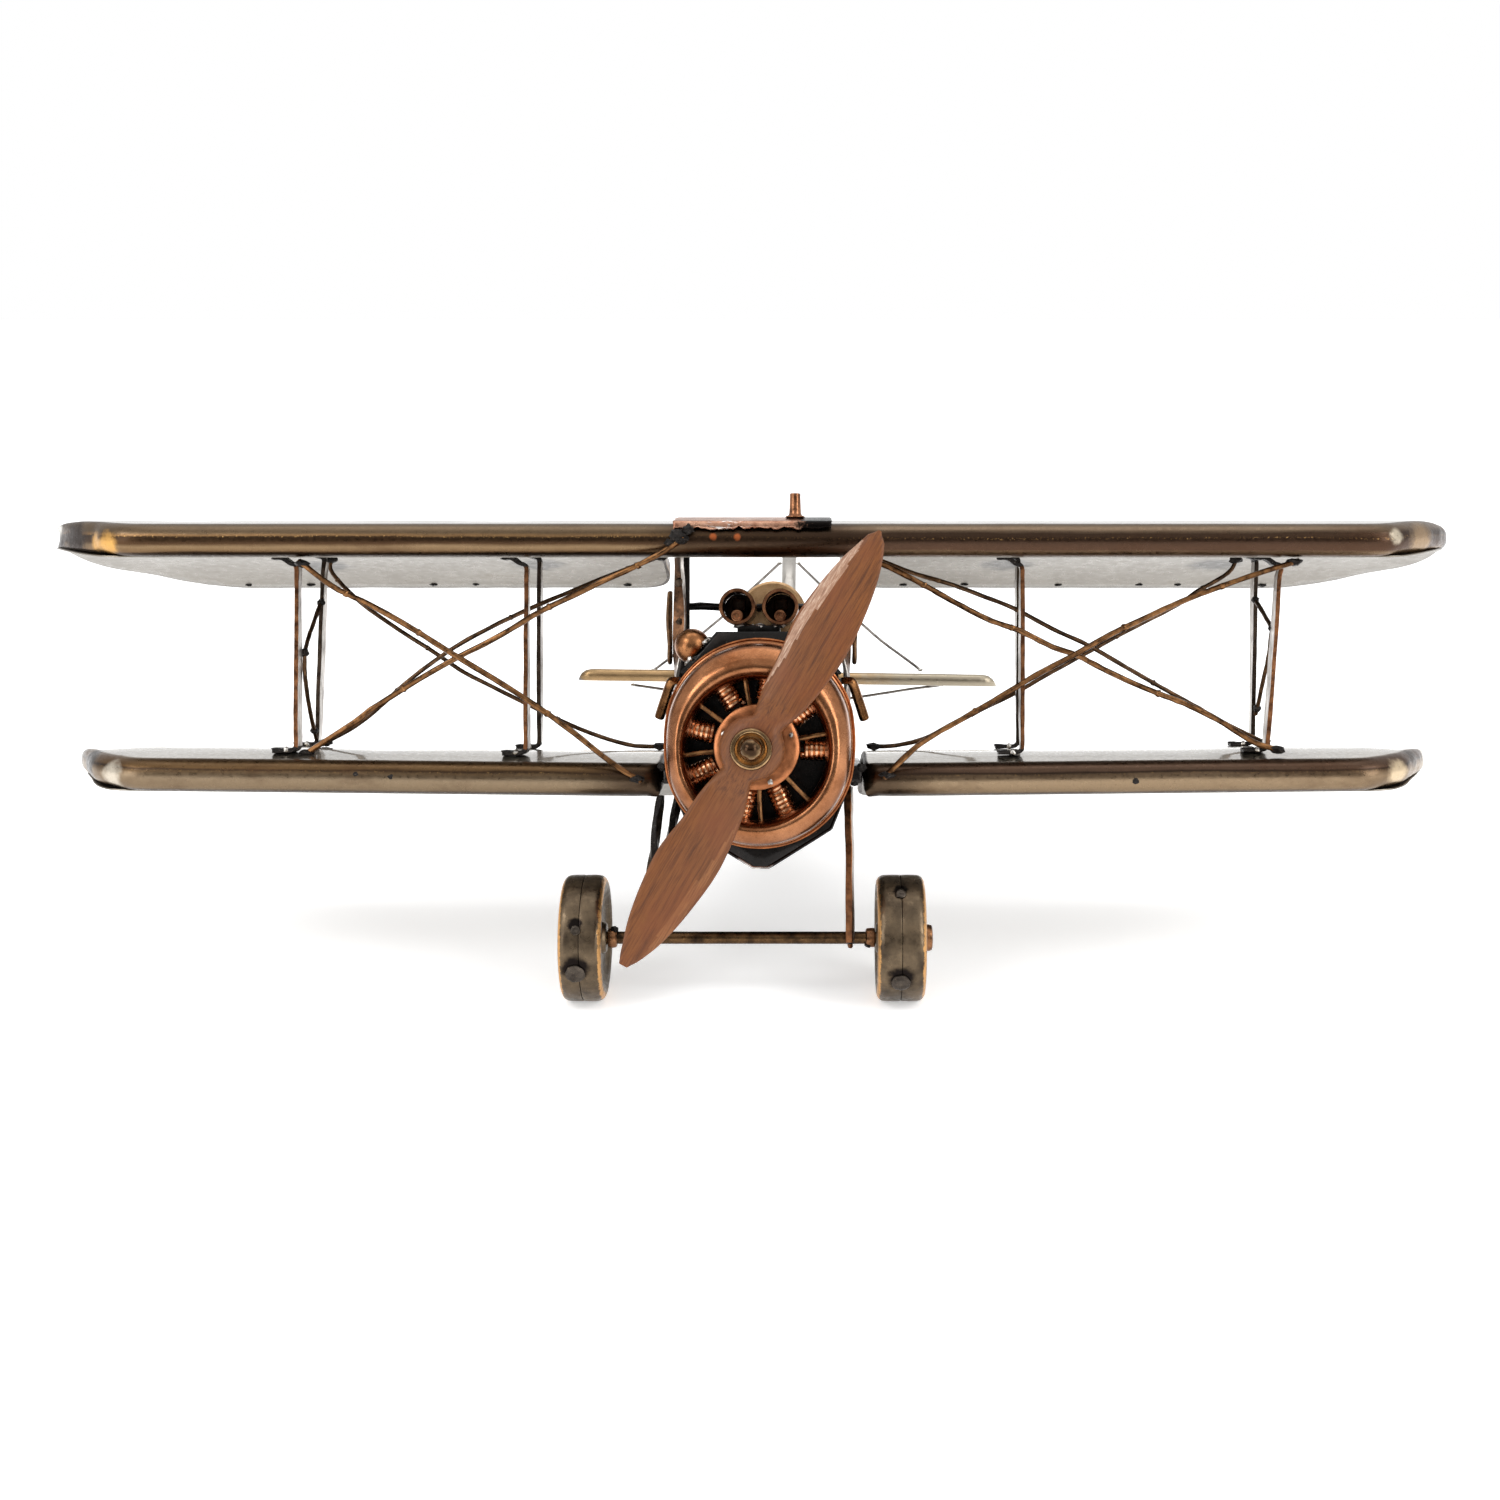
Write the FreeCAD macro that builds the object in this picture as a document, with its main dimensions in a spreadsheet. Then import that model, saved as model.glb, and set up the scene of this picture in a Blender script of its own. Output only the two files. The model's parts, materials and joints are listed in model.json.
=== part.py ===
import FreeCAD, Part
import math
import os
import re
import Sketcher
from FreeCAD import Placement, Rotation, Vector

# Sheet-metal display model of a single-seat rotary-engined biplane, in millimetres.
# Every piece is drawn in the level frame of the aeroplane: x across the span, y aft from the wings'
# leading edges, z up from the thrust line. One stance then tips them all nose-up onto wheels and skid.

DIMENSIONS = {
    # stance: the model rests tail-down on two wheels and a skid
    "stance_angle": 13,
    "origin_shift_x": 0.0,
    "origin_shift_y": -94.56,
    # upper wing plan
    "upper_edge_half": 172,
    "upper_tip_half": 200,
    "upper_trailing_half": 163,
    "upper_edge_z": 50.3,
    "wing_chord": 85,
    "tip_station": 38,
    "cutout_half": 27,
    "cutout_front": 24,
    "cutout_corner": 8,
    # lower wing plan
    "lower_edge_half": 167,
    "lower_tip_half": 193,
    "lower_trailing_half": 157,
    "lower_edge_z": -14.2,
    "left_root": 24.4,
    "right_root": 29.9,
    "dihedral": 0.6,
    # wing section: rolled nose, arched top sheet, hollow underside
    "edge_height": 9,
    "crest_height": 11.3,
    "crest_station": 33,
    "hollow_height": 3.3,
    "hollow_station": 40,
    "trailing_drop": 4.9,
    "trailing_thickness": 1.2,
    "wing_sheet": 0.7,
    "cavity_end": 74,
    # fittings on the upper wing
    "panel_half": 21.6,
    "panel_depth": 21,
    "panel_lip": 2.4,
    "panel_sheet": 0.5,
    "solder_gap": 0.05,
    "filler_x": 11.4,
    "filler_y": 10,
    "filler_radius": 1.5,
    "filler_bore": 1.0,
    "filler_flange_radius": 2.7,
    "filler_flange": 0.5,
    "filler_height": 6.6,
    # thrust line and engine
    "shaft_x": 1.0,
    "shaft_radius": 1.6,
    "shaft_length": 15,
    "crankcase_x": 2.0,
    "crankcase_radius": 11,
    "crankcase_front": -27,
    "cylinder_radius": 2.85,
    "coil_pitch": 1.55,
    "coil_turns": 6,
    "cylinder_y": -17.5,
    "pushrod_radius": 0.6,
    "pushrod_end": 20.5,
    "pushrod_y": -22,
    # cowl
    "cowl_x": 2.4,
    "cowl_z": 0.6,
    "cowl_round": 24.2,
    "cowl_straight": 2.5,
    "cowl_front": -27,
    "cowl_depth": 15,
    "cowl_wall": 1.0,
    "cowl_lip": 4,
    "cowl_outer_fillet": 4.8,
    "cowl_inner_fillet": 3.4,
    "opening_radius": 18,
    "opening_x": -0.6,
    "opening_z": -1.6,
    "band_depth": 9,
    "band_wall": 0.8,
    "bulkhead_thickness": 1,
    # propeller
    "washer_radius": 4.2,
    "washer_thickness": 1.2,
    "running_gap": 0.3,
    "boss_radius": 8.4,
    "boss_thickness": 9,
    "blade_thickness": 5,
    "blade_tip": 63.2,
    "blade_waist": 4.7,
    "blade_straight_side": 7.4,
    "blade_full_side": 8.8,
    "propeller_bore": 1.65,
    "propeller_angle": 59.4,
    "nut_radius": 5.3,
    "nut_groove_radius": 4.3,
    "nut_dome_radius": 2.75,
    "nut_height": 6.4,
    # fuselage sheet
    "hull_sheet": 0.7,
    "deck_joint_z": 18.5,
    "cockpit_y": 68,
    "cockpit_x": 3.9,
    "cockpit_round": 8.5,
    "cockpit_straight": 4,
    "coaming_width": 1.3,
    "coaming_height": 1.6,
    # guns and fairing
    "gun_left_x": -4.0,
    "gun_right_x": 7.5,
    "gun_z": 36.7,
    "jacket_radius": 4.85,
    "jacket_bore": 4.15,
    "jacket_front": -1,
    "jacket_length": 19,
    "barrel_radius": 1.7,
    "breech_width": 3.6,
    "breech_height": 3.4,
    "breech_length": 7.5,
    "breech_plate": 1,
    "saddle_length": 12,
    "fairing_x": 5.0,
    "fairing_half": 9.3,
    "fairing_side": 6,
    "fairing_height": 15,
    "fairing_front": 26,
    "fairing_length": 26,
    "fairing_sheet": 0.8,
    "blister_radius": 4.3,
    "blister_length": 5.8,
    "blister_rise": 1.8,
    "exhaust_radius": 1.4,
    # struts and wires
    "strut_sheet": 1.2,
    "strut_foot": 6.5,
    "front_strut_width": 4.6,
    "rear_strut_width": 4.2,
    "front_strut_y": 11,
    "rear_strut_y": 33,
    "front_wire_radius": 0.8,
    "rear_wire_radius": 0.65,
    "incidence_wire_radius": 0.7,
    "cabane_width": 5,
    "post_width": 1.8,
    "crossbar_radius": 1.1,
    "crossbar_z": 37.4,
    # landing gear
    "wheel_radius": 17,
    "left_wheel_width": 11.5,
    "right_wheel_width": 13,
    "wheel_y": 6,
    "wheel_z": -52.6,
    "left_wheel_x": -45.2,
    "right_wheel_x": 39.8,
    "wheel_corner": 2.2,
    "wheel_dish": 1.5,
    "wheel_sheet": 1.2,
    "wheel_hub_radius": 4,
    "wheel_bore": 1.75,
    "axle_radius": 1.7,
    "cap_radius": 3.65,
    "cap_thickness": 2,
    "cap_bore_depth": 1.4,
    "left_hub_recess": 2,
    "collar_radius": 2.6,
    "collar_width": 2.5,
    "gear_leg_radius": 1.1,
    "plug_radius": 2.6,
    "plug_proud": 0.5,
    # tail
    "tail_x": 6.8,
    "tailplane_front": 178,
    "tailplane_chord": 36,
    "tailplane_z": 15.8,
    "tailplane_edge_half": 72,
    "tailplane_tip_half": 75.5,
    "tailplane_trailing_half": 60,
    "tailplane_roll": 2.2,
    "tailplane_sheet": 1.0,
    "fin_roll": 3.0,
    "fin_sheet": 1.0,
    "fin_top_z": 66,
    "tail_wire_radius": 0.5,
    "skid_radius": 1.3,
    "skid_y": 205,
}

# Fuselage sections: aft station, centreline offset, then half-widths and heights of the corners.
SECTION_KEYS = ("y", "x", "top_z", "top", "shoulder_z", "shoulder", "chine_z", "chine", "bilge_z", "bilge",
                "keel_z", "keel")
SECTIONS = {
    "nose": (-5, 2.4, 30, 12, 19, 21.5, -14, 22.5, -22.5, 19, -33, 2.2),
    "cockpit": (84, 4.2, 30, 11.5, 19, 20, -11, 21, -18, 18, -28, 2.2),
    "tail": (176, 6.3, 15.8, 5, 13, 6.5, 4, 6.5, 1, 5.5, -1, 2),
    "sternpost": (212, 6.9, 15.8, 1.6, 14.5, 2.4, 8, 2.4, 6, 2, 5, 1),
}
for section_name, values in SECTIONS.items():
    for key, value in zip(SECTION_KEYS, values):
        DIMENSIONS["hull_%s_%s" % (section_name, key)] = value

doc = FreeCAD.newDocument("ModelBiplane")
sheet = doc.addObject("Spreadsheet::Sheet", "dims")
for row, (alias, value) in enumerate(DIMENSIONS.items(), start=1):
    sheet.set("A%d" % row, alias)
    sheet.set("B%d" % row, str(value))
    sheet.setAlias("B%d" % row, alias)
doc.recompute()


# ---------------------------------------------------------------- helpers

def bound(expression):
    """Expression with each alias written as a reference to the sheet."""
    return re.sub(r"\b([a-z]\w*_\w+)\b", r"dims.\1", expression)


def size(expression):
    """Value of an expression of sheet aliases."""
    return float(sheet.evalExpression(bound(expression)))


def bind(thing, name, expression):
    thing.setExpression(name, bound(expression))


def origin_plane(body, role):
    return next(plane for plane in body.Origin.OriginFeatures if plane.Role == role)


def body_sketch(body, role, name, offset="0"):
    """Sketch on one of the body's origin planes, moved along the plane's normal by offset."""
    sketch = body.newObject("Sketcher::SketchObject", name)
    sketch.AttachmentSupport = [(origin_plane(body, role), "")]
    sketch.MapMode = "FlatFace"
    bind(sketch, "AttachmentOffset.Base.z", offset)
    return sketch


PLANE_TURNS = {"XY_Plane": Rotation(), "XZ_Plane": Rotation(0, 0, 90), "YZ_Plane": Rotation(90, 0, 90)}


def free_sketch(role, name):
    sketch = doc.addObject("Sketcher::SketchObject", name)
    sketch.Placement = Placement(Vector(), PLANE_TURNS[role])
    return sketch


def pin(sketch, geometry, vertex, place):
    """Fixes one vertex at a place given by two expressions."""
    for kind, expression in zip(("DistanceX", "DistanceY"), place):
        index = sketch.addConstraint(Sketcher.Constraint(kind, -1, 1, geometry, vertex, size(expression)))
        bind(sketch, "Constraints[%d]" % index, expression)


def outline(sketch, corners):
    """Closed outline through corners (a, b); (a, b, via_a, via_b) reaches its corner by an arc."""
    points = [Vector(size(corner[0]), size(corner[1]), 0) for corner in corners]
    ends = []
    for index, corner in enumerate(corners):
        start, end = points[index - 1], points[index]
        if len(corner) == 2:
            geometry = sketch.addGeometry(Part.LineSegment(start, end))
            ends.append((geometry, 1, 2))
            continue
        via = Vector(size(corner[2]), size(corner[3]), 0)
        geometry = sketch.addGeometry(Part.Arc(start, via, end))
        turns_left = (via - start).cross(end - start).z > 0
        ends.append((geometry, 1, 2) if turns_left else (geometry, 2, 1))
        middle = sketch.addGeometry(Part.Point(via), True)
        sketch.addConstraint(Sketcher.Constraint("PointOnObject", middle, 1, geometry))
        pin(sketch, middle, 1, corner[2:])
    for index, corner in enumerate(corners):
        geometry, _, last = ends[index]
        following, first, _ = ends[(index + 1) % len(corners)]
        sketch.addConstraint(Sketcher.Constraint("Coincident", geometry, last, following, first))
        pin(sketch, geometry, last, corner[:2])


def circle(sketch, a, b, radius):
    geometry = sketch.addGeometry(Part.Circle(Vector(size(a), size(b), 0), Vector(0, 0, 1), size(radius)))
    pin(sketch, geometry, 3, (a, b))
    index = sketch.addConstraint(Sketcher.Constraint("Radius", geometry, size(radius)))
    bind(sketch, "Constraints[%d]" % index, radius)


def obround(sketch, radius, half_straight):
    """Two half circles joined by straight sides along the sketch's second axis."""
    outline(sketch, [
        (radius, half_straight),
        ("-(%s)" % radius, half_straight, "0", "%s + %s" % (half_straight, radius)),
        ("-(%s)" % radius, "-(%s)" % half_straight),
        (radius, "-(%s)" % half_straight, "0", "-(%s) - (%s)" % (half_straight, radius)),
    ])


def pad(body, sketch, length, symmetric=False):
    feature = body.newObject("PartDesign::Pad", sketch.Name + "_pad")
    feature.Profile = sketch
    bind(feature, "Length", length)
    feature.SideType = "Symmetric" if symmetric else "One side"
    return feature


def pocket(body, sketch, length=None, reverse=False):
    """Pocket of a length, or through everything both ways; checks that it removes material."""
    doc.recompute()
    before = body.Shape.Volume
    feature = body.newObject("PartDesign::Pocket", sketch.Name + "_pocket")
    feature.Profile = sketch
    if length is None:
        feature.SideType = "Symmetric"
        feature.Type = "ThroughAll"
    else:
        bind(feature, "Length", length)
        feature.Reversed = reverse
    doc.recompute()
    assert body.Shape.Volume < before - 1e-6, feature.Name + " cuts nothing"
    return feature


def revolve(body, sketch, axis):
    feature = body.newObject("PartDesign::Revolution", sketch.Name + "_revolution")
    feature.Profile = sketch
    feature.ReferenceAxis = (sketch, [axis])
    feature.Angle = 360
    return feature


def extrude(sketch, length):
    """Solid drawn both ways from a free sketch."""
    solid = doc.addObject("Part::Extrusion", sketch.Name + "_extrusion")
    solid.Base = sketch
    solid.DirMode = "Normal"
    solid.Solid = True
    solid.Symmetric = True
    bind(solid, "LengthFwd", length)
    return solid


def common(name, first, second):
    result = doc.addObject("Part::Common", name)
    result.Base, result.Tool = first, second
    return result


def cut(name, base, tool):
    result = doc.addObject("Part::Cut", name)
    result.Base, result.Tool = base, tool
    return result


def compound(name, solids):
    result = doc.addObject("Part::Compound", name)
    result.Links = solids
    return result


def rod(name, start, end, radius):
    """Round rod between two points, its radius bound to the sheet."""
    start, end = Vector(*start), Vector(*end)
    solid = doc.addObject("Part::Cylinder", name)
    bind(solid, "Radius", radius)
    solid.Height = (end - start).Length
    solid.Placement = Placement(start, Rotation(Vector(0, 0, 1), end - start))
    return solid


def block(name, low, high):
    """Rectangular block between two corners."""
    solid = doc.addObject("Part::Box", name)
    solid.Length, solid.Width, solid.Height = (top - bottom for bottom, top in zip(low, high))
    solid.Placement = Placement(Vector(*low), Rotation())
    return solid


def arc_height(first, second, third, station):
    """Height at a station of the shallow arc through three (station, height) points."""
    points = [Vector(point[0], point[1], 0) for point in (first, second, third)]
    circle_curve = Part.Arc(*points).toShape().Curve
    centre, radius = circle_curve.Center, circle_curve.Radius
    side = 1 if second[1] > centre.y else -1
    return centre.y + side * math.sqrt(radius ** 2 - (station - centre.x) ** 2)


# ---------------------------------------------------------------- stance and list of pieces

lean = math.radians(size("stance_angle"))
lift = size("wheel_radius") + size("wheel_y") * math.sin(lean) - size("wheel_z") * math.cos(lean)
STANCE = Placement(Vector(size("origin_shift_x"), size("origin_shift_y"), lift),
                   Rotation(Vector(1, 0, 0), -size("stance_angle")))
pieces = {}


def piece(label, thing, place=None):
    """Names a finished sub-part and stands it in the tail-down stance."""
    thing.Label = label
    thing.Placement = STANCE * (place or Placement())
    pieces[label] = thing


def new_body(name):
    return doc.addObject("PartDesign::Body", name + "_body")


def at(x, y, z, turn=None):
    return Placement(Vector(x, y, z), turn or Rotation())


# ---------------------------------------------------------------- wings

SECTION_HALF = size("edge_height / 2")
TOP_ARC = ((SECTION_HALF, size("edge_height")), (size("crest_station"), size("crest_height")),
           (size("wing_chord"), size("trailing_thickness - trailing_drop")))
UNDER_ARC = ((SECTION_HALF, 0), (size("hollow_station"), size("hollow_height")),
             (size("wing_chord"), -size("trailing_drop")))


def top_height(station):
    return arc_height(*TOP_ARC, station)


def under_height(station):
    return arc_height(*UNDER_ARC, station)


def wing_section(name):
    """Whole wing section: rolled nose, arched top, thin trailing edge, hollow underside."""
    sketch = free_sketch("YZ_Plane", name + "_section")
    outline(sketch, [
        ("edge_height / 2", "0", "hollow_station", "hollow_height"),
        ("edge_height / 2", "edge_height", "0", "edge_height / 2"),
        ("wing_chord", "trailing_thickness - trailing_drop", "crest_station", "crest_height"),
        ("wing_chord", "-trailing_drop"),
    ])
    return sketch


def wing_cavity(name):
    """Space inside the rolled skin, open at the bottom where the underside sheet closes it."""
    end = size("cavity_end")
    top = "%f - wing_sheet" % top_height(end)
    sketch = free_sketch("YZ_Plane", name + "_cavity")
    outline(sketch, [
        ("edge_height / 2", "0", "hollow_station", "hollow_height"),
        ("edge_height / 2", "wing_sheet"),
        ("edge_height / 2", "edge_height - wing_sheet", "wing_sheet", "edge_height / 2"),
        ("cavity_end", top, "crest_station", "crest_height - wing_sheet"),
        ("cavity_end", "%f" % under_height(end)),
    ])
    return sketch


def underside_layer(name):
    """Thin layer along the hollow underside, from the nose roll to the end of the cavity."""
    end = under_height(size("cavity_end"))
    sketch = free_sketch("YZ_Plane", name + "_layer")
    outline(sketch, [
        ("edge_height / 2", "0", "hollow_station", "hollow_height"),
        ("edge_height / 2", "wing_sheet"),
        ("cavity_end", "%f + wing_sheet" % end, "hollow_station", "hollow_height + wing_sheet"),
        ("cavity_end", "%f" % end),
    ])
    return sketch


def upper_plan(name, inset):
    """Plan of the upper wing: straight edges, round tips, rounded cut-out in the trailing edge."""
    sketch = free_sketch("XY_Plane", name + "_plan")
    nose, tail = inset, "wing_chord - %s" % inset
    side, front = "cutout_half + %s" % inset, "cutout_front - %s" % inset
    corner = "cutout_corner"
    bulge = "%s * %f" % (corner, 1 - math.sqrt(0.5))
    outline(sketch, [
        ("upper_edge_half - %s" % inset, nose),
        ("upper_trailing_half - %s" % inset, tail, "upper_tip_half - %s" % inset, "tip_station"),
        ("%s + %s" % (side, corner), tail),
        (side, "%s - %s" % (tail, corner), "%s + %s" % (side, bulge), "%s - %s" % (tail, bulge)),
        (side, front),
        ("-(%s)" % side, front),
        ("-(%s)" % side, "%s - %s" % (tail, corner)),
        ("-(%s) - %s" % (side, corner), tail, "-(%s) - %s" % (side, bulge), "%s - %s" % (tail, bulge)),
        ("%s - upper_trailing_half" % inset, tail),
        ("%s - upper_edge_half" % inset, nose, "%s - upper_tip_half" % inset, "tip_station"),
    ])
    return sketch


def lower_plan(name, inset, side, root):
    """Plan of one lower wing; side is -1 for the left wing and 1 for the right."""
    sketch = free_sketch("XY_Plane", name + "_plan")
    nose, tail = inset, "wing_chord - %s" % inset
    outline(sketch, [
        ("%d * (%s + %s)" % (side, root, inset), nose),
        ("%d * (lower_edge_half - %s)" % (side, inset), nose),
        ("%d * (lower_trailing_half - %s)" % (side, inset), tail,
         "%d * (lower_tip_half - %s)" % (side, inset), "tip_station"),
        ("%d * (%s + %s)" % (side, root, inset), tail),
    ])
    return sketch


def wing(prefix, plan, place, **plan_sizes):
    """Rolled skin and the sheet that closes its underside."""
    full = extrude(plan(prefix + "_outer", "0", **plan_sizes), "2 * wing_chord")
    inset = extrude(plan(prefix + "_inner", "wing_sheet", **plan_sizes), "2 * wing_chord")
    span = "2.2 * upper_tip_half"
    solid = common(prefix + "_solid", extrude(wing_section(prefix), span), full)
    cavity = common(prefix + "_hollow", extrude(wing_cavity(prefix), span), inset)
    piece(prefix + "_skin", cut(prefix + "_skin_cut", solid, cavity), place)
    under = common(prefix + "_under_solid", extrude(underside_layer(prefix), span), inset)
    piece(prefix + "_underside", under, place)


wing("upper_wing", upper_plan, at(0, 0, size("upper_edge_z")))
for side_name, side in (("left", -1), ("right", 1)):
    root = side_name + "_root"
    pivot = Vector(side * size(root), 0, 0)
    turn = Placement(Vector(), Rotation(Vector(0, 1, 0), -side * size("dihedral")), pivot)
    wing("lower_%s_wing" % side_name, lower_plan, at(0, 0, size("lower_edge_z")) * turn, side=side, root=root)


def lower_top(x, station):
    """Height of a lower wing's top sheet above the thrust line."""
    root = size("left_root") if x < 0 else size("right_root")
    rise = (abs(x) - root) * math.tan(math.radians(size("dihedral")))
    return size("lower_edge_z") + rise + top_height(station)


def upper_under(station):
    """Height of the upper wing's underside above the thrust line."""
    return size("upper_edge_z") + under_height(station)


# Copper panel over the centre section, with a lip bent down over the nose roll.
def rise(station):
    """Height of the top sheet above the nose roll's top, with the solder under the panel."""
    return "%f + solder_gap" % (top_height(size(station)) - size("edge_height"))


body = new_body("wing_centre_panel")
sketch = body_sketch(body, "YZ_Plane", "panel_section")
outline(sketch, [
    ("0", "-panel_lip"),
    ("0", "panel_sheet + solder_gap"),
    ("edge_height / 2", "panel_sheet + solder_gap"),
    ("panel_depth", rise("panel_depth") + " + panel_sheet",
     "panel_depth / 2", rise("panel_depth / 2") + " + panel_sheet"),
    ("panel_depth", rise("panel_depth")),
    ("edge_height / 2", "solder_gap", "panel_depth / 2", rise("panel_depth / 2")),
    ("panel_sheet", "solder_gap"),
    ("panel_sheet", "-panel_lip"),
])
pad(body, sketch, "2 * panel_half", symmetric=True)
piece("wing_centre_panel", body, at(0, 0, size("upper_edge_z + edge_height")))

# Copper filler tube standing on the panel.
body = new_body("filler_tube")
sketch = body_sketch(body, "XZ_Plane", "filler_section")
outline(sketch, [
    ("filler_bore", "0"),
    ("filler_flange_radius", "0"),
    ("filler_flange_radius", "filler_flange"),
    ("filler_radius + 0.25", "filler_flange + 0.4"),
    ("filler_radius", "filler_height"),
    ("filler_bore", "filler_height"),
])
revolve(body, sketch, "V_Axis")
filler_z = size("upper_edge_z + panel_sheet + 2 * solder_gap") + top_height(size("filler_y + filler_flange_radius"))
piece("filler_tube", body, at(size("filler_x"), size("filler_y"), filler_z))

# ---------------------------------------------------------------- fuselage


def hull_outline(sketch, name, sheet_inset):
    """Ten-sided section: flat deck, sloped shoulders, upright sides, bilge corners and a V belly."""
    def half(key, sign):
        return "hull_%s_x + (%d) * (hull_%s_%s - (%s))" % (name, sign, name, key, sheet_inset)

    def level(key, sign):
        return "hull_%s_%s_z + (%d) * (%s)" % (name, key, sign, sheet_inset)

    outline(sketch, [
        (half("top", -1), level("top", -1)),
        (half("top", 1), level("top", -1)),
        (half("shoulder", 1), level("shoulder", 0)),
        (half("chine", 1), level("chine", 0)),
        (half("bilge", 1), level("bilge", 0)),
        (half("keel", 1), level("keel", 1)),
        (half("keel", -1), level("keel", 1)),
        (half("bilge", -1), level("bilge", 0)),
        (half("chine", -1), level("chine", 0)),
        (half("shoulder", -1), level("shoulder", 0)),
    ])


def hull_loft(body, kind, sheet_inset, ends):
    """Ruled loft through the four sections; ends moves the first and last section."""
    sketches = []
    for name in SECTIONS:
        shift = ends.get(name, "0")
        sketch = body_sketch(body, "XZ_Plane", "hull_%s_%s" % (kind.lower(), name),
                             "-hull_%s_y + (%s)" % (name, shift))
        hull_outline(sketch, name, sheet_inset)
        sketches.append(sketch)
    doc.recompute()
    loft = body.newObject("PartDesign::%sLoft" % kind, "hull_%s_loft" % kind.lower())
    loft.Profile = sketches[0]
    loft.Sections = sketches[1:]
    loft.Ruled = True
    return loft


hull = new_body("hull")
hull_loft(hull, "Additive", "0", {})
hull_loft(hull, "Subtractive", "hull_sheet", {"sternpost": "hull_sheet"})
joint = size("deck_joint_z")
above = block("above_joint", (-60, -20, joint), (70, 240, joint + 40))
piece("fuselage_hull", cut("hull_cut", hull, above))
deck = common("deck_common", hull, above)
sketch = free_sketch("XY_Plane", "cockpit_opening")
obround(sketch, "cockpit_round", "cockpit_straight")
sketch.Placement = at(size("cockpit_x"), size("cockpit_y"), size("hull_cockpit_top_z"))
piece("fuselage_deck", cut("deck_cut", deck, extrude(sketch, "12 * hull_sheet")))

body = new_body("cockpit_coaming")
sketch = body_sketch(body, "XY_Plane", "coaming_outer")
obround(sketch, "cockpit_round + coaming_width", "cockpit_straight")
pad(body, sketch, "coaming_height")
sketch = body_sketch(body, "XY_Plane", "coaming_inner")
obround(sketch, "cockpit_round", "cockpit_straight")
pocket(body, sketch)
piece("cockpit_coaming", body, at(size("cockpit_x"), size("cockpit_y"), size("hull_cockpit_top_z")))

body = new_body("bulkhead")
sketch = body_sketch(body, "XZ_Plane", "bulkhead_outline", "-hull_nose_y")
hull_outline(sketch, "nose", "hull_sheet + 0.1")
plate = pad(body, sketch, "bulkhead_thickness")
plate.Reversed = True
piece("engine_bulkhead", body)

# ---------------------------------------------------------------- cowl and engine

body = new_body("cowl_ring")
sketch = body_sketch(body, "XZ_Plane", "cowl_outer")
obround(sketch, "cowl_round", "cowl_straight")
pad(body, sketch, "cowl_depth")
sketch = body_sketch(body, "XZ_Plane", "cowl_inner")
obround(sketch, "cowl_round - cowl_wall", "cowl_straight")
pocket(body, sketch, "cowl_depth - cowl_lip", reverse=True)
sketch = body_sketch(body, "XZ_Plane", "cowl_opening")
circle(sketch, "opening_x", "opening_z", "opening_radius")
shell = pocket(body, sketch)


def front_edges(shape, y):
    """Edges of a shape that lie in the plane y, as (name, edge)."""
    found = []
    for index, edge in enumerate(shape.Edges, start=1):
        if abs(edge.BoundBox.YMin - y) < 1e-4 and abs(edge.BoundBox.YMax - y) < 1e-4:
            found.append(("Edge%d" % index, edge))
    return found


def is_opening(edge):
    """Whether an edge is the round opening of the cowl."""
    return abs(getattr(edge.Curve, "Radius", 0) - size("opening_radius")) < 0.01


def round_over(body, base, radius, inner):
    """Rounds the cowl's front, at its opening or at its outer edge."""
    fillet = body.newObject("PartDesign::Fillet", radius + "_edge")
    edges = front_edges(base.Shape, -size("cowl_depth"))
    fillet.Base = (base, [name for name, edge in edges if is_opening(edge) == inner])
    bind(fillet, "Radius", radius)
    doc.recompute()
    return fillet


outer_roll = round_over(body, shell, "cowl_outer_fillet", False)
round_over(body, outer_roll, "cowl_inner_fillet", True)
piece("cowl_ring", body, at(size("cowl_x"), size("cowl_front + cowl_depth"), size("cowl_z")))

body = new_body("cowl_band")
sketch = body_sketch(body, "XZ_Plane", "band_outer")
obround(sketch, "cowl_round + band_wall", "cowl_straight")
pad(body, sketch, "band_depth")
sketch = body_sketch(body, "XZ_Plane", "band_inner")
obround(sketch, "cowl_round", "cowl_straight")
pocket(body, sketch)
piece("cowl_band", body, at(size("cowl_x"), size("hull_nose_y"), size("cowl_z")))

body = new_body("crankcase")
sketch = body_sketch(body, "XZ_Plane", "crankcase_outline", "-hull_nose_y")
circle(sketch, "crankcase_x", "0", "crankcase_radius")
drum = pad(body, sketch, "hull_nose_y - crankcase_front")
doc.recompute()
rim = [name for name, edge in front_edges(drum.Shape, size("crankcase_front"))]
chamfer = body.newObject("PartDesign::Chamfer", "crankcase_rim")
chamfer.Base = (drum, rim)
chamfer.Size = 0.8
piece("crankcase", body)

# Hand-set angles of the wound-wire cylinders and of the pushrods, in degrees from the right.
CYLINDER_ANGLES = (38, 80, 119, 164, 205, 258, 294, 356)
PUSHROD_ANGLES = (11, 55, 100, 144, 187, 230, 273, 314)


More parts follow.
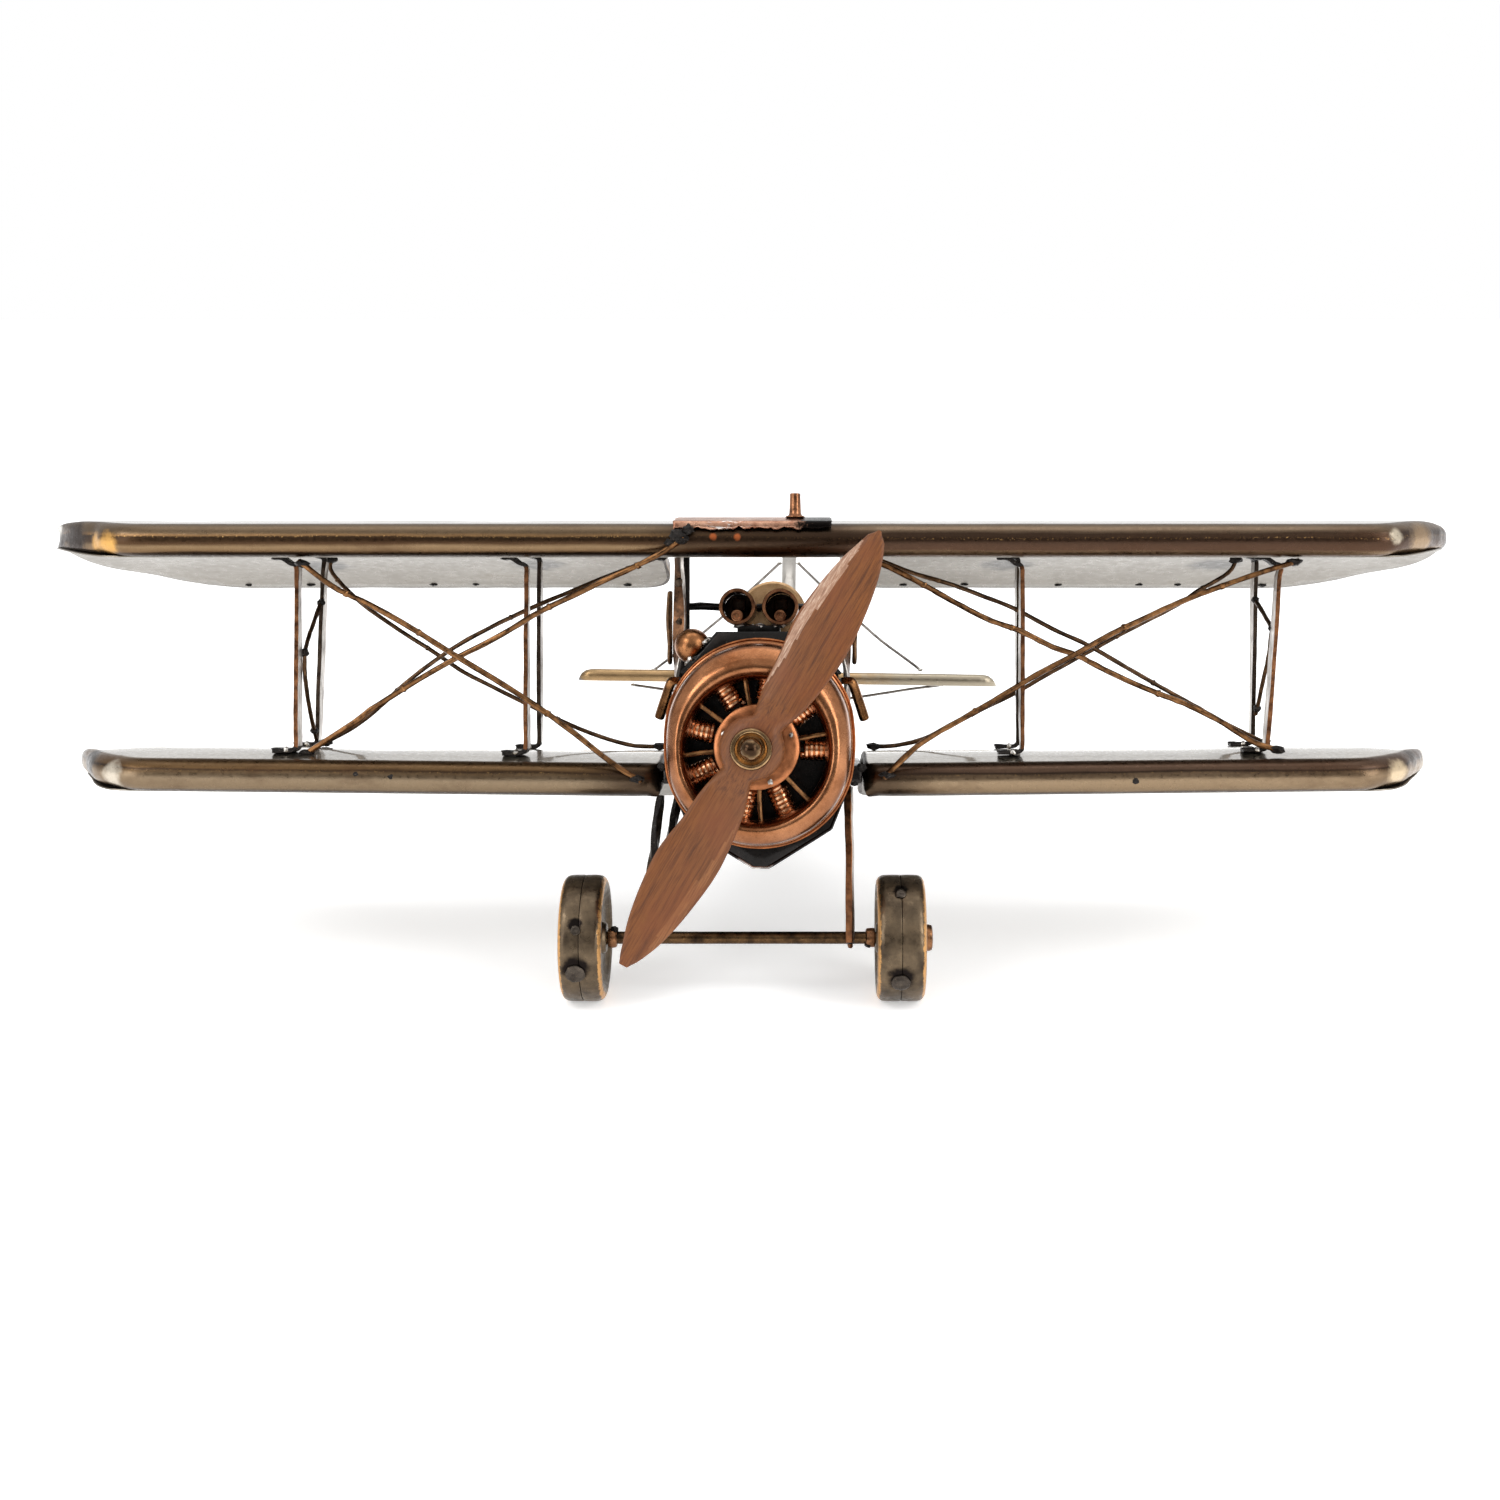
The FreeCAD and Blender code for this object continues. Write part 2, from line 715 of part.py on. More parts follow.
def coil_body(index):
    """Outer shape of one cylinder wound from wire: rounded ribs, one for each turn."""
    body = new_body("cylinder_%d" % index)
    sketch = body_sketch(body, "XY_Plane", "cylinder_section_%d" % index)
    rib = "cylinder_radius - 0.7"
    corners = [("crankcase_radius", "0"), ("crankcase_radius", rib)]
    for turn in range(int(size("coil_turns"))):
        corners.append(("crankcase_radius + %d * coil_pitch" % (turn + 1), rib,
                        "crankcase_radius + %.1f * coil_pitch" % (turn + 0.5), "cylinder_radius"))
    corners.append(("crankcase_radius + coil_turns * coil_pitch", "0"))
    outline(sketch, corners)
    revolve(body, sketch, "H_Axis")
    return body


coils, rods = [], []
for index, angle in enumerate(CYLINDER_ANGLES):
    coil = coil_body(index)
    turn = Rotation(Vector(0, 1, 0), -angle)
    coil.Placement = at(size("crankcase_x"), size("cylinder_y"), 0, turn)
    coils.append(coil)
piece("engine_cylinders", compound("cylinder_set", coils))
for index, angle in enumerate(PUSHROD_ANGLES):
    across, up = math.cos(math.radians(angle)), math.sin(math.radians(angle))
    start, end = (
        (size("crankcase_x") + reach * across, size("pushrod_y"), reach * up)
        for reach in (size("crankcase_radius"), size("pushrod_end"))
    )
    rods.append(rod("pushrod_%d" % index, start, end, "pushrod_radius"))
piece("pushrods", compound("pushrod_set", rods))

# ---------------------------------------------------------------- propeller, shaft and nut

shaft_x, front = size("shaft_x"), size("crankcase_front")
piece("propeller_shaft",
      compound("shaft_set", [rod("shaft", (shaft_x, front, 0), (shaft_x, front - size("shaft_length"), 0),
                                 "shaft_radius")]))

body = new_body("thrust_washer")
sketch = body_sketch(body, "XZ_Plane", "washer_outline")
circle(sketch, "0", "0", "washer_radius")
circle(sketch, "0", "0", "shaft_radius")
pad(body, sketch, "washer_thickness")
piece("thrust_washer", body, at(shaft_x, front, 0))

body = new_body("propeller")
sketch = body_sketch(body, "XZ_Plane", "boss_outline")
circle(sketch, "0", "0", "boss_radius")
pad(body, sketch, "boss_thickness", symmetric=True)
sketch = body_sketch(body, "XZ_Plane", "blade_outline")
outline(sketch, [
    ("boss_radius * 0.6", "blade_waist"),
    ("boss_radius * 0.6", "-blade_waist"),
    ("boss_radius * 1.4", "-blade_waist"),
    ("blade_tip - 1", "-boss_radius / 7", "blade_tip * 0.56", "-blade_full_side"),
    ("blade_tip - 0.8", "boss_radius / 5", "blade_tip", "boss_radius / 40"),
    ("boss_radius * 1.4", "blade_waist", "blade_tip * 0.56", "blade_straight_side"),
])
blade = pad(body, sketch, "blade_thickness", symmetric=True)
doc.recompute()
pattern = body.newObject("PartDesign::PolarPattern", "blade_pair")
pattern.Originals = [blade]
pattern.Axis = (sketch, ["N_Axis"])
pattern.Angle = 360
pattern.Occurrences = 2
body.Tip = pattern
sketch = body_sketch(body, "XZ_Plane", "propeller_hole")
circle(sketch, "0", "0", "propeller_bore")
pocket(body, sketch)
boss_back = front - size("washer_thickness + running_gap")
boss_middle = boss_back - size("boss_thickness / 2")
piece("propeller", body,
      at(shaft_x, boss_middle, 0, Rotation(Vector(0, 1, 0), -size("propeller_angle"))))

# Turned nut: flange, groove and dome, bored for the end of the shaft.
boss_front = boss_back - size("boss_thickness")
nut_back = boss_front - size("running_gap")
bore_depth = nut_back - (front - size("shaft_length"))
body = new_body("propeller_nut")
sketch = body_sketch(body, "XY_Plane", "nut_section")
outline(sketch, [
    ("shaft_radius", "0"),
    ("nut_radius", "0"),
    ("nut_radius", "-nut_height * 0.35"),
    ("nut_groove_radius", "-nut_height * 0.45"),
    ("nut_dome_radius", "-nut_height * 0.5"),
    ("nut_dome_radius / 4", "-nut_height", "nut_dome_radius * 0.8", "-nut_height * 0.88"),
    ("0", "-nut_height"),
    ("0", "%f" % -bore_depth),
    ("shaft_radius", "%f" % -bore_depth),
])
revolve(body, sketch, "V_Axis")
piece("propeller_nut", body, at(shaft_x, nut_back, 0))

# ---------------------------------------------------------------- guns, fairing, blisters, exhausts

GUN_X = (size("gun_left_x"), size("gun_right_x"))
gun_z, jacket_front, jacket_length = size("gun_z"), size("jacket_front"), size("jacket_length")
plate_front = jacket_front + jacket_length - size("breech_plate")
jackets, barrels, breeches, plates = [], [], [], []
for index, x in enumerate(GUN_X):
    start, end = (x, jacket_front, gun_z), (x, jacket_front + jacket_length, gun_z)
    jackets.append(cut("jacket_%d" % index, rod("jacket_tube_%d" % index, start, end, "jacket_radius"),
                       rod("jacket_hole_%d" % index, start, end, "jacket_bore")))
    barrel_z = gun_z - size("jacket_bore - barrel_radius")
    barrels.append(rod("barrel_%d" % index, (x, jacket_front - 0.5, barrel_z),
                       (x, plate_front, barrel_z), "barrel_radius"))
    low = barrel_z + size("barrel_radius")
    half = size("breech_width / 2")
    breeches.append(block("breech_%d" % index, (x - half, plate_front - size("breech_length"), low),
                          (x + half, plate_front, low + size("breech_height"))))
    plates.append(rod("breech_plate_%d" % index, (x, plate_front, gun_z), end, "jacket_bore"))
piece("gun_jackets", compound("jacket_set", jackets))
piece("gun_barrels", compound("barrel_set", barrels + breeches + plates))
deck_z = size("hull_nose_top_z")
piece("gun_saddle", block("saddle", (0, 0, 0), (GUN_X[1] - GUN_X[0], size("saddle_length"),
                                                gun_z - size("jacket_radius") - deck_z)),
      at(GUN_X[0], 2, deck_z))

body = new_body("gun_fairing")


def arch(sketch, inset):
    """Upright sides under a round top."""
    half = "fairing_half - %s" % inset
    outline(sketch, [
        (half, "0"),
        (half, "fairing_side"),
        ("-(%s)" % half, "fairing_side", "0", "fairing_height - %s" % inset),
        ("-(%s)" % half, "0"),
    ])


sketch = body_sketch(body, "XZ_Plane", "fairing_outer")
arch(sketch, "0")
pad(body, sketch, "fairing_length")
sketch = body_sketch(body, "XZ_Plane", "fairing_inner")
arch(sketch, "fairing_sheet")
pocket(body, sketch, "fairing_length - fairing_sheet", reverse=True)
piece("gun_fairing", body, at(size("fairing_x"), size("fairing_front + fairing_length"), deck_z))

# Round copper blisters standing proud of the two shoulders of the fuselage.
blisters = []
for index, side in enumerate((-1, 1)):
    tilt = math.degrees(math.atan2(size("hull_nose_top_z - hull_nose_shoulder_z"),
                                   size("hull_nose_shoulder - hull_nose_top")))
    middle = (size("hull_nose_x + 0.2") + side * size("(hull_nose_shoulder + hull_nose_top) / 2 + 0.1"),
              size("(hull_nose_top_z + hull_nose_shoulder_z) / 2 + 0.1"))
    rise_z, reach = size("blister_rise"), 3 * size("blister_radius")
    tube = rod("blister_tube_%d" % index, (0, 0, rise_z), (0, size("blister_length"), rise_z), "blister_radius")
    nose = doc.addObject("Part::Sphere", "blister_nose_%d" % index)
    bind(nose, "Radius", "blister_radius")
    nose.Placement = at(0, 0, rise_z)
    bullet = doc.addObject("Part::Fuse", "blister_bullet_%d" % index)
    bullet.Base, bullet.Tool = tube, nose
    dome = cut("blister_%d" % index, bullet,
               block("below_shoulder_%d" % index, (-reach, -reach, -reach), (reach, reach, 0)))
    dome.Placement = at(middle[0], 0, middle[1], Rotation(Vector(0, 1, 0), side * tilt))
    blisters.append(dome)
piece("cowl_blisters", compound("blister_set", blisters))


def hull_side(z):
    """Half-width of the fuselage's upright side at a height, at its nose."""
    share = size("(hull_nose_shoulder_z - %f) / (hull_nose_shoulder_z - hull_nose_chine_z)" % z)
    return size("hull_nose_shoulder + %f * (hull_nose_chine - hull_nose_shoulder)" % share)


# Each exhaust stub leaves the fuselage side by a short elbow and runs down, out and back.
exhausts = []
elbow_y, elbow_z = 1, 16.6
for index, (side, elbow_x, end) in enumerate(((-1, -21.6, (-25.4, 9, 7.2)), (1, 26.6, (30.2, 9, 6.8)))):
    start = (elbow_x, elbow_y, elbow_z)
    foot_x = size("hull_nose_x") + side * (hull_side(elbow_z) + 0.07)
    elbow = rod("exhaust_elbow_%d" % index, (foot_x, elbow_y, elbow_z), start, "exhaust_radius")
    pipe = rod("exhaust_pipe_%d" % index, start, end, "exhaust_radius")
    stub = doc.addObject("Part::Fuse", "exhaust_%d" % index)
    stub.Base, stub.Tool = elbow, pipe
    exhausts.append(stub)
piece("exhaust_stubs", compound("exhaust_set", exhausts))

# ---------------------------------------------------------------- interplane struts


def strut(label, top_x, bottom_x, station, width):
    """Flat strip between the wings, bent at both ends into feet that point to the left."""
    half_width = size(width) / 2
    stations = (station - half_width, station + half_width)
    top = upper_under(stations[0]) if station < size("hollow_station") / 2 else min(map(upper_under, stations))
    bottom = max(lower_top(bottom_x, y) for y in stations)
    body = new_body(label)
    sketch = body_sketch(body, "XZ_Plane", label + "_outline")
    lean = top_x - bottom_x
    height = "%f" % (top - bottom)
    right, left, foot = "strut_sheet / 2", "-strut_sheet / 2", "-strut_foot"
    outline(sketch, [
        (right, "0"),
        (right + " + %f" % lean, height),
        (foot + " + %f" % lean, height),
        (foot + " + %f" % lean, height + " - strut_sheet"),
        (left + " + %f" % lean, height + " - strut_sheet"),
        (left, "strut_sheet"),
        (foot, "strut_sheet"),
        (foot, "0"),
    ])
    pad(body, sketch, width, symmetric=True)
    piece(label, body, at(bottom_x, station, bottom))


STRUTS = {
    "left_outer_front_strut": (-124.3, -124.3, "front"),
    "left_outer_rear_strut": (-122.4, -124.4, "rear"),
    "left_inner_front_strut": (-61.8, -61.8, "front"),
    "left_inner_rear_strut": (-61.4, -61.4, "rear"),
    "right_inner_front_strut": (73.3, 73.3, "front"),
    "right_inner_rear_strut": (74.5, 74.5, "rear"),
    "right_outer_front_strut": (143.7, 139.9, "front"),
    "right_outer_rear_strut": (141.9, 141.0, "rear"),
}
for label, (top_x, bottom_x, row) in STRUTS.items():
    strut(label, top_x, bottom_x, size(row + "_strut_y"), row + "_strut_width")

# ---------------------------------------------------------------- wires

# Front wires lie ahead of the front struts; rear wires pass on both sides of the rear struts.
front_wire, rear_wire = size("front_wire_radius"), size("rear_wire_radius + 0.05")
left_front_foot = (-122.6, 10, lower_top(-122.6, 10) + front_wire)
left_rear_foot = (-122.2, 28.6, lower_top(-122.2, 28.6) + rear_wire)
right_front_foot = (143.2, 7.3, lower_top(143.2, 7.3) + front_wire)
right_rear_foot = (144.5, 28.6, lower_top(144.5, 28.6) + rear_wire)
WIRES = {
    "left_flying_wires": (
        ("front", (-18.2, -1.0, 55), left_front_foot),
        ("rear", (-25.8, 28.6, upper_under(28.6) - rear_wire), left_rear_foot),
    ),
    "left_landing_wires": (
        ("front", (-122.6, 5.4, upper_under(5.4) - front_wire), (-29.6, -1.0, -10)),
        ("rear", (-121.5, 37.4, upper_under(37.4) - rear_wire), (-26.7, 37.4, lower_top(-26.7, 37.4) + rear_wire)),
    ),
    "right_flying_wires": (
        ("front", (28.5, 6.0, upper_under(6.0) - front_wire), right_front_foot),
        ("rear", (32.5, 28.6, upper_under(28.6) - rear_wire), right_rear_foot),
    ),
    "right_landing_wires": (
        ("front", (147.6, 5.4, upper_under(5.4) - front_wire), (35.2, -1.0, -9.1)),
        ("rear", (137.9, 37.4, upper_under(37.4) - rear_wire), (32.4, 37.4, lower_top(32.4, 37.4) + rear_wire)),
    ),
}
for label, wires in WIRES.items():
    rods = [rod("%s_%s" % (label, row), start, end, row + "_wire_radius") for row, start, end in wires]
    piece(label, compound(label + "_set", rods))

# Incidence wires: bent like an arrowhead between the front and rear outer struts.
incidence = []
for name, x, top_z, middle_z, low_z in (("left", -124.7, 40, 24, 0.5), ("right", 142.3, 39.8, 30.5, 8.6)):
    front_y = size("front_strut_y + front_strut_width / 2 + incidence_wire_radius")
    rear_y = size("rear_strut_y - rear_strut_width / 2 - incidence_wire_radius")
    for part_name, z in (("upper", top_z), ("lower", low_z)):
        offset = 0.75 if part_name == "upper" else -0.75
        incidence.append(rod("%s_%s_incidence" % (name, part_name), (x, front_y, middle_z + offset),
                             (x, rear_y, z), "incidence_wire_radius"))
piece("incidence_wires", compound("incidence_set", incidence))

# ---------------------------------------------------------------- cabane

strip = size("strut_sheet")
cabane_width, post = size("cabane_width"), size("post_width")
hull_left = size("hull_nose_x - hull_nose_chine")
hull_right = size("hull_nose_x + hull_nose_chine")
cabane_y = 6
top = upper_under(cabane_y) - 0.05
piece("cabane_front_struts", compound("cabane_front_set", [
    block("cabane_left", (hull_left - strip, cabane_y, 8), (hull_left, cabane_y + cabane_width, top)),
    block("cabane_right", (hull_right, cabane_y, 8), (hull_right + strip, cabane_y + cabane_width, top)),
]))
post_y = 21
top = upper_under(post_y) - 0.05
piece("cabane_rear_posts", compound("cabane_rear_set", [
    block("post_left", (hull_left - post, post_y, 8), (hull_left, post_y + post, top)),
    block("post_right", (hull_right, post_y, 8), (hull_right + post, post_y + post, top)),
]))
bar_y = post_y + post + size("crossbar_radius")
bar_z = size("crossbar_z")
piece("cabane_crossbar", compound("crossbar_set", [
    rod("crossbar", (hull_left - post, bar_y, bar_z), (hull_right + post, bar_y, bar_z), "crossbar_radius"),
]))
braces = []
for side, x in ((-1, hull_left - strip - 0.7), (1, hull_right + strip + 0.7)):
    braces.append(rod("brace_%s" % ("left" if side < 0 else "right"), (x, cabane_y + 3, 22),
                      (x + side * 0.9, post_y - 0.6, 42), "incidence_wire_radius"))
piece("cabane_brace_rods", compound("brace_set", braces))

# Black fittings that fill the gaps between the fuselage sides and the lower wing roots.
low, high = size("lower_edge_z + 3.5"), size("lower_edge_z + 8.5")
piece("wing_root_fittings", compound("root_fitting_set", [
    block("fitting_left", (0.1 - size("left_root"), 3, low), (hull_left, 52, high)),
    block("fitting_right", (hull_right + 0.25, 3, low), (size("right_root") - 0.1, 52, high)),
]))

# ---------------------------------------------------------------- landing gear

wheel_y, wheel_z = size("wheel_y"), size("wheel_z")


def wheel_half(label, x, side, width, hub_recess):
    """One pressed half of a wheel: rim with a rounded edge, dished face and hub sleeve."""
    body = new_body(label)
    sketch = body_sketch(body, "XY_Plane", label + "_section")
    out = "%d * (%%s)" % side
    half, corner = width + " / 2", "wheel_corner * %f" % (1 - math.sqrt(0.5))
    face = half + " - wheel_dish"
    inner = face + " - wheel_sheet"
    profile = [
        ("0", "wheel_radius"),
        (half + " - wheel_corner", "wheel_radius"),
        (half, "wheel_radius - wheel_corner", half + " - " + corner, "wheel_radius - " + corner),
        (half, "wheel_radius - 3.4"),
        (face, "wheel_radius - 4.9"),
        (face, "wheel_hub_radius"),
        ("%s - %s" % (half, hub_recess), "wheel_hub_radius"),
        ("%s - %s" % (half, hub_recess), "wheel_bore"),
        ("0", "wheel_bore"),
        ("0", "wheel_hub_radius"),
        (inner, "wheel_hub_radius"),
        (inner, "wheel_radius - 5.5"),
        (half + " - wheel_sheet", "wheel_radius - 4.1"),
        (half + " - wheel_sheet", "wheel_radius - wheel_sheet - 1"),
        (half + " - wheel_sheet - 1", "wheel_radius - wheel_sheet"),
        ("0", "wheel_radius - wheel_sheet"),
    ]
    outline(sketch, [tuple(out % value if place % 2 == 0 else value for place, value in enumerate(corner_values))
                     for corner_values in profile])
    revolve(body, sketch, "H_Axis")
    piece(label, body, at(x, wheel_y, wheel_z))


left_x, right_x = size("left_wheel_x"), size("right_wheel_x")
wheel_half("left_wheel_outer_half", left_x, -1, "left_wheel_width", "left_hub_recess")
wheel_half("left_wheel_inner_half", left_x, 1, "left_wheel_width", "0")
wheel_half("right_wheel_outer_half", right_x, 1, "right_wheel_width", "0")
wheel_half("right_wheel_inner_half", right_x, -1, "right_wheel_width", "0")


def plugs(label, x, places):
    """Round weld plugs over the seam; places are (offset across, degrees above the front, radius scale)."""
    discs = []
    for index, (across, angle, scale) in enumerate(places):
        direction = Vector(0, -math.cos(math.radians(angle)), math.sin(math.radians(angle)))
        centre = Vector(x + across, wheel_y, wheel_z)
        start = centre + direction * size("wheel_radius - wheel_sheet * 0.6")
        end = centre + direction * size("wheel_radius + plug_proud")
        discs.append(rod("%s_%d" % (label, index), start, end, "plug_radius * %s" % scale))
    piece(label, compound(label + "_set", discs))


plugs("left_wheel_plugs", left_x, ((-1.0, -26, "1"), (-0.8, 14, "0.5")))
plugs("right_wheel_plugs", right_x, ((-0.3, -36, "1"), (-0.3, 50, "0.6")))

left_half, right_half = size("left_wheel_width / 2"), size("right_wheel_width / 2")
left_hub_end = left_x - left_half + size("left_hub_recess")
right_hub_end = right_x + right_half
gap = size("running_gap")
axle_left = left_hub_end - gap - size("cap_bore_depth")
axle_right = right_hub_end + gap + size("cap_bore_depth")
piece("axle", compound("axle_set", [
    rod("axle_rod", (axle_left, wheel_y, wheel_z), (axle_right, wheel_y, wheel_z), "axle_radius")]))

cap_start = right_hub_end + gap
right_cap = cut("right_cap", rod("right_cap_disc", (cap_start, wheel_y, wheel_z),
                                 (cap_start + size("cap_thickness"), wheel_y, wheel_z), "cap_radius"),
                rod("right_cap_hole", (cap_start, wheel_y, wheel_z), (axle_right, wheel_y, wheel_z),
                    "axle_radius"))
left_cap = cut("left_cap", rod("left_cap_disc", (axle_left, wheel_y, wheel_z),
                               (left_hub_end - gap, wheel_y, wheel_z), "cap_radius * 0.85"),
               rod("left_cap_hole", (axle_left, wheel_y, wheel_z), (left_hub_end - gap, wheel_y, wheel_z),
                   "axle_radius"))

collars = []
for name, start in (("left", left_x + left_half + gap),
                    ("right", right_x - right_half - gap - size("collar_width"))):
    ends = ((start, wheel_y, wheel_z), (start + size("collar_width"), wheel_y, wheel_z))
    collars.append(cut(name + "_collar", rod(name + "_collar_disc", *ends, "collar_radius"),
                       rod(name + "_collar_hole", *ends, "axle_radius")))
piece("axle_stops", compound("stop_set", [left_cap, right_cap] + collars))

# Each gear side is a V of two legs, soldered to the front and to the back of the axle.
beside = size("axle_radius + gear_leg_radius + 2 * solder_gap")
leg_radius = size("gear_leg_radius")
LEGS = {
    "left_gear_legs": (((-25.2, 10, -14.3), -29.6), ((hull_left - leg_radius, 36, -12), -29.0)),
    "right_gear_legs": (((hull_right + leg_radius, 10, -12), 26.2), ((hull_right + leg_radius, 36, -12), 26.4)),
}
for label, (front_leg, rear_leg) in LEGS.items():
    legs = []
    for name, (start, x), y in (("front", front_leg, wheel_y - beside), ("rear", rear_leg, wheel_y + beside)):
        legs.append(rod("%s_%s" % (label, name), start, (x, y, wheel_z - 1), "gear_leg_radius"))
    piece(label, compound(label + "_set", legs))

# ---------------------------------------------------------------- tail

tail_x = size("tail_x")
section = free_sketch("YZ_Plane", "tailplane_section")
roll_join = "tailplane_roll + sqrt(tailplane_roll ^ 2 - (tailplane_roll - tailplane_sheet) ^ 2)"
outline(section, [
    ("tailplane_chord", "tailplane_sheet"),
    (roll_join, "tailplane_sheet"),
    ("tailplane_roll", "0", "0", "tailplane_roll"),
    ("tailplane_chord", "0"),
])
plan = free_sketch("XY_Plane", "tailplane_plan")
outline(plan, [
    ("tailplane_edge_half", "0"),
    ("tailplane_trailing_half", "tailplane_chord", "tailplane_tip_half", "tailplane_chord * 0.45"),
    ("-tailplane_trailing_half", "tailplane_chord"),
    ("-tailplane_edge_half", "0", "-tailplane_tip_half", "tailplane_chord * 0.45"),
])
tailplane = common("tailplane_solid", extrude(section, "2.2 * tailplane_tip_half"),
                   extrude(plan, "tailplane_chord"))
piece("tailplane", tailplane, at(tail_x, size("tailplane_front"), size("tailplane_z")))

# Fin and rudder in one sheet: rolled leading edge, rounded top, rudder foot behind the sternpost.
side_view = free_sketch("YZ_Plane", "fin_side")
base = size("tailplane_z + 2 * tailplane_roll")
outline(side_view, [
    ("186", "tailplane_z + 2 * tailplane_roll"),
    ("205", "fin_top_z - 3", "189", "fin_top_z - 20"),
    ("226", "fin_top_z - 12", "217", "fin_top_z"),
    ("232", "24", "233", "40"),
    ("216", "14", "226", "14"),
    ("216", "tailplane_z + 2 * tailplane_roll"),
])
thickness = free_sketch("XY_Plane", "fin_thickness")
outline(thickness, [
    ("fin_sheet / 2", "233.5"),
    ("-fin_sheet / 2", "233.5"),
    ("-fin_roll", "184 + fin_roll"),
    ("fin_roll", "184 + fin_roll", "0", "184"),
])
fin = common("fin_solid", extrude(side_view, "4 * fin_roll"), extrude(thickness, "4 * fin_top_z"))
piece("tail_fin", fin, at(tail_x + 0.4, 0, 0))

top_z = base + size("tail_wire_radius")
under_z = size("tailplane_z - tail_wire_radius")
tail_wires = []
for name, side in (("left", -1), ("right", 1)):
    fin_face = (tail_x + 0.4 + side * size("fin_roll + tail_wire_radius"), 196, 60)
    tail_wires.append(rod("tail_wire_up_" + name, (tail_x + side * 48, 181, top_z), fin_face,
                          "tail_wire_radius"))
    hull_face = (tail_x + side * 4.4, 196, 7)
    tail_wires.append(rod("tail_wire_down_" + name, (tail_x + side * 56, 186, under_z), hull_face,
                          "tail_wire_radius"))
piece("tail_wires", compound("tail_wire_set", tail_wires))

# The skid's rounded foot meets the same surface as the wheels.
skid_y = size("skid_y")
ground = size("wheel_radius - skid_radius")
skid_z = wheel_z + ((skid_y - wheel_y) * math.sin(lean) - ground) / math.cos(lean)
skid_top = (size("hull_tail_x") + 0.3, 190, 0.9)
skid_foot = (size("hull_tail_x") + 0.3, skid_y, skid_z)
shank = rod("skid_shank", skid_top, skid_foot, "skid_radius")
foot = doc.addObject("Part::Sphere", "skid_foot")
bind(foot, "Radius", "skid_radius")
foot.Placement = at(*skid_foot)
skid = doc.addObject("Part::Fuse", "skid")
skid.Base, skid.Tool = shank, foot
piece("tail_skid", skid)

# ---------------------------------------------------------------- checks and export

doc.recompute()
for thing in doc.Objects:
    assert not {"Invalid", "Error"} & set(thing.State), thing.Label + " failed to recompute"
for label, thing in pieces.items():
    assert not thing.Shape.isNull() and thing.Shape.isValid(), label + " has a bad shape"
    assert thing.Shape.Solids, label + " holds no solid"

os.makedirs("parts", exist_ok=True)
for label, thing in pieces.items():
    thing.Shape.exportStep("parts/%s.step" % label)
print(len(pieces), "pieces written")
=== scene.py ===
import json
import math

import bmesh
import bpy
from mathutils import Matrix, Vector, geometry, noise

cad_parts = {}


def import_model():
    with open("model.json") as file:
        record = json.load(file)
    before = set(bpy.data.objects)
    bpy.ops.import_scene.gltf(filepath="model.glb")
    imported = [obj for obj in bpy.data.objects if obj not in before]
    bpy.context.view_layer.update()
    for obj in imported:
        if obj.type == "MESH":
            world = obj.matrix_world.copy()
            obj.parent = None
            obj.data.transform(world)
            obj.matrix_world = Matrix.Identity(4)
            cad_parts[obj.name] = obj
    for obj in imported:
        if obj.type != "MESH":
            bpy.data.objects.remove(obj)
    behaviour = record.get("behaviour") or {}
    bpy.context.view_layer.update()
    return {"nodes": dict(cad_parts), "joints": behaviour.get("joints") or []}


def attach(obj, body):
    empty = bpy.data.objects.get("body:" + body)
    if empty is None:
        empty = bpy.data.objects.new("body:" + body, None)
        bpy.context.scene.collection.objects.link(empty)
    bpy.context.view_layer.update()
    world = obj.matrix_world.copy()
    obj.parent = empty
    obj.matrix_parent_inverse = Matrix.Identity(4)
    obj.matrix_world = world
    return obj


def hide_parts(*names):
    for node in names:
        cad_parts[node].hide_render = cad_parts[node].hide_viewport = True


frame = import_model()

# Sheet-metal display biplane. Shapes are drawn in the level frame of the aeroplane, in millimetres: x across
# the span, y aft from the wings' leading edges, z up from the thrust line. STANCE stands them tail-down.

MM = 0.001
PROPELLER_MIDDLE = Vector((1.0, -33.0, 0.0))
JOINTS = {joint["name"]: joint for joint in frame["joints"]}
SHAFT = Vector(JOINTS["propeller_spin"]["axis"])
LEAN = math.atan2(SHAFT.z, -SHAFT.y)
TURN = Matrix.Rotation(-LEAN, 4, "X")
ORIGIN = Vector(JOINTS["propeller_spin"]["pos_m"]) - TURN @ (MM * PROPELLER_MIDDLE)
STANCE = Matrix.Translation(ORIGIN) @ TURN @ Matrix.Scale(MM, 4)
LEVEL = STANCE.inverted()


def lerp(a, b, t):
    return a + (b - a) * t


def smooth(t):
    t = min(1.0, max(0.0, t))
    return t * t * (3 - 2 * t)


def wobble(seed, *place, scale=0.2):
    """Smooth noise between about -1 and 1 at a place in millimetres."""
    return noise.noise(Vector((place + (0, 0, 0))[:3]) * scale + Vector((seed * 7.3, seed * 3.1, -seed)))


# ---------------------------------------------------------------- building meshes


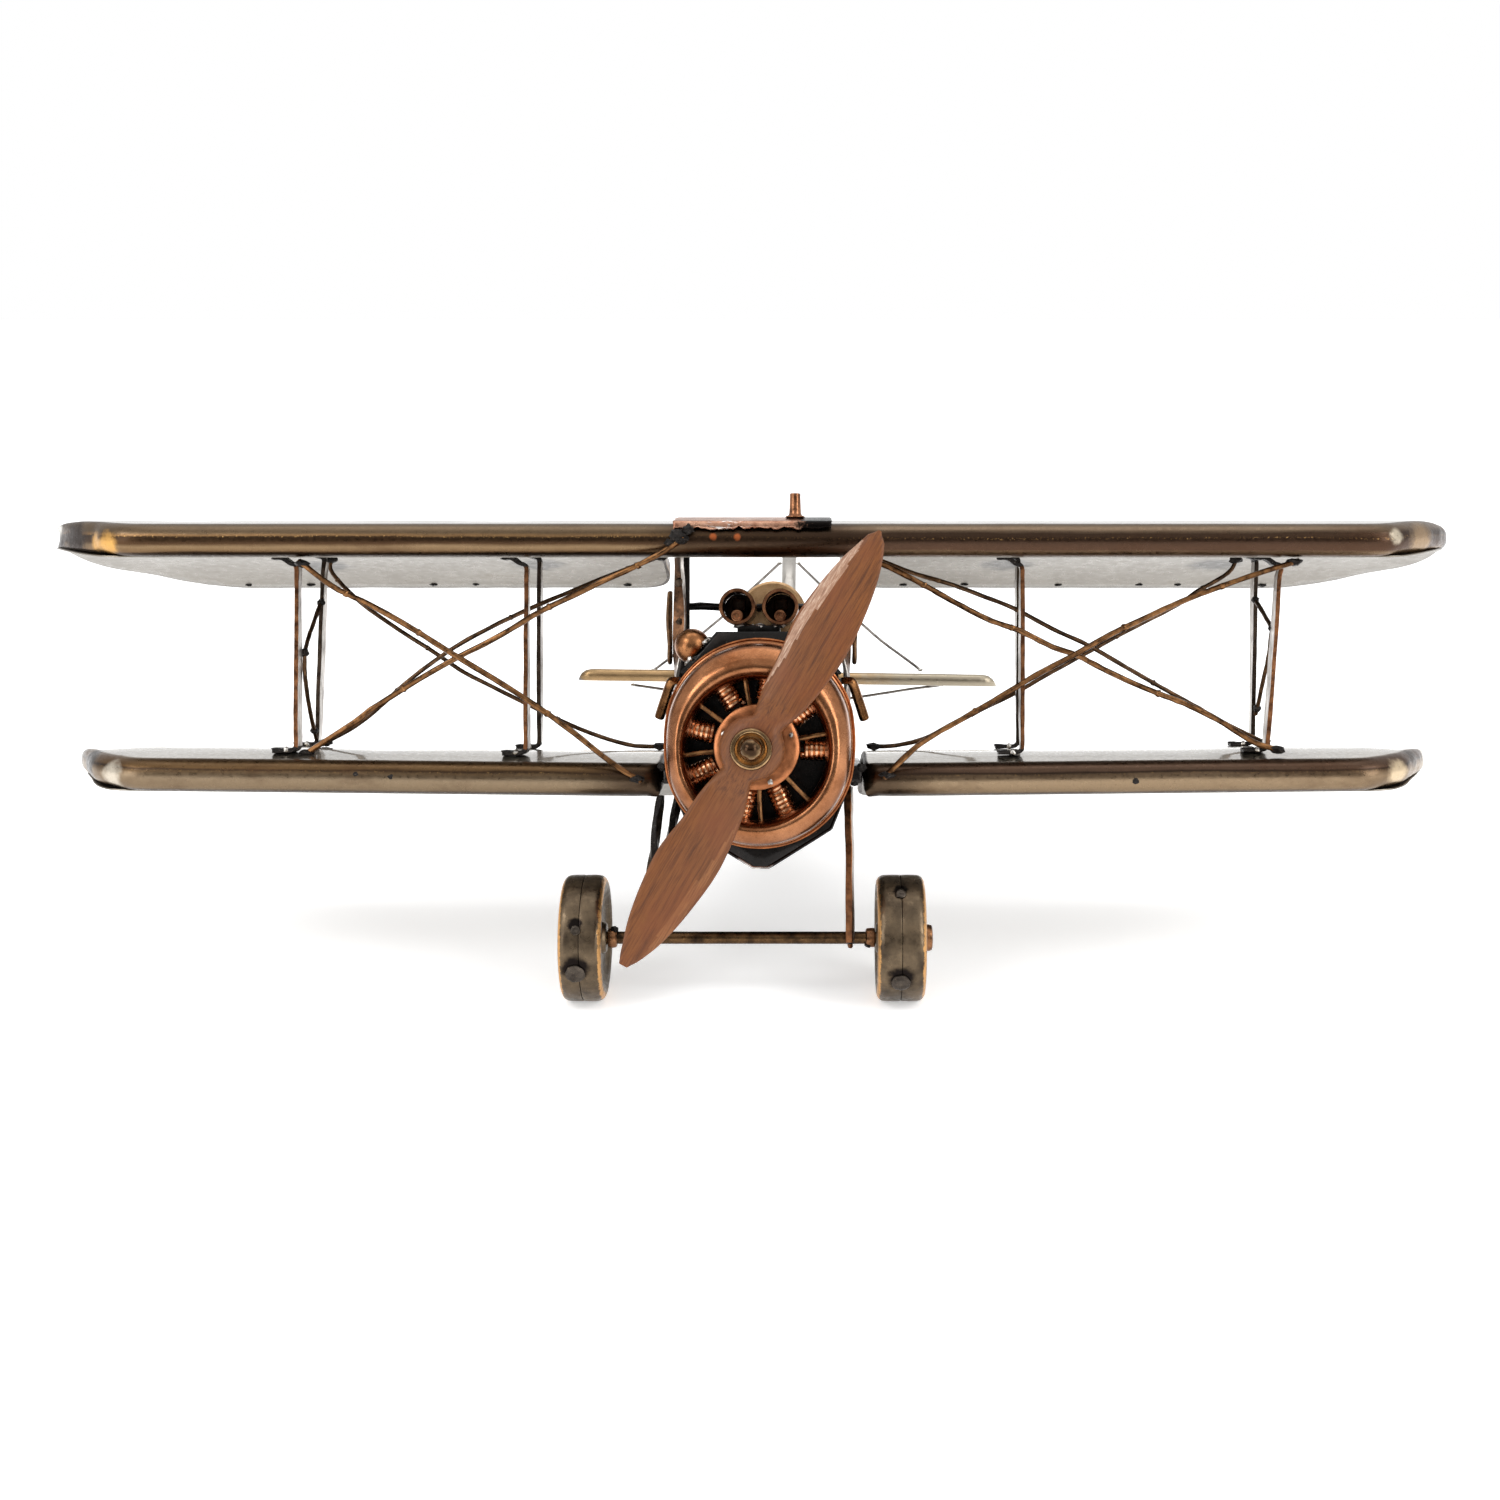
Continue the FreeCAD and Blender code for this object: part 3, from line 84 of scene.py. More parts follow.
class Shape:
    """Points, faces and material numbers of one piece, in level millimetres."""

    def __init__(self):
        self.points, self.faces, self.numbers, self.values = [], [], [], []

    def add(self, points, faces, number=0, values=None):
        base = len(self.points)
        self.points += [Vector(point) for point in points]
        self.values += values or [0.0] * len(points)
        for index, face in enumerate(faces):
            self.faces.append([base + corner for corner in face])
            self.numbers.append(number[index] if isinstance(number, list) else number)
        return self

    def merge(self, other):
        return self.add(other.points, other.faces, list(other.numbers), list(other.values))

    def lump(self, centre, radii, seed, rough, number=1, detail=2):
        return self.merge(blob(centre, radii, seed, rough, number, detail))


def grid_faces(rows, columns, closed_rows=False, closed_columns=True):
    """Quads between the points of a rows by columns grid."""
    faces = []
    for row in range(rows if closed_rows else rows - 1):
        after = (row + 1) % rows
        for column in range(columns if closed_columns else columns - 1):
            beside = (column + 1) % columns
            faces.append((row * columns + column, row * columns + beside,
                          after * columns + beside, after * columns + column))
    return faces


def loft(rings, number=0, closed_rows=False):
    """Skin over rings with equal numbers of points; its ends are capped unless its rows close."""
    columns = len(rings[0])
    points = [point for ring in rings for point in ring]
    faces = grid_faces(len(rings), columns, closed_rows)
    if not closed_rows:
        faces.append(tuple(reversed(range(columns))))
        faces.append(tuple(range(len(points) - columns, len(points))))
    return Shape().add(points, faces, number)


def open_sheet(rows):
    """Single skin through rows of points, for a sheet that is thickened later."""
    points = [point for row in rows for point in row]
    return Shape().add(points, grid_faces(len(rows), len(rows[0]), closed_columns=False))


def spoke(side, up, angle, reach=1.0):
    """Offset at an angle in the plane of two directions."""
    return (side * math.cos(angle) + up * math.sin(angle)) * reach


def circle_angles(count):
    """Angles of a full circle in equal steps."""
    return [2 * math.pi * index / count for index in range(count)]


def squarish(value, power):
    """A cosine or sine raised to a power, keeping its sign; powers below 1 square a circle off."""
    return math.copysign(abs(value) ** power, value)


def axes_for(direction):
    direction = Vector(direction).normalized()
    side = direction.cross(Vector((0, 1, 0)) if abs(direction.y) < 0.8 else Vector((0, 0, 1))).normalized()
    return side, direction.cross(side)


def lathe(profile, centre, axis, segments=48, number=0, closed=False, ripple=0.0, seed=1):
    """Profile of (distance along the axis, radius) turned about the axis."""
    centre, axis = Vector(centre), Vector(axis).normalized()
    side, up = axes_for(axis)
    rings = []
    for along, radius in profile:
        ring = []
        for angle in circle_angles(segments):
            out = spoke(side, up, angle)
            point = centre + axis * along + out * radius
            ring.append(point + out * ripple * wobble(seed, *point, scale=0.35))
        rings.append(ring)
    return loft(rings, number, closed)


def curve_through(points, steps=6):
    """Smooth line through given points."""
    points = [Vector(point) for point in points]
    ends = [2 * points[0] - points[1]] + points + [2 * points[-1] - points[-2]]
    line = []
    for index in range(1, len(ends) - 2):
        a, b, c, d = ends[index - 1:index + 3]
        for step in range(steps):
            t = step / steps
            line.append(0.5 * (2 * b + (c - a) * t + (2 * a - 5 * b + 4 * c - d) * t * t
                               + (3 * b - a - 3 * c + d) * t ** 3))
    return line + [points[-1]]


def tube(line, radius, sides=10, number=0, rough=0.0, seed=1):
    """Round rod along a line of points, with soft ends; rough makes its surface uneven."""
    line = [Vector(point) for point in line]
    side, _ = axes_for(line[1] - line[0])
    rings = []
    for index, point in enumerate(line):
        before, after = line[max(index - 1, 0)], line[min(index + 1, len(line) - 1)]
        tangent = (after - before).normalized()
        side = (side - tangent * side.dot(tangent)).normalized()
        up = tangent.cross(side)
        ring = []
        for angle in circle_angles(sides):
            uneven = 1 + rough * wobble(seed, *(point + 3 * side * math.cos(angle)), scale=0.5)
            ring.append(point + spoke(side, up, angle) * radius * uneven)
        rings.append(ring)
    for end, inner in ((0, 1), (-1, -2)):
        out = (line[end] - line[inner]).normalized()
        tip = [line[end] + out * radius * 0.35 + (point - line[end]) * 0.55 for point in rings[end]]
        rings.insert(0 if end == 0 else len(rings), tip)
    return loft(rings, number)


def blob(centre, radii, seed, rough, number, detail):
    """Lump of solder."""
    mesh = bmesh.new()
    bmesh.ops.create_icosphere(mesh, subdivisions=detail, radius=1.0)
    points = []
    for vertex in mesh.verts:
        coarse = wobble(seed, *(vertex.co * 3), scale=0.6)
        fine = wobble(seed + 5, *(vertex.co * 8), scale=0.6)
        push = 1 + rough * coarse + rough * 0.4 * fine
        points.append(Vector(centre) + Vector([vertex.co[i] * radii[i] * push for i in range(3)]))
    faces = [tuple(vertex.index for vertex in face.verts) for face in mesh.faces]
    mesh.free()
    return Shape().add(points, faces, number)


def circle_centre(first, second, third):
    """Centre of the circle through three points of a plane."""
    (ax, ay), (bx, by), (cx, cy) = first, second, third
    a, b, c = ax ** 2 + ay ** 2, bx ** 2 + by ** 2, cx ** 2 + cy ** 2
    d = 2 * (ax * (by - cy) + bx * (cy - ay) + cx * (ay - by))
    x = (a * (by - cy) + b * (cy - ay) + c * (ay - by)) / d
    return x, (a * (cx - bx) + b * (ax - cx) + c * (bx - ax)) / d


def arc_through(first, second, third):
    """Height as a function of station for the circle through three (station, height) points."""
    ux, uy = circle_centre(first, second, third)
    radius, side = math.hypot(first[0] - ux, first[1] - uy), 1 if second[1] > uy else -1
    return lambda station: uy + side * math.sqrt(max(0.0, radius ** 2 - (station - ux) ** 2))


def plan_arc(start, via, end, steps):
    """Points of the arc in the plan from start through via to end, without its last point."""
    ux, uy = circle_centre(start, via, end)
    radius = math.hypot(start[0] - ux, start[1] - uy)
    first, last = (math.atan2(y - uy, x - ux) for x, y in (start, end))
    (ax, ay), (bx, by), (cx, cy) = start, via, end
    turn = math.copysign(1, (bx - ax) * (cy - ay) - (by - ay) * (cx - ax))
    sweep = (turn * (last - first)) % (2 * math.pi) * turn
    angles = [first + sweep * step / steps for step in range(steps)]
    return [(ux + radius * math.cos(angle), uy + radius * math.sin(angle)) for angle in angles]


def plan_line(start, end, spacing=3.0):
    """Points of a straight line in the plan, without its last point."""
    count = max(1, round(math.dist(start, end) / spacing))
    return [(lerp(start[0], end[0], i / count), lerp(start[1], end[1], i / count)) for i in range(count)]


def inward_normals(outline):
    """Directions into a closed outline at each of its points."""
    count, inward = len(outline), []
    for index in range(count):
        before, after = Vector(outline[index - 1]), Vector(outline[(index + 1) % count])
        along = (after - before).normalized()
        inward.append(Vector((-along.y, along.x)))
    return inward


def closed_loop(first, count):
    """Edges that join a run of numbered points into a ring."""
    return [(first + i, first + (i + 1) % count) for i in range(count)]


def sheet_shell(outline, top, bottom, rim, spacing=3.5, place=Vector, steps=12,
                press=lambda x, y, share: 0.0):
    """Closed shell of sheet metal over a plan. top and bottom give heights at (x, y), rim(x, y) gives the
    depth and squareness of the rolled edge, and press(x, y, share) pinches it. Point values run from 0 at
    the top of the roll to 1 below."""
    count, inward = len(outline), inward_normals(outline)
    rims = [rim(*point) for point in outline]
    shape, rows, values = Shape(), [], []
    for step in range(steps + 1):
        angle = math.pi * (0.5 - step / steps)
        row = []
        for point, normal, (depth, square) in zip(outline, inward, rims):
            inner = Vector(point) + normal * depth
            high, low = top(*inner), bottom(*inner)
            reach = depth * (1 - math.cos(angle) ** square if step not in (0, steps) else 1)
            flat = Vector(point) + normal * (reach + press(*point, step / steps))
            lift = squarish(math.sin(angle), square)
            row.append((flat.x, flat.y, (high + low) / 2 + (high - low) / 2 * lift))
        rows.append(row)
        values += [step / steps] * count
    points = [place(Vector(point)) for row in rows for point in row]
    faces = [tuple(reversed(face)) for face in grid_faces(steps + 1, count)]
    shape.add(points, faces, 0, values)
    edge = [Vector(point[:2]) for point in rows[0]]
    xs, ys = [p.x for p in edge], [p.y for p in edge]
    inside = []
    for i in range(int((max(xs) - min(xs)) / spacing) + 1):
        for j in range(int((max(ys) - min(ys)) / spacing) + 1):
            spot = Vector((min(xs) + (i + 0.5 * (j % 2)) * spacing, min(ys) + (j + 0.5) * spacing))
            if is_inside(spot, edge, spacing * 0.55):
                inside.append(spot)
    spots, _, triangles, origins, *_ = geometry.delaunay_2d_cdt(
        edge + inside, closed_loop(0, count), [], 1, 1e-6)
    for level, row, value in ((top, rows[0], 0.0), (bottom, rows[-1], 1.0)):
        skin = []
        for index, spot in enumerate(spots):
            source = min(origins[index], default=count)
            point = row[source] if source < count else (spot.x, spot.y, level(spot.x, spot.y))
            skin.append(place(Vector(point)))
        faces = [tuple(reversed(face)) if value else tuple(face) for face in triangles]
        shape.add(skin, faces, 0, [value] * len(skin))
    return shape


def is_inside(spot, loop, margin):
    """Whether a spot lies in the loop and at least a margin away from its edges."""
    inside = False
    for index in range(len(loop)):
        a, b = loop[index - 1], loop[index]
        if (a.y > spot.y) != (b.y > spot.y) and spot.x < (b.x - a.x) * (spot.y - a.y) / (b.y - a.y) + a.x:
            inside = not inside
        along = b - a
        share = min(1.0, max(0.0, (spot - a).dot(along) / max(along.length_squared, 1e-9)))
        if (a + along * share - spot).length < margin:
            return False
    return inside


def clean_mesh(name, shape, finishes=""):
    """Mesh of a shape in the stance, with its points joined and its faces outward."""
    mesh = bpy.data.meshes.new(name)
    mesh.from_pydata([STANCE @ point for point in shape.points], [], shape.faces)
    mesh.attributes.new("roll", "FLOAT", "POINT").data.foreach_set("value", shape.values)
    for finish in finishes.split():
        mesh.materials.append(FINISHES[finish])
    mesh.polygons.foreach_set("material_index", shape.numbers)
    work = bmesh.new()
    work.from_mesh(mesh)
    bmesh.ops.remove_doubles(work, verts=work.verts, dist=1e-6)
    bmesh.ops.recalc_face_normals(work, faces=work.faces)
    work.to_mesh(mesh)
    work.free()
    return mesh


def place_in_scene(name, data):
    thing = bpy.data.objects.new(name, data)
    bpy.context.scene.collection.objects.link(thing)
    return thing


def build(name, shape, finishes, node, body="airframe", sharp=35):
    """Makes the piece that takes the place of a CAD node and ties it to its body."""
    mesh = clean_mesh(name, shape, finishes)
    mesh.validate()
    mesh.shade_smooth()
    mesh.set_sharp_from_angle(angle=math.radians(sharp))
    thing = place_in_scene(name, mesh)
    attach(thing, body)
    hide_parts(node)
    return thing


# ---------------------------------------------------------------- materials


def tone(red, green, blue, share=1.0):
    """Scene colour of a display colour, dimmed to a share of it."""
    return tuple(share * (((part / 255 + 0.055) / 1.055) ** 2.4 if part > 10 else part / 255 / 12.92)
                 for part in (red, green, blue))


class Finish:
    """Builds one procedural material; every texture is placed in level millimetres, and colours are given as
    display colours."""

    def __init__(self, name, turn=0.0):
        self.material = bpy.data.materials.new(name)
        self.material.use_nodes = True
        self.tree = self.material.node_tree
        self.shader = self.tree.nodes["Principled BSDF"]
        coordinates = self.add("ShaderNodeTexCoord")
        mapping = self.add("ShaderNodeMapping")
        self.join(coordinates.outputs["Object"], mapping.inputs["Vector"])
        mapping.inputs["Scale"].default_value = (1 / MM,) * 3
        mapping.inputs["Rotation"].default_value = (LEAN, 0, 0)
        mapping.inputs["Location"].default_value = LEVEL.translation
        self.place = mapping.outputs["Vector"]
        if turn:
            self.place = self.scaled((1, 1, 1), turn)

    def add(self, kind, **settings):
        node = self.tree.nodes.new(kind)
        for name, value in settings.items():
            setattr(node, name, value)
        return node

    def join(self, output, socket):
        self.tree.links.new(output, socket)

    def feed(self, socket, value):
        if isinstance(value, bpy.types.NodeSocket):
            self.join(value, socket)
        elif isinstance(value, tuple) and socket.type == "RGBA":
            socket.default_value = (*tone(*value), 1.0)
        else:
            socket.default_value = value

    def scaled(self, scale, turn=0.0):
        mapping = self.add("ShaderNodeMapping")
        self.join(self.place, mapping.inputs["Vector"])
        mapping.inputs["Scale"].default_value = scale
        mapping.inputs["Rotation"].default_value = (0, turn, 0)
        return mapping.outputs["Vector"]

    def noise(self, scale, detail=4.0, roughness=0.6, stretch=None, distortion=0.0):
        node = self.add("ShaderNodeTexNoise")
        self.join(self.scaled(stretch) if stretch else self.place, node.inputs["Vector"])
        node.inputs["Scale"].default_value = scale
        node.inputs["Detail"].default_value = detail
        node.inputs["Roughness"].default_value = roughness
        node.inputs["Distortion"].default_value = distortion
        return node.outputs["Fac"]

    def math(self, operation, a, b=0.0):
        node = self.add("ShaderNodeMath", operation=operation)
        self.feed(node.inputs[0], a)
        self.feed(node.inputs[1], b)
        return node.outputs[0]

    def between(self, value, low, high, to_low=0.0, to_high=1.0):
        node = self.add("ShaderNodeMapRange", interpolation_type="SMOOTHSTEP")
        for socket, number in zip(node.inputs[:5], (value, low, high, to_low, to_high)):
            self.feed(socket, number)
        return node.outputs[0]

    def ramp(self, value, stops):
        node = self.add("ShaderNodeValToRGB")
        self.feed(node.inputs[0], value)
        elements = node.color_ramp.elements
        while len(elements) < len(stops):
            elements.new(0.5)
        for element, (position, colour) in zip(elements, stops):
            element.position = position
            element.color = (*tone(*colour), 1.0)
        return node.outputs[0]

    def mix(self, factor, a, b):
        node = self.add("ShaderNodeMix", data_type="RGBA")
        self.feed(node.inputs[0], factor)
        self.feed(node.inputs[6], a)
        self.feed(node.inputs[7], b)
        return node.outputs[2]

    def spot(self, centre, radius, soft=0.5, uneven=0.0):
        """1 at a place on the object, fading to 0 at the radius."""
        node = self.add("ShaderNodeVectorMath", operation="DISTANCE")
        self.join(self.place, node.inputs[0])
        node.inputs[1].default_value = centre
        distance = node.outputs["Value"]
        if uneven:
            shift = self.math("SUBTRACT", self.noise(0.35), 0.5)
            distance = self.math("ADD", distance, self.math("MULTIPLY", shift, 2 * uneven))
        return self.between(distance, radius, radius * (1 - soft))

    def spots(self, centres, radius, soft, uneven):
        total = self.spot(centres[0], radius, soft, uneven)
        for centre in centres[1:]:
            total = self.math("MAXIMUM", total, self.spot(centre, radius, soft, uneven))
        return total

    def marked(self, colour, marks, soft, uneven):
        """Lays marks of (centre, radius, shade) over a colour; uneven is a share of each radius."""
        for centre, radius, shade in marks:
            colour = self.mix(self.spot(centre, radius, soft, radius * uneven), colour, shade)
        return colour

    def across_and_up(self):
        """Places across the span and above the thrust line."""
        separate = self.add("ShaderNodeSeparateXYZ")
        self.join(self.place, separate.inputs[0])
        return separate.outputs["X"], separate.outputs["Z"]

    def roll(self):
        """Place on a rolled edge, or a wheel's gold of wear and painted highlight, as written into the
        points.
        """
        return self.add("ShaderNodeAttribute", attribute_name="roll").outputs["Fac"]

    def swing(self, noise, reach):
        """Noise moved to run evenly either side of zero."""
        return self.math("MULTIPLY", self.math("SUBTRACT", noise, 0.5), reach)

    def plus(self, a, b, share):
        """a with a share of b added."""
        return self.math("ADD", a, self.math("MULTIPLY", b, share))

    def bump(self, height, distance):
        node = self.add("ShaderNodeBump")
        node.inputs["Strength"].default_value = 1.0
        node.inputs["Distance"].default_value = distance * MM
        self.join(height, node.inputs["Height"])
        self.join(node.outputs["Normal"], self.shader.inputs["Normal"])

    def set(self, colour, roughness, metallic=1.0, coat=0.0, coat_roughness=0.1):
        self.feed(self.shader.inputs["Base Color"], colour)
        self.feed(self.shader.inputs["Roughness"], roughness)
        self.feed(self.shader.inputs["Metallic"], metallic)
        self.feed(self.shader.inputs["Coat Weight"], coat)
        self.shader.inputs["Coat Roughness"].default_value = coat_roughness
        return self.material


def worn_metal(name, light, dark, roughness, scale, fleck, bump=0.05, marks=()):
    """Satin metal with cloudy tone, fine grain, flecks, marks and a slightly uneven surface."""
    finish = Finish(name)
    clouds = finish.noise(scale, 5)
    grain = finish.noise(4.0, 2)
    colour = finish.ramp(clouds, [(0.3, dark), (0.65, light)])
    colour = finish.mix(finish.between(grain, 0.35, 0.75, 0.0, 0.35), colour, (*dark, 0.55))
    colour = finish.mix(finish.between(finish.noise(1.3, 6, 0.75), 0.62, 0.7), colour, fleck)
    colour = finish.marked(colour, marks, 0.6, 0.3)
    rough = finish.between(finish.noise(0.5, 4), 0.3, 0.7, roughness * 0.8, roughness * 1.3)
    finish.bump(finish.plus(finish.noise(0.45, 4), grain, 0.25), bump)
    return finish.set(colour, rough)


def wing_bronze(name, left, right, lines, middle, marks, sparkle):
    """Bronze sheet whose rolled edge carries bands of painted reflection; stops run from the top of the roll
    to its underside, and the bands of the left half pass over into those of the right half. A thin line of
    painted glints follows the roll at the places in lines, left and right, and the roll is darker between the
    distances in middle."""
    finish = Finish(name)
    uneven = finish.swing(finish.noise(0.25, 3, stretch=(0.12, 1, 1)), 0.12)
    around = finish.math("ADD", finish.roll(), uneven)
    x, _ = finish.across_and_up()
    share = finish.between(x, -26, 30)
    # The ramps round the roll paint the studio's reflections in the curved edge as light and dark bands.
    colour = finish.mix(share, finish.ramp(around, left), finish.ramp(around, right))
    edge_line = finish.between(x, -30, 30, lines[0], lines[1])
    line = finish.math("ABSOLUTE", finish.math("SUBTRACT", around, edge_line))
    near_line = finish.between(line, 0.03, 0.005)
    glints = finish.math("MULTIPLY", near_line, finish.between(finish.noise(1.6, 4, 0.8), 0.55, 0.66, 0.0,
                                                               sparkle))
    colour = finish.mix(glints, colour, (186, 146, 92))
    speckle = finish.between(finish.noise(3.5, 3, 0.7), 0.55, 0.75, 0.0, 0.5)
    colour = finish.mix(speckle, colour, (44, 34, 26))
    stain = finish.between(finish.noise(0.06, 4, 0.7, stretch=(0.6, 1, 1)), 0.5, 0.72, 0.0, 0.4)
    colour = finish.mix(stain, colour, (66, 44, 30))
    from_middle = finish.math("ABSOLUTE", finish.math("SUBTRACT", x, 2.0))
    rolled = finish.between(around, 0.02, 0.10)
    dark = finish.math("MULTIPLY", finish.between(from_middle, middle[1], middle[0], 0.0, 0.8), rolled)
    colour = finish.mix(dark, colour, (52, 38, 28))
    specks = finish.math("MULTIPLY", finish.between(finish.noise(1.0, 6, 0.85), 0.64, 0.70),
                         finish.between(around, 0.10, 0.0))
    colour = finish.mix(specks, colour, (70, 58, 48))
    colour = finish.marked(colour, marks, 0.6, 0.4)
    rough = finish.between(finish.noise(0.8, 4), 0.3, 0.7, 0.26, 0.42)
    finish.bump(finish.plus(finish.noise(0.3, 4, stretch=(0.4, 1, 1)), finish.noise(5.0, 2), 0.12), 0.10)
    return finish.set(colour, rough, 1.0, finish.between(around, 0.10, 0.03, 0.05, 1.0), 0.06)


def blackened(name, light, dark, roughness, coat, worn=()):
    """Black sheet: gloss lacquer over metal, scuffed in places."""
    finish = Finish(name)
    clouds = finish.noise(0.10, 5, 0.65)
    colour = finish.ramp(clouds, [(0.35, dark), (0.72, light)])
    scuffs = finish.between(finish.noise(0.8, 7, 0.8, stretch=(1, 0.25, 1)), 0.63, 0.68, 0.0, 0.6)
    colour = finish.mix(scuffs, colour, (104, 92, 82))
    colour = finish.marked(colour, worn, 0.7, 0.8)
    rough = finish.between(finish.noise(0.5, 5), 0.35, 0.7, roughness * 0.7, roughness * 1.9)
    finish.bump(finish.plus(finish.noise(0.12, 4), finish.noise(2.0, 3), 0.15), 0.25)
    return finish.set(colour, rough, 0.85, coat, 0.12)


def burnt_black():
    """Scorched, lumpy metal at the soldered ends."""
    finish = Finish("burnt_black")
    lumps = finish.noise(1.4, 6, 0.75)
    colour = finish.ramp(lumps, [(0.35, (10, 9, 9)), (0.6, (38, 33, 30)), (0.75, (120, 112, 104))])
    finish.bump(lumps, 0.35)
    return finish.set(colour, finish.between(finish.noise(1.0, 4), 0.3, 0.7, 0.25, 0.6), 0.7)


def solder_metal():
    """Bright lumpy solder."""
    finish = Finish("solder")
    lumps = finish.noise(0.9, 5, 0.6)
    colour = finish.ramp(lumps, [(0.3, (105, 100, 95)), (0.65, (225, 222, 216))])
    finish.bump(lumps, 0.15)
    return finish.set(colour, 0.28)


def underside_sheet():
    """Pale bare sheet with dark specks and soft stains."""
    finish = Finish("underside_sheet")
    clouds = finish.noise(0.05, 5, 0.6)
    colour = finish.ramp(clouds, [(0.3, (116, 109, 99)), (0.6, (128, 122, 113)), (0.8, (118, 109, 96))])
    specks = finish.between(finish.noise(1.1, 7, 0.85), 0.64, 0.69)
    colour = finish.mix(specks, colour, (50, 44, 40))
    reflections = finish.spots([(-130, 62, 54), (-66, 60, 54), (74, 60, 54), (136, 60, 54)], 10, 0.5, 4)
    colour = finish.mix(finish.math("MULTIPLY", reflections, 0.75), colour, (28, 26, 25))
    finish.bump(finish.noise(0.12, 3), 0.10)
    return finish.set(colour, finish.between(finish.noise(0.4, 4), 0.3, 0.7, 0.26, 0.36))


def panel_copper():
    """Pinkish copper, silvery scuffs on the left and scorching on the right and along the front."""
    finish = Finish("panel_copper")
    colour = finish.ramp(finish.noise(0.3, 5), [(0.3, (138, 94, 74)), (0.65, (190, 148, 124))])
    scuffs = finish.math("MULTIPLY", finish.between(finish.noise(0.9, 6, 0.8, stretch=(0.3, 1, 1)), 0.5, 0.6),
                         finish.spots([(-7, 0, 58), (-2, 6, 60)], 7, 0.6, 3))
    colour = finish.mix(scuffs, colour, (222, 218, 214))
    x, z = finish.across_and_up()
    uneven = finish.swing(finish.noise(0.5, 6, 0.75), 14.0)
    charred = finish.between(finish.math("ADD", x, uneven), 11.0, 14.5)
    colour = finish.mix(charred, colour, (20, 17, 16))
    lower = finish.between(finish.plus(z, uneven, 0.09), 57.5, 57.1)
    colour = finish.mix(lower, colour, (24, 19, 17))
    finish.bump(finish.noise(0.7, 5), 0.18)
    return finish.set(colour, finish.between(finish.noise(0.8, 4), 0.3, 0.7, 0.22, 0.42))


def carved_wood(name, light, dark):
    """Long-grained oiled wood; the grain runs along the blades."""
    finish = Finish(name, turn=BLADE_TURN)
    grain = finish.noise(0.9, 8, 0.7, stretch=(0.05, 0.6, 1.0), distortion=0.4)
    fine = finish.noise(3.0, 6, 0.75, stretch=(0.035, 0.5, 1.0))
    colour = finish.ramp(grain, [(0.32, dark), (0.5, light), (0.68, dark)])
    colour = finish.mix(finish.between(fine, 0.45, 0.62, 0.0, 0.5), colour, (58, 32, 20))
    blush = finish.between(finish.noise(0.06, 3), 0.45, 0.65, 0.0, 0.5)
    colour = finish.mix(blush, colour, (106, 58, 32))
    finish.shader.inputs["Specular IOR Level"].default_value = 0.2
    rust = finish.between(finish.noise(2.2, 6, 0.8), 0.64, 0.70, 0.0, 0.7)
    colour = finish.mix(rust, colour, (84, 42, 26))
    finish.bump(finish.plus(grain, fine, 0.6), 0.10)
    return finish.set(colour, finish.between(fine, 0.3, 0.7, 0.42, 0.62), 0.0, 0.12, 0.3)


def scraped_wood():
    """Pale scraped bevel with flecks."""
    finish = Finish("scraped_wood", turn=BLADE_TURN)
    fine = finish.noise(2.2, 7, 0.8, stretch=(0.10, 0.8, 1.0))
    colour = finish.ramp(fine, [(0.35, (104, 66, 44)), (0.52, (146, 108, 82)), (0.66, (194, 172, 152))])
    finish.bump(fine, 0.08)
    return finish.set(colour, 0.5, 0.0, 0.15, 0.3)


def wheel_metal(name, halos):
    """Dark bronzed steel, gold at the corners from wear and a painted highlight, and burnt round the weld
    plugs.
    """
    finish = Finish(name)
    clouds = finish.noise(0.12, 6, 0.65)
    colour = finish.ramp(clouds, [(0.3, (60, 51, 42)), (0.55, (98, 84, 67)), (0.75, (120, 102, 80))])
    streaks = finish.between(finish.noise(1.2, 6, 0.8, stretch=(0.5, 1, 1)), 0.56, 0.70, 0.0, 0.55)
    colour = finish.mix(streaks, colour, (58, 46, 38))
    # Gold at the rim corners, partly wear and partly a painted highlight on the rounded edge.
    worn = finish.between(finish.plus(finish.roll(), finish.noise(0.5, 6, 0.75), 0.5), 1.14, 1.24)
    colour = finish.mix(worn, colour, (196, 148, 92))
    for centre, radius in halos:
        colour = finish.mix(finish.spot(centre, radius, 0.45, 1.6), colour, (24, 19, 17))
    rough = finish.between(finish.noise(0.7, 5), 0.3, 0.7, 0.26, 0.48)
    finish.bump(finish.plus(finish.noise(0.18, 5), finish.noise(3.0, 3), 0.15), 0.16)
    return finish.set(colour, rough, 0.95)


def strut_strip():
    """Pale grey side of the strips, smeared with brown."""
    finish = Finish("strut_side")
    smear = finish.noise(0.35, 6, 0.7, stretch=(1, 1, 0.35))
    colour = finish.ramp(smear, [(0.3, (84, 74, 66)), (0.48, (176, 170, 164)), (0.7, (232, 229, 225))])
    finish.bump(finish.noise(0.6, 5), 0.2)
    return finish.set(colour, 0.34, 0.85)
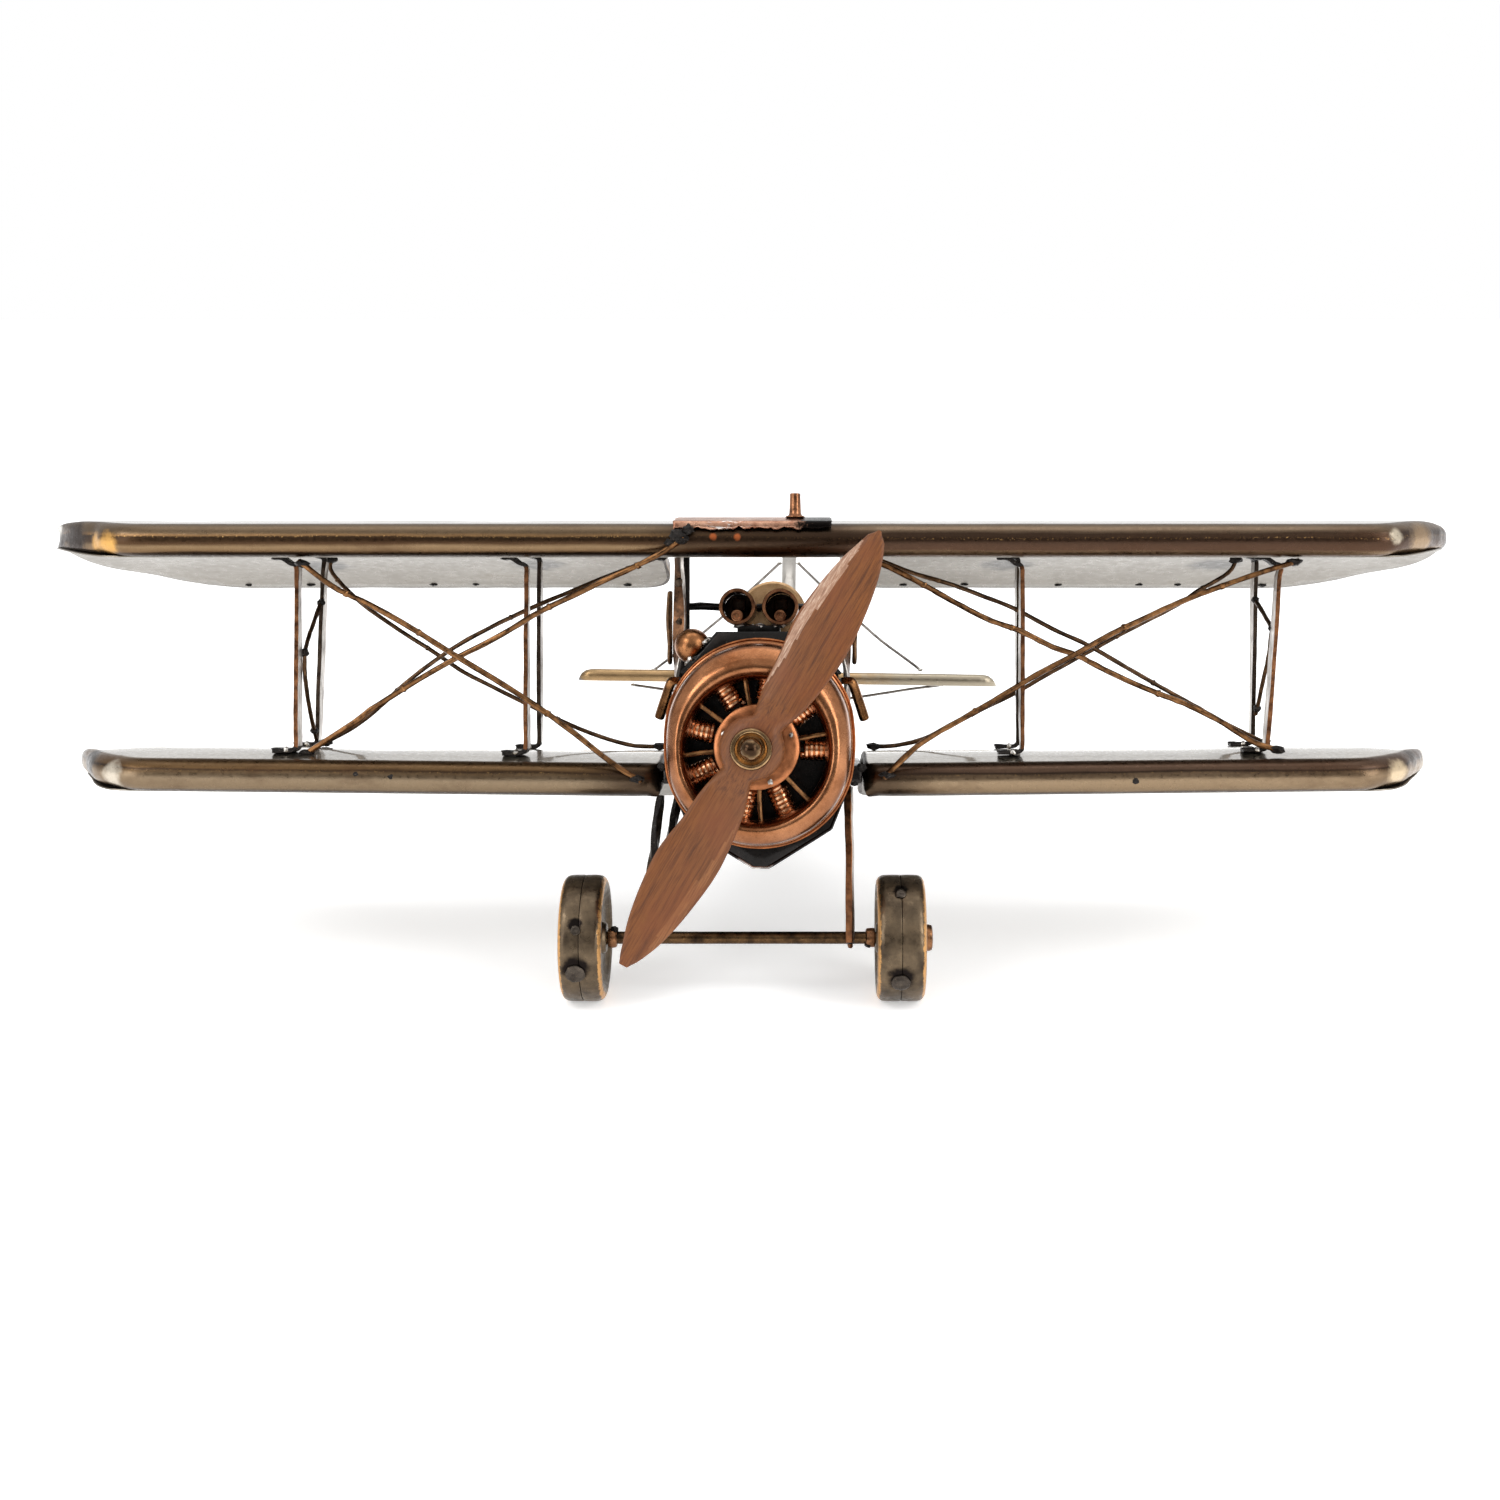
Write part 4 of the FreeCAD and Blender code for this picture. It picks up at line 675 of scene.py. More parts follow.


# Bands of a wing's rolled edge as (place round the roll, colour), from the sheet's top to its underside. The
# bands are painted reflections of the studio in the curved edge, and SHEET_TOP is paler as a painted sheen on
# the top of the sheet.
SHEET_TOP, GLOOM = (176, 167, 152), (46, 35, 26)
BANDS = {
    "upper_left": [
        (0.0, SHEET_TOP), (0.07, (84, 70, 54)), (0.20, (104, 88, 70)), (0.38, (90, 74, 56)), (0.43,
                                                                                              (120, 92, 62)),
        (0.46, (56, 42, 30)), (0.59, (74, 54, 37)), (0.66, (124, 102, 76)), (0.76, (114, 90, 64)),
        (0.81, (56, 40, 27)), (1.0, (50, 36, 24))],
    "upper_right": [
        (0.0, SHEET_TOP), (0.07, (84, 70, 56)), (0.18, (104, 88, 71)), (0.30, (106, 89, 72)), (0.40,
                                                                                               (56, 42, 32)),
        (0.47, (62, 46, 35)), (0.52, (60, 44, 34)), (0.72, (78, 57, 44)), (0.80, (120, 98, 74)),
        (0.90, (92, 68, 48)), (1.0, (48, 36, 27))],
    "lower_left": [
        (0.0, SHEET_TOP), (0.05, (140, 124, 102)), (0.12, (104, 82, 58)), (0.33, (92, 70, 46)), (0.385,
                                                                                                 (44, 32,
                                                                                                  23)),
        (0.43, (92, 74, 54)), (0.52, (126, 109, 88)), (0.78, (120, 102, 80)), (0.86, (62, 47, 34)), (1.0,
                                                                                                     GLOOM)],
    "lower_right": [
        (0.0, SHEET_TOP), (0.05, (134, 118, 98)), (0.12, (86, 67, 54)), (0.36, (78, 60, 48)), (0.40,
                                                                                               (40, 30, 23)),
        (0.45, (98, 80, 62)), (0.54, (136, 116, 92)), (0.80, (130, 110, 86)), (0.88, (66, 50, 36)), (1.0,
                                                                                                     GLOOM)],
}
SCORCHED, GOLD, SILVER, COPPER_DOT = (42, 28, 20), (196, 150, 84), (222, 218, 210), (170, 92, 52)
# Marks on the wings as (place, radius, colour); the upper wing's heights are above its edge. The pale marks
# at (173.5, 1.2) on the upper wing and at (175, 5) on the lower right wing are painted highlights on the
# bulged tips.
UPPER_MARKS = [
    ((-197, 28, 4.5), 14, SCORCHED), ((-188, 14, 4.5), 9, SCORCHED), ((-174, 2.5, 3.0), 4.6, GOLD),
    ((-178.5, 6, 4.2), 3.6, GOLD), ((-196, 24, 9.5), 4, SILVER), ((173.5, 1.2, 5.6), 3.4, (184, 172, 152)),
    ((183, 10, 4), 8, (146, 122, 94)), ((196, 33, 4.5), 8, SCORCHED), ((-10.5, 0, 5.2), 1.3, COPPER_DOT),
    ((-4, 0, 5.0), 1.2, COPPER_DOT)]
LOWER_MARKS = [
    ((-182, 13, -5.5), 7, (44, 36, 30)), ((-172, 4, -8.5), 4.5, (190, 180, 164)), ((-190, 30, -5), 7,
                                                                                   (120, 114, 108)),
    ((175, 5, -8), 5, (196, 176, 146)), ((182, 14, -3), 5, (56, 44, 34)), ((189, 30, -5), 6, SILVER)]
# Worn metals: name, light and dark tone, roughness, scale of the clouds, tone of the flecks, bump and marks.
METALS = {
    "cowl": ("cowl_copper", (172, 118, 82), (116, 70, 42), 0.22, 0.10, (84, 56, 40), 0.06),
    "cowl_band": ("band_copper", (164, 102, 62), (90, 52, 32), 0.28, 0.2, (48, 30, 22)),
    # The coils' copper is paler than the cowl's: partly a painted highlight that makes up for the shade
    # inside the cowl.
    "coil": ("coil_copper", (242, 188, 146), (172, 122, 88), 0.22, 0.4, (60, 38, 28), 0.02),
    "drum": ("crankcase_copper", (184, 118, 78), (112, 68, 42), 0.36, 0.25, (60, 36, 26), 0.08),
    "wire": ("wire_copper", (138, 98, 62), (66, 46, 31), 0.32, 0.5, (30, 22, 18), 0.10),
    "wire_dark": ("wire_dark", (110, 82, 58), (50, 40, 32), 0.38, 0.4, (24, 20, 18), 0.10),
    "gun": ("gun_copper", (170, 118, 84), (84, 54, 38), 0.26, 0.35, (34, 24, 20), 0.05),
    "gun_dark": ("gun_dark", (58, 50, 44), (18, 15, 13), 0.40, 0.4, (100, 78, 58), 0.08),
    "blister": ("blister_copper", (182, 126, 82), (116, 76, 48), 0.26, 0.2, (50, 34, 26), 0.06),
    "exhaust": ("exhaust_bronze", (158, 110, 68), (88, 60, 38), 0.26, 0.3, (50, 36, 24), 0.05),
    "fairing": ("fairing_bronze", (244, 206, 158), (214, 172, 126), 0.52, 0.12, (110, 82, 58), 0.08),
    "strut_edge": ("strut_edge", (140, 94, 62), (70, 46, 33), 0.36, 0.5, (28, 20, 17), 0.15),
    "cabane": ("cabane_bronze", (116, 82, 58), (50, 37, 29), 0.32, 0.4, (26, 20, 17), 0.12),
    "strut_dark": ("strut_dark", (74, 62, 52), (36, 30, 26), 0.36, 0.5, (20, 17, 15), 0.15),
    "brass": ("turned_brass", (184, 150, 108), (114, 88, 62), 0.18, 0.3, (64, 50, 32), 0.015,
              [(PROPELLER_MIDDLE + Vector((-0.4, -12.0, 0.4)), 4.6, (52, 38, 27))]),
    "steel": ("bare_steel", (166, 160, 152), (92, 84, 76), 0.3, 0.4, (52, 46, 42), 0.04),
    "axle": ("axle_bronze", (104, 78, 52), (44, 34, 26), 0.3, 0.3, (176, 138, 84), 0.08),
    "plug": ("plug_bronze", (88, 80, 72), (46, 41, 38), 0.32, 0.3, (120, 104, 84), 0.14),
    "cap": ("cap_bronze", (158, 112, 78), (92, 66, 46), 0.28, 0.5, (60, 40, 30), 0.05),
    "tail": ("tailplane_bronze", (182, 150, 110), (136, 112, 80), 0.34, 0.07, (54, 44, 34), 0.08,
             [((70, 184, 16), 48, (158, 148, 130)), ((-72, 182, 19), 8, (36, 30, 26))]),
    "fin": ("fin_steel", (190, 186, 180), (158, 153, 147), 0.34, 0.05, (48, 44, 42), 0.08),
    "grey_wire": ("grey_wire", (150, 144, 138), (82, 76, 72), 0.36, 0.5, (40, 36, 34), 0.06),
}


FINISHES = {}


def make_finishes():
    """Fills FINISHES; the upper wing's marks are raised to its edge."""
    upper_marks = [((x, y, UPPER_LOW.z + z), radius, shade) for (x, y, z), radius, shade in UPPER_MARKS]
    keel_scrape = [((0.5, -6, -31), 5, (205, 200, 196))]
    made = FINISHES
    made.update({key: worn_metal(*settings) for key, settings in METALS.items()})
    made["wing"] = wing_bronze("wing_bronze", BANDS["upper_left"], BANDS["upper_right"], (0.45, 0.485),
                               (18, 34), upper_marks, 1.0)
    made["wing_low"] = wing_bronze("wing_bronze_low", BANDS["lower_left"], BANDS["lower_right"], (0.40, 0.43),
                                   (34, 52), LOWER_MARKS, 0.25)
    made["black"] = blackened("black_gloss", (25, 21, 18), (7, 6, 6), 0.16, 0.35, keel_scrape)
    made["fitting"] = blackened("black_fitting", (36, 31, 28), (9, 8, 8), 0.3, 0.15)
    made["wood"] = carved_wood("oiled_wood", (114, 68, 34), (76, 43, 23))
    made["wood_pale"] = carved_wood("planed_wood", (134, 86, 50), (100, 62, 36))
    for key, make in (("underside", underside_sheet), ("panel", panel_copper), ("burnt", burnt_black),
                      ("solder", solder_metal), ("strut_side", strut_strip), ("scraped", scraped_wood)):
        made[key] = make()


# ---------------------------------------------------------------- sizes taken from the CAD nodes


def level_points(node):
    """Corners of a CAD node's mesh in the level frame."""
    return [LEVEL @ vertex.co for vertex in frame["nodes"][node].data.vertices]


def span(node):
    """Lowest and highest corner of a CAD node's box in the level frame."""
    points = level_points(node)
    return (Vector([min(point[axis] for point in points) for axis in range(3)]),
            Vector([max(point[axis] for point in points) for axis in range(3)]))


UPPER_LOW, UPPER_HIGH = span("upper_wing_skin")
UPPER_LOW.z += 4.9
LOWER_EDGE_Z = span("lower_left_wing_skin")[0].z + 4.9
LEFT_ROOT, RIGHT_ROOT = -span("lower_left_wing_skin")[1].x, span("lower_right_wing_skin")[0].x
CHORD, DIHEDRAL = UPPER_HIGH.y, math.tan(math.radians(0.6))
# Plan of the wing tips, leading edge to trailing edge, as (out, aft).
UPPER_LEFT_TIP = ((169.5, 0), (182, 7.5), (192, 17.5), (198.5, 28), (200, 40), (198, 53), (189, 69),
                  (177, 79.5), (163, 85))
UPPER_RIGHT_TIP = ((171, 0), (182, 9.5), (190, 19.5), (195.5, 30), (197.5, 41), (195.5, 54), (187, 69),
                   (176, 79), (163, 85))
LOWER_TIP = ((166, 0), (177, 7), (182.5, 16), (188, 27), (191.5, 38), (190, 52), (182, 68), (171, 79),
             (157, 85))
UPPER_TIP, LOWER_TIP_X = 200.0, 191.5
CUTOUT_HALF, CUTOUT_FRONT, CUTOUT_CORNER = 27.0, 24.0, 8.0
ROLL = 4.5
wing_top_arc = arc_through((ROLL, 9.0), (33.0, 11.3), (CHORD, -3.7))
wing_under_arc = arc_through((ROLL, 0.0), (40.0, 3.3), (CHORD, -4.9))
BLADE_TURN = math.radians(59.4)
DECK_Z, JOINT_Z = 30.0, 18.5
SECTIONS = (
    # station, centreline, then half-width and height of deck edge, shoulder, chine, bilge corner and keel
    (-5.0, 2.4, (12, 30), (21.5, 19), (22.5, -14), (19, -22.5), (2.2, -33)),
    (84.0, 4.2, (11.5, 30), (20, 19), (21, -11), (18, -18), (2.2, -28)),
    (176.0, 6.3, (5, 15.8), (6.5, 13), (6.5, 4), (5.5, 1), (2, -1)),
    (212.0, 6.9, (1.6, 15.8), (2.4, 14.5), (2.4, 8), (2, 6), (1, 5)),
)
COWL_CENTRE, COWL_ROUND, COWL_STRAIGHT = Vector((2.4, 0, 0.6)), 24.2, 2.5
OPENING_CENTRE, OPENING_RADIUS = Vector((1.8, 0, -1.0)), 18.0
COWL_FRONT = span("cowl_ring")[0].y
CYLINDER_ANGLES = (38, 80, 119, 164, 205, 258, 294, 356)
PUSHROD_ANGLES = (11, 55, 100, 144, 187, 230, 273, 314)
CRANK_X, CRANK_RADIUS = 2.0, 11.0
LEFT_WHEEL, RIGHT_WHEEL = (LEVEL @ Vector(JOINTS[side + "_wheel_spin"]["pos_m"]) for side in ("left",
                                                                                              "right"))
WHEEL_RADIUS, WHEEL_HALF = 17.0, {"left": 5.75, "right": 6.5}
TAIL_X, FIN_X = 6.8, 7.2
AFT = (0, 1, 0)


# ---------------------------------------------------------------- wings


def soften(outline, rounds=3):
    """Evens out the corners of a closed outline."""
    for _ in range(rounds):
        spots = [Vector(point) for point in outline]
        after = spots[1:] + spots[:1]
        outline = [tuple((spots[i - 1] + 2 * spots[i] + after[i]) / 4) for i in range(len(spots))]
    return outline


def ragged(outline, seed, amount):
    """Uneven hand-cut edge, never wider than the outline at the nose and tips."""
    cut = []
    for (x, y), inward in zip(outline, inward_normals(outline)):
        depth = amount * abs(wobble(seed, x, y, scale=0.11)) + 0.4 * amount * abs(wobble(seed + 9, x, y,
                                                                                         scale=0.5))
        cut.append(tuple(Vector((x, y)) + inward * depth * smooth((y - 1) / 12)))
    return cut


def tip_line(places, nose, inset):
    """Plan of a right-hand wing tip from the leading edge to the trailing edge, set in by a distance."""
    line = curve_through([(x, y, 0) for x, y in places], 7)
    moved = []
    for index, point in enumerate(line):
        along = (line[min(index + 1, len(line) - 1)] - line[max(index - 1, 0)]).normalized()
        moved.append(point + inset * Vector((-along.y, along.x, 0)))
    inner = [(point.x, point.y) for point in moved if nose + 0.4 < point.y < CHORD - inset - 0.3]
    start = places[0][0] if nose == 0 else inner[0][0] - 1.0
    return [(start, nose)] + inner, places[-1][0] - inset


def upper_outline(nose, inset):
    """Plan of the upper wing with the cutout over the cockpit."""
    right, right_end = tip_line(UPPER_RIGHT_TIP, nose, inset)
    left, left_end = tip_line(UPPER_LEFT_TIP, nose, inset)
    tail, side, front, corner = CHORD - inset, CUTOUT_HALF + inset, CUTOUT_FRONT - inset, CUTOUT_CORNER
    bulge = corner * (1 - math.sqrt(0.5))
    points = right + plan_line((right_end, tail), (side + corner, tail))
    points += plan_arc((side + corner, tail), (side + bulge, tail - bulge), (side, tail - corner), 6)
    stops = ((side, tail - corner), (side, front), (-side, front), (-side, tail - corner))
    for start, end in zip(stops, stops[1:]):
        points += plan_line(start, end)
    points += plan_arc((-side, tail - corner), (-side - bulge, tail - bulge), (-side - corner, tail), 6)
    points += plan_line((-side - corner, tail), (-left_end, tail))
    points += [(-left_end, tail)] + [(-x, y) for x, y in reversed(left[1:])]
    return points + plan_line((-left[0][0], nose), (right[0][0], nose))


def lower_outline(side, nose, inset):
    """Plan of a lower wing; the left one reaches a little farther."""
    reach = 1.4 if side < 0 else 0.0
    tip, end = tip_line([(x + reach, y) for x, y in LOWER_TIP], nose, inset)
    root, tail = (LEFT_ROOT if side < 0 else RIGHT_ROOT) + inset, CHORD - inset
    right = plan_line((root, nose), tip[0]) + tip
    right += plan_line((end, tail), (root, tail)) + plan_line((root, tail), (root, nose))
    return right if side > 0 else [(-x, y) for x, y in reversed(right)]


def dents(seed, x, y):
    """Hand-beaten unevenness of a sheet."""
    return 0.22 * wobble(seed, x, y, scale=0.035) + 0.07 * wobble(seed + 4, x, y, scale=0.16)


def wing_sheet(seed, tip):
    """Height functions of a wing's top and underside, flatter towards the tip."""
    def outboard(x):
        return smooth((abs(x) - tip + 24) / 24)

    def top(x, y):
        return wing_top_arc(y) - 1.3 * outboard(x) * smooth(y / 30) + dents(seed, x, y) * smooth((y - 3) / 8)

    def bottom(x, y):
        sag = 1.8 * smooth((abs(x) - tip + 20) / 16) * math.sin(math.pi * min(1, max(0, (y - 40) / 42)))
        lift = 0.7 * outboard(x) * smooth(y / 30) - sag
        return wing_under_arc(y) + lift + 0.5 * dents(seed + 2, x, y) * smooth((y - 5) / 9)

    return top, bottom


def wing_rim(edge):
    """Depth and squareness of a wing's edge, rolled along the nose and round the tips."""
    def rim(x, y):
        if abs(x) > edge - 8:
            depth = lerp(ROLL, 2.6, smooth(y / 36)) if y < 36 else lerp(2.6, 0.6, smooth((y - 36) / 46))
            return depth, lerp(1.0, 0.75, smooth(y / 40))
        if y < 3:
            return ROLL, 1.0
        return lerp(1.4, 0.6, smooth((y - 55) / 28)), 0.7
    return rim


def pinched(x, y, share):
    """The left tip's rolled edge is pinched in by pliers."""
    return 2.2 * smooth((-175 - x) / 6) * smooth((42 - y) / 10) * math.sin(math.pi * share) ** 2


def underside_shell(outline, bottom, seed, place):
    """Thin sheet that closes a wing from below."""
    return sheet_shell(ragged(soften(outline), seed, 0.4), lambda x, y: bottom(x, y) + 0.25,
                       lambda x, y: bottom(x, y) - 0.22, lambda x, y: (0.3, 0.8), place=place, steps=4)


def upper_wing():
    """Rolled skin with solder at the tips, and the pale sheet below with dark solder dots."""
    top, bottom = wing_sheet(3, UPPER_TIP)
    place = lambda point: point + Vector((0, 0, UPPER_LOW.z))
    outline = ragged(soften(upper_outline(0.0, 0.0)), 5, 0.5)
    skin = sheet_shell(outline, top, bottom, wing_rim(172), place=place, press=pinched)
    for index, (x, y) in enumerate(((183, 14), (187, 19.5), (190, 26), (-186, 16))):
        skin.lump(place(Vector((x, y + 1.8, 8.7))), (2.2, 1.6, 0.3), index + 3, 0.6)
    build("upper_wing_skin_sheet", skin, "wing burnt", "upper_wing_skin", sharp=50)
    under = underside_shell(upper_outline(ROLL, 1.2), bottom, 8, place)
    for index, x in enumerate((-158, -139, -101, -88, -52, -41, 44, 63, 92, 117, 129, 155)):
        y = CHORD - 3.6 - 1.6 * abs(wobble(5, x))
        size = 0.7 + 0.5 * abs(wobble(6, x))
        under.lump(place(Vector((x, y, bottom(x, y) - 0.1))), (1.6 * size, size, 0.7 * size), index, 0.5)
    build("upper_wing_underside_sheet", under, "underside burnt", "upper_wing_underside")


def lower_wing(name, side):
    """Rolled skin and underside of one lower wing, rising from its root."""
    top, bottom = wing_sheet(11 + side, LOWER_TIP_X)
    root = LEFT_ROOT if side < 0 else RIGHT_ROOT
    place = lambda point: point + Vector((0, 0, LOWER_EDGE_Z + (abs(point.x) - root) * DIHEDRAL))
    outline = ragged(soften(lower_outline(side, 0.0, 0.0)), 15 + side, 0.5)
    skin = sheet_shell(outline, top, bottom, wing_rim(167), place=place)
    for x, z in ((-106.0, -8.2), (-96.7, -8.8)) if side < 0 else ((102.6, -9.8),):
        skin.lump((x, 0.5, z), (1.2, 0.6, 1.0), x, 0.4)
    if side > 0:
        for index, (x, y) in enumerate(((174, 10.5), (178, 14.5), (181, 19))):
            skin.lump(place(Vector((x, y + 1.2, 8.9))), (1.9, 1.2, 0.3), index + 5, 0.6)
    build("lower_%s_wing_skin_sheet" % name, skin, "wing_low burnt",
          "lower_%s_wing_skin" % name, sharp=50)
    under = underside_shell(lower_outline(side, ROLL, 1.2), bottom, 18 + side, place)
    build("lower_%s_wing_underside_sheet" % name, under, "underside",
          "lower_%s_wing_underside" % name)


def centre_panel():
    """Copper sheet folded over the nose of the centre section, with a ragged lip."""
    low, high = span("wing_centre_panel")
    path = [(0.10, -1.7), (0.0, -1.2), (0.0, -0.7), (0.12, -0.3), (0.5, 0.05), (1.6, 0.25), (3.2, 0.35),
            (4.5, 0.4)]
    path += [(y, wing_top_arc(y) - 9 + 0.45) for y in (7, 10, 13, 16, 19, 21)]
    columns, rows = 60, []
    for step, (y, z) in enumerate(path):
        row = []
        for column in range(columns + 1):
            share = column / columns
            x = lerp(low.x, high.x, share)
            end = abs(2 * share - 1) ** 12
            x -= math.copysign(0.9 * end * (0.5 + wobble(31, 0, y, z, scale=0.7)), x)
            drop = (0.9 * wobble(33, x, scale=0.45) + 0.5 * wobble(35, x, scale=1.3)) * max(0, 1 - step / 2)
            row.append((x, y + 0.1 * abs(wobble(36, x, y, scale=0.3)), z + UPPER_LOW.z + 9 + max(drop, -0.6)))
        rows.append(row)
    thing = build("centre_panel_sheet", open_sheet(rows), "panel", "wing_centre_panel")
    thicken(thing, 0.4, 1.0)


def thicken(thing, thickness, offset=-1.0):
    modifier = thing.modifiers.new("sheet", "SOLIDIFY")
    modifier.thickness, modifier.offset = thickness * MM, offset


def filler_tube():
    low, high = span("filler_tube")
    centre = ((low.x + high.x) / 2, (low.y + high.y) / 2, low.z)
    height = high.z - low.z
    profile = [(0.1, 1.0), (0.0, 2.4), (0.12, 2.7), (0.4, 2.6), (0.62, 1.95), (1.1, 1.66), (2.4, 1.58),
               (height - 1.0, 1.46), (height - 0.25, 1.48), (height, 1.36), (height, 1.1),
               (height - 0.5, 1.0)]
    build("filler_pipe", lathe(profile, centre, (0, 0, 1), 36, closed=True, ripple=0.04), "gun",
          "filler_tube")


# ---------------------------------------------------------------- fuselage


def section_at(y):
    """Half-profile of the fuselage at a station: centreline and the four corner pairs."""
    for first, second in zip(SECTIONS, SECTIONS[1:]):
        if y <= second[0] or second is SECTIONS[-1]:
            t = (y - first[0]) / (second[0] - first[0])
            corners = [tuple(lerp(a, b, t) for a, b in zip(p, q)) for p, q in zip(first[2:], second[2:])]
            return lerp(first[1], second[1], t), corners


def chain_points(corners, per_side=5):
    """Points along an open chain of corners, stopping just short of each fold."""
    points = []
    for a, b in zip(corners, corners[1:]):
        points += [Vector(a).lerp(Vector(b),
                                  lerp(0.03, 0.97, step / (per_side - 1))) for step in range(per_side)]
    return points


def station_line(count):
    """Even stations from the firewall to the tail post."""
    return [lerp(SECTIONS[0][0], SECTIONS[-1][0], i / count) for i in range(count + 1)]


def below_joint(corners):
    """Half-chain of the hull's section below its joint with the deck, mirrored to the other side."""
    _, shoulder, chine, bilge, keel = corners
    joint = min(JOINT_Z, shoulder[1] - 0.1)
    right = [(lerp(chine[0], shoulder[0], (joint - chine[1]) / (shoulder[1] - chine[1])), joint), chine,
             bilge, keel]
    return right + [(-x, z) for x, z in reversed(right)]


def hull():
    """Folded sheet with a V belly."""
    rows, seed = [], 41
    for y in station_line(70):
        middle, corners = section_at(y)
        row = []
        for x, z in chain_points(below_joint(corners)):
            push = 1 + 0.012 * wobble(seed, x, y, z, scale=0.06)
            row.append((middle + x * push, y, z + 0.1 * wobble(seed + 2, x, y, z, scale=0.08)))
        rows.append(row)
    thicken(build("fuselage_hull_sheet", open_sheet(rows), "black", "fuselage_hull", sharp=28),
            0.7)


def deck_height(x, y):
    """Height of the deck: flat between its folds, sloping to the shoulders."""
    middle, (top, shoulder, *_) = section_at(y)
    reach = abs(x - middle)
    if reach <= top[0]:
        return top[1] + 0.06 * wobble(43, x, y, scale=0.1)
    return lerp(top[1], shoulder[1], min(1, (reach - top[0]) / max(0.1, shoulder[0] - top[0])))


def cockpit_loop(extra=0.0):
    """Long round opening inside the coaming, as Vectors in the plan."""
    low, high = span("cockpit_coaming")
    middle, rim = (low + high) / 2, 1.3
    radius = (high.x - low.x) / 2 - rim
    straight = (high.y - low.y) / 2 - rim - radius
    points = []
    for angle in circle_angles(40):
        push = straight * max(-1.0, min(1.0, 5 * math.sin(angle)))
        points.append(middle.xy + spoke(Vector((1, 0)), Vector((0, 1)), angle,
                                        radius + extra) + Vector((0, push)))
    return points


def deck():
    """Folded deck sheet with the cockpit cut through it."""
    right, left, folds = [], [], ([], [])
    for y in station_line(60):
        middle, (top, shoulder, *_) = section_at(y)
        right.append(Vector((middle + shoulder[0], y)))
        left.append(Vector((middle - shoulder[0], y)))
        for line, side in zip(folds, (-1, 1)):
            line.append(Vector((middle + side * top[0], y)))
    outer, hole = right + left[::-1], cockpit_loop()
    inside = folds[0][1:-1] + folds[1][1:-1]
    columns, rows = 16, 70
    for i in range(columns):
        for j in range(rows):
            spot = Vector((lerp(-20, 26, i / (columns - 1)), lerp(-4, 211, j / (rows - 1))))
            near_fold = any(abs(spot.x - point.x) < 0.8 and abs(spot.y - point.y) < 4
                            for point in sum(folds, []))
            if is_inside(spot, outer, 1.2) and not is_inside(spot, hole, -1.5) and not near_fold:
                inside.append(spot)
    edges = closed_loop(0, len(outer)) + closed_loop(len(outer), len(hole))
    first, count = len(outer) + len(hole), len(folds[0]) - 2
    edges += [(first + i, first + i + 1) for i in range(2 * count - 1) if i != count - 1]
    spots, _, triangles, *_ = geometry.delaunay_2d_cdt(outer + hole + inside, edges, [], 1, 1e-5)
    kept = [face for face in triangles if not is_inside(sum((spots[c] for c in face), Vector((0, 0))) / 3,
                                                        hole, 0)]
    shape = Shape().add([(spot.x, spot.y, deck_height(*spot)) for spot in spots], kept)
    thicken(build("fuselage_deck_sheet", shape, "black", "fuselage_deck", sharp=28), 0.7)


def cockpit_rim():
    coaming = [Vector((x, y, DECK_Z + 0.8)) for x, y in cockpit_loop(0.65)]
    rings, up = [], Vector((0, 0, 1))
    for index, point in enumerate(coaming):
        out = (coaming[(index + 1) % len(coaming)] - coaming[index - 1]).normalized().cross(up)
        rings.append([point + out * 0.65 * squarish(math.cos(angle),
                                                    0.7) + up * 0.8 * squarish(math.sin(angle), 0.7)
                      for angle in circle_angles(12)])
    build("cockpit_rim", loft(rings, closed_rows=True), "wire_dark", "cockpit_coaming")


def bulkhead():
    """Plate that closes the fuselage behind the engine."""
    low, high = span("engine_bulkhead")
    middle, corners = section_at(SECTIONS[0][0])
    loop, rings = [], []
    for side, chain in ((1, corners[::-1]), (-1, corners)):
        loop += [(middle + side * (x - 0.85), z * 0.985) for x, z in chain]
    for y, scale in ((low.y, 0.9), (low.y, 0.995), (low.y + 0.1, 1.0), (high.y - 0.1, 1.0), (high.y, 0.995),
                     (high.y, 0.9)):
        rings.append([Vector((middle + (x - middle) * scale, y, z * scale)) for x, z in loop])
    build("bulkhead_plate", loft(rings), "fitting", "engine_bulkhead")


def soft_box(low, high, bevel=0.35, number=0, seed=1, uneven=0.12, cuts=3):
    """Block of folded or filed metal with worn corners."""
    mesh = bmesh.new()
    bmesh.ops.create_cube(mesh, size=1.0)
    low, high = Vector(low), Vector(high)
    for vertex in mesh.verts:
        vertex.co = Vector([lerp(low[i], high[i], vertex.co[i] + 0.5) for i in range(3)])
    bmesh.ops.bevel(mesh, geom=mesh.edges[:], offset=bevel, segments=2, affect="EDGES", profile=0.5)
    bmesh.ops.subdivide_edges(mesh, edges=[edge for edge in mesh.edges if edge.calc_length() > 1.5],
                              cuts=cuts, use_grid_fill=True)
    points = [vertex.co + Vector([uneven * wobble(seed + i, *vertex.co, scale=0.3) for i in range(3)])
              for vertex in mesh.verts]
    mesh.verts.index_update()
    faces = [tuple(vertex.index for vertex in face.verts) for face in mesh.faces]
    mesh.free()
    return Shape().add(points, faces, number)


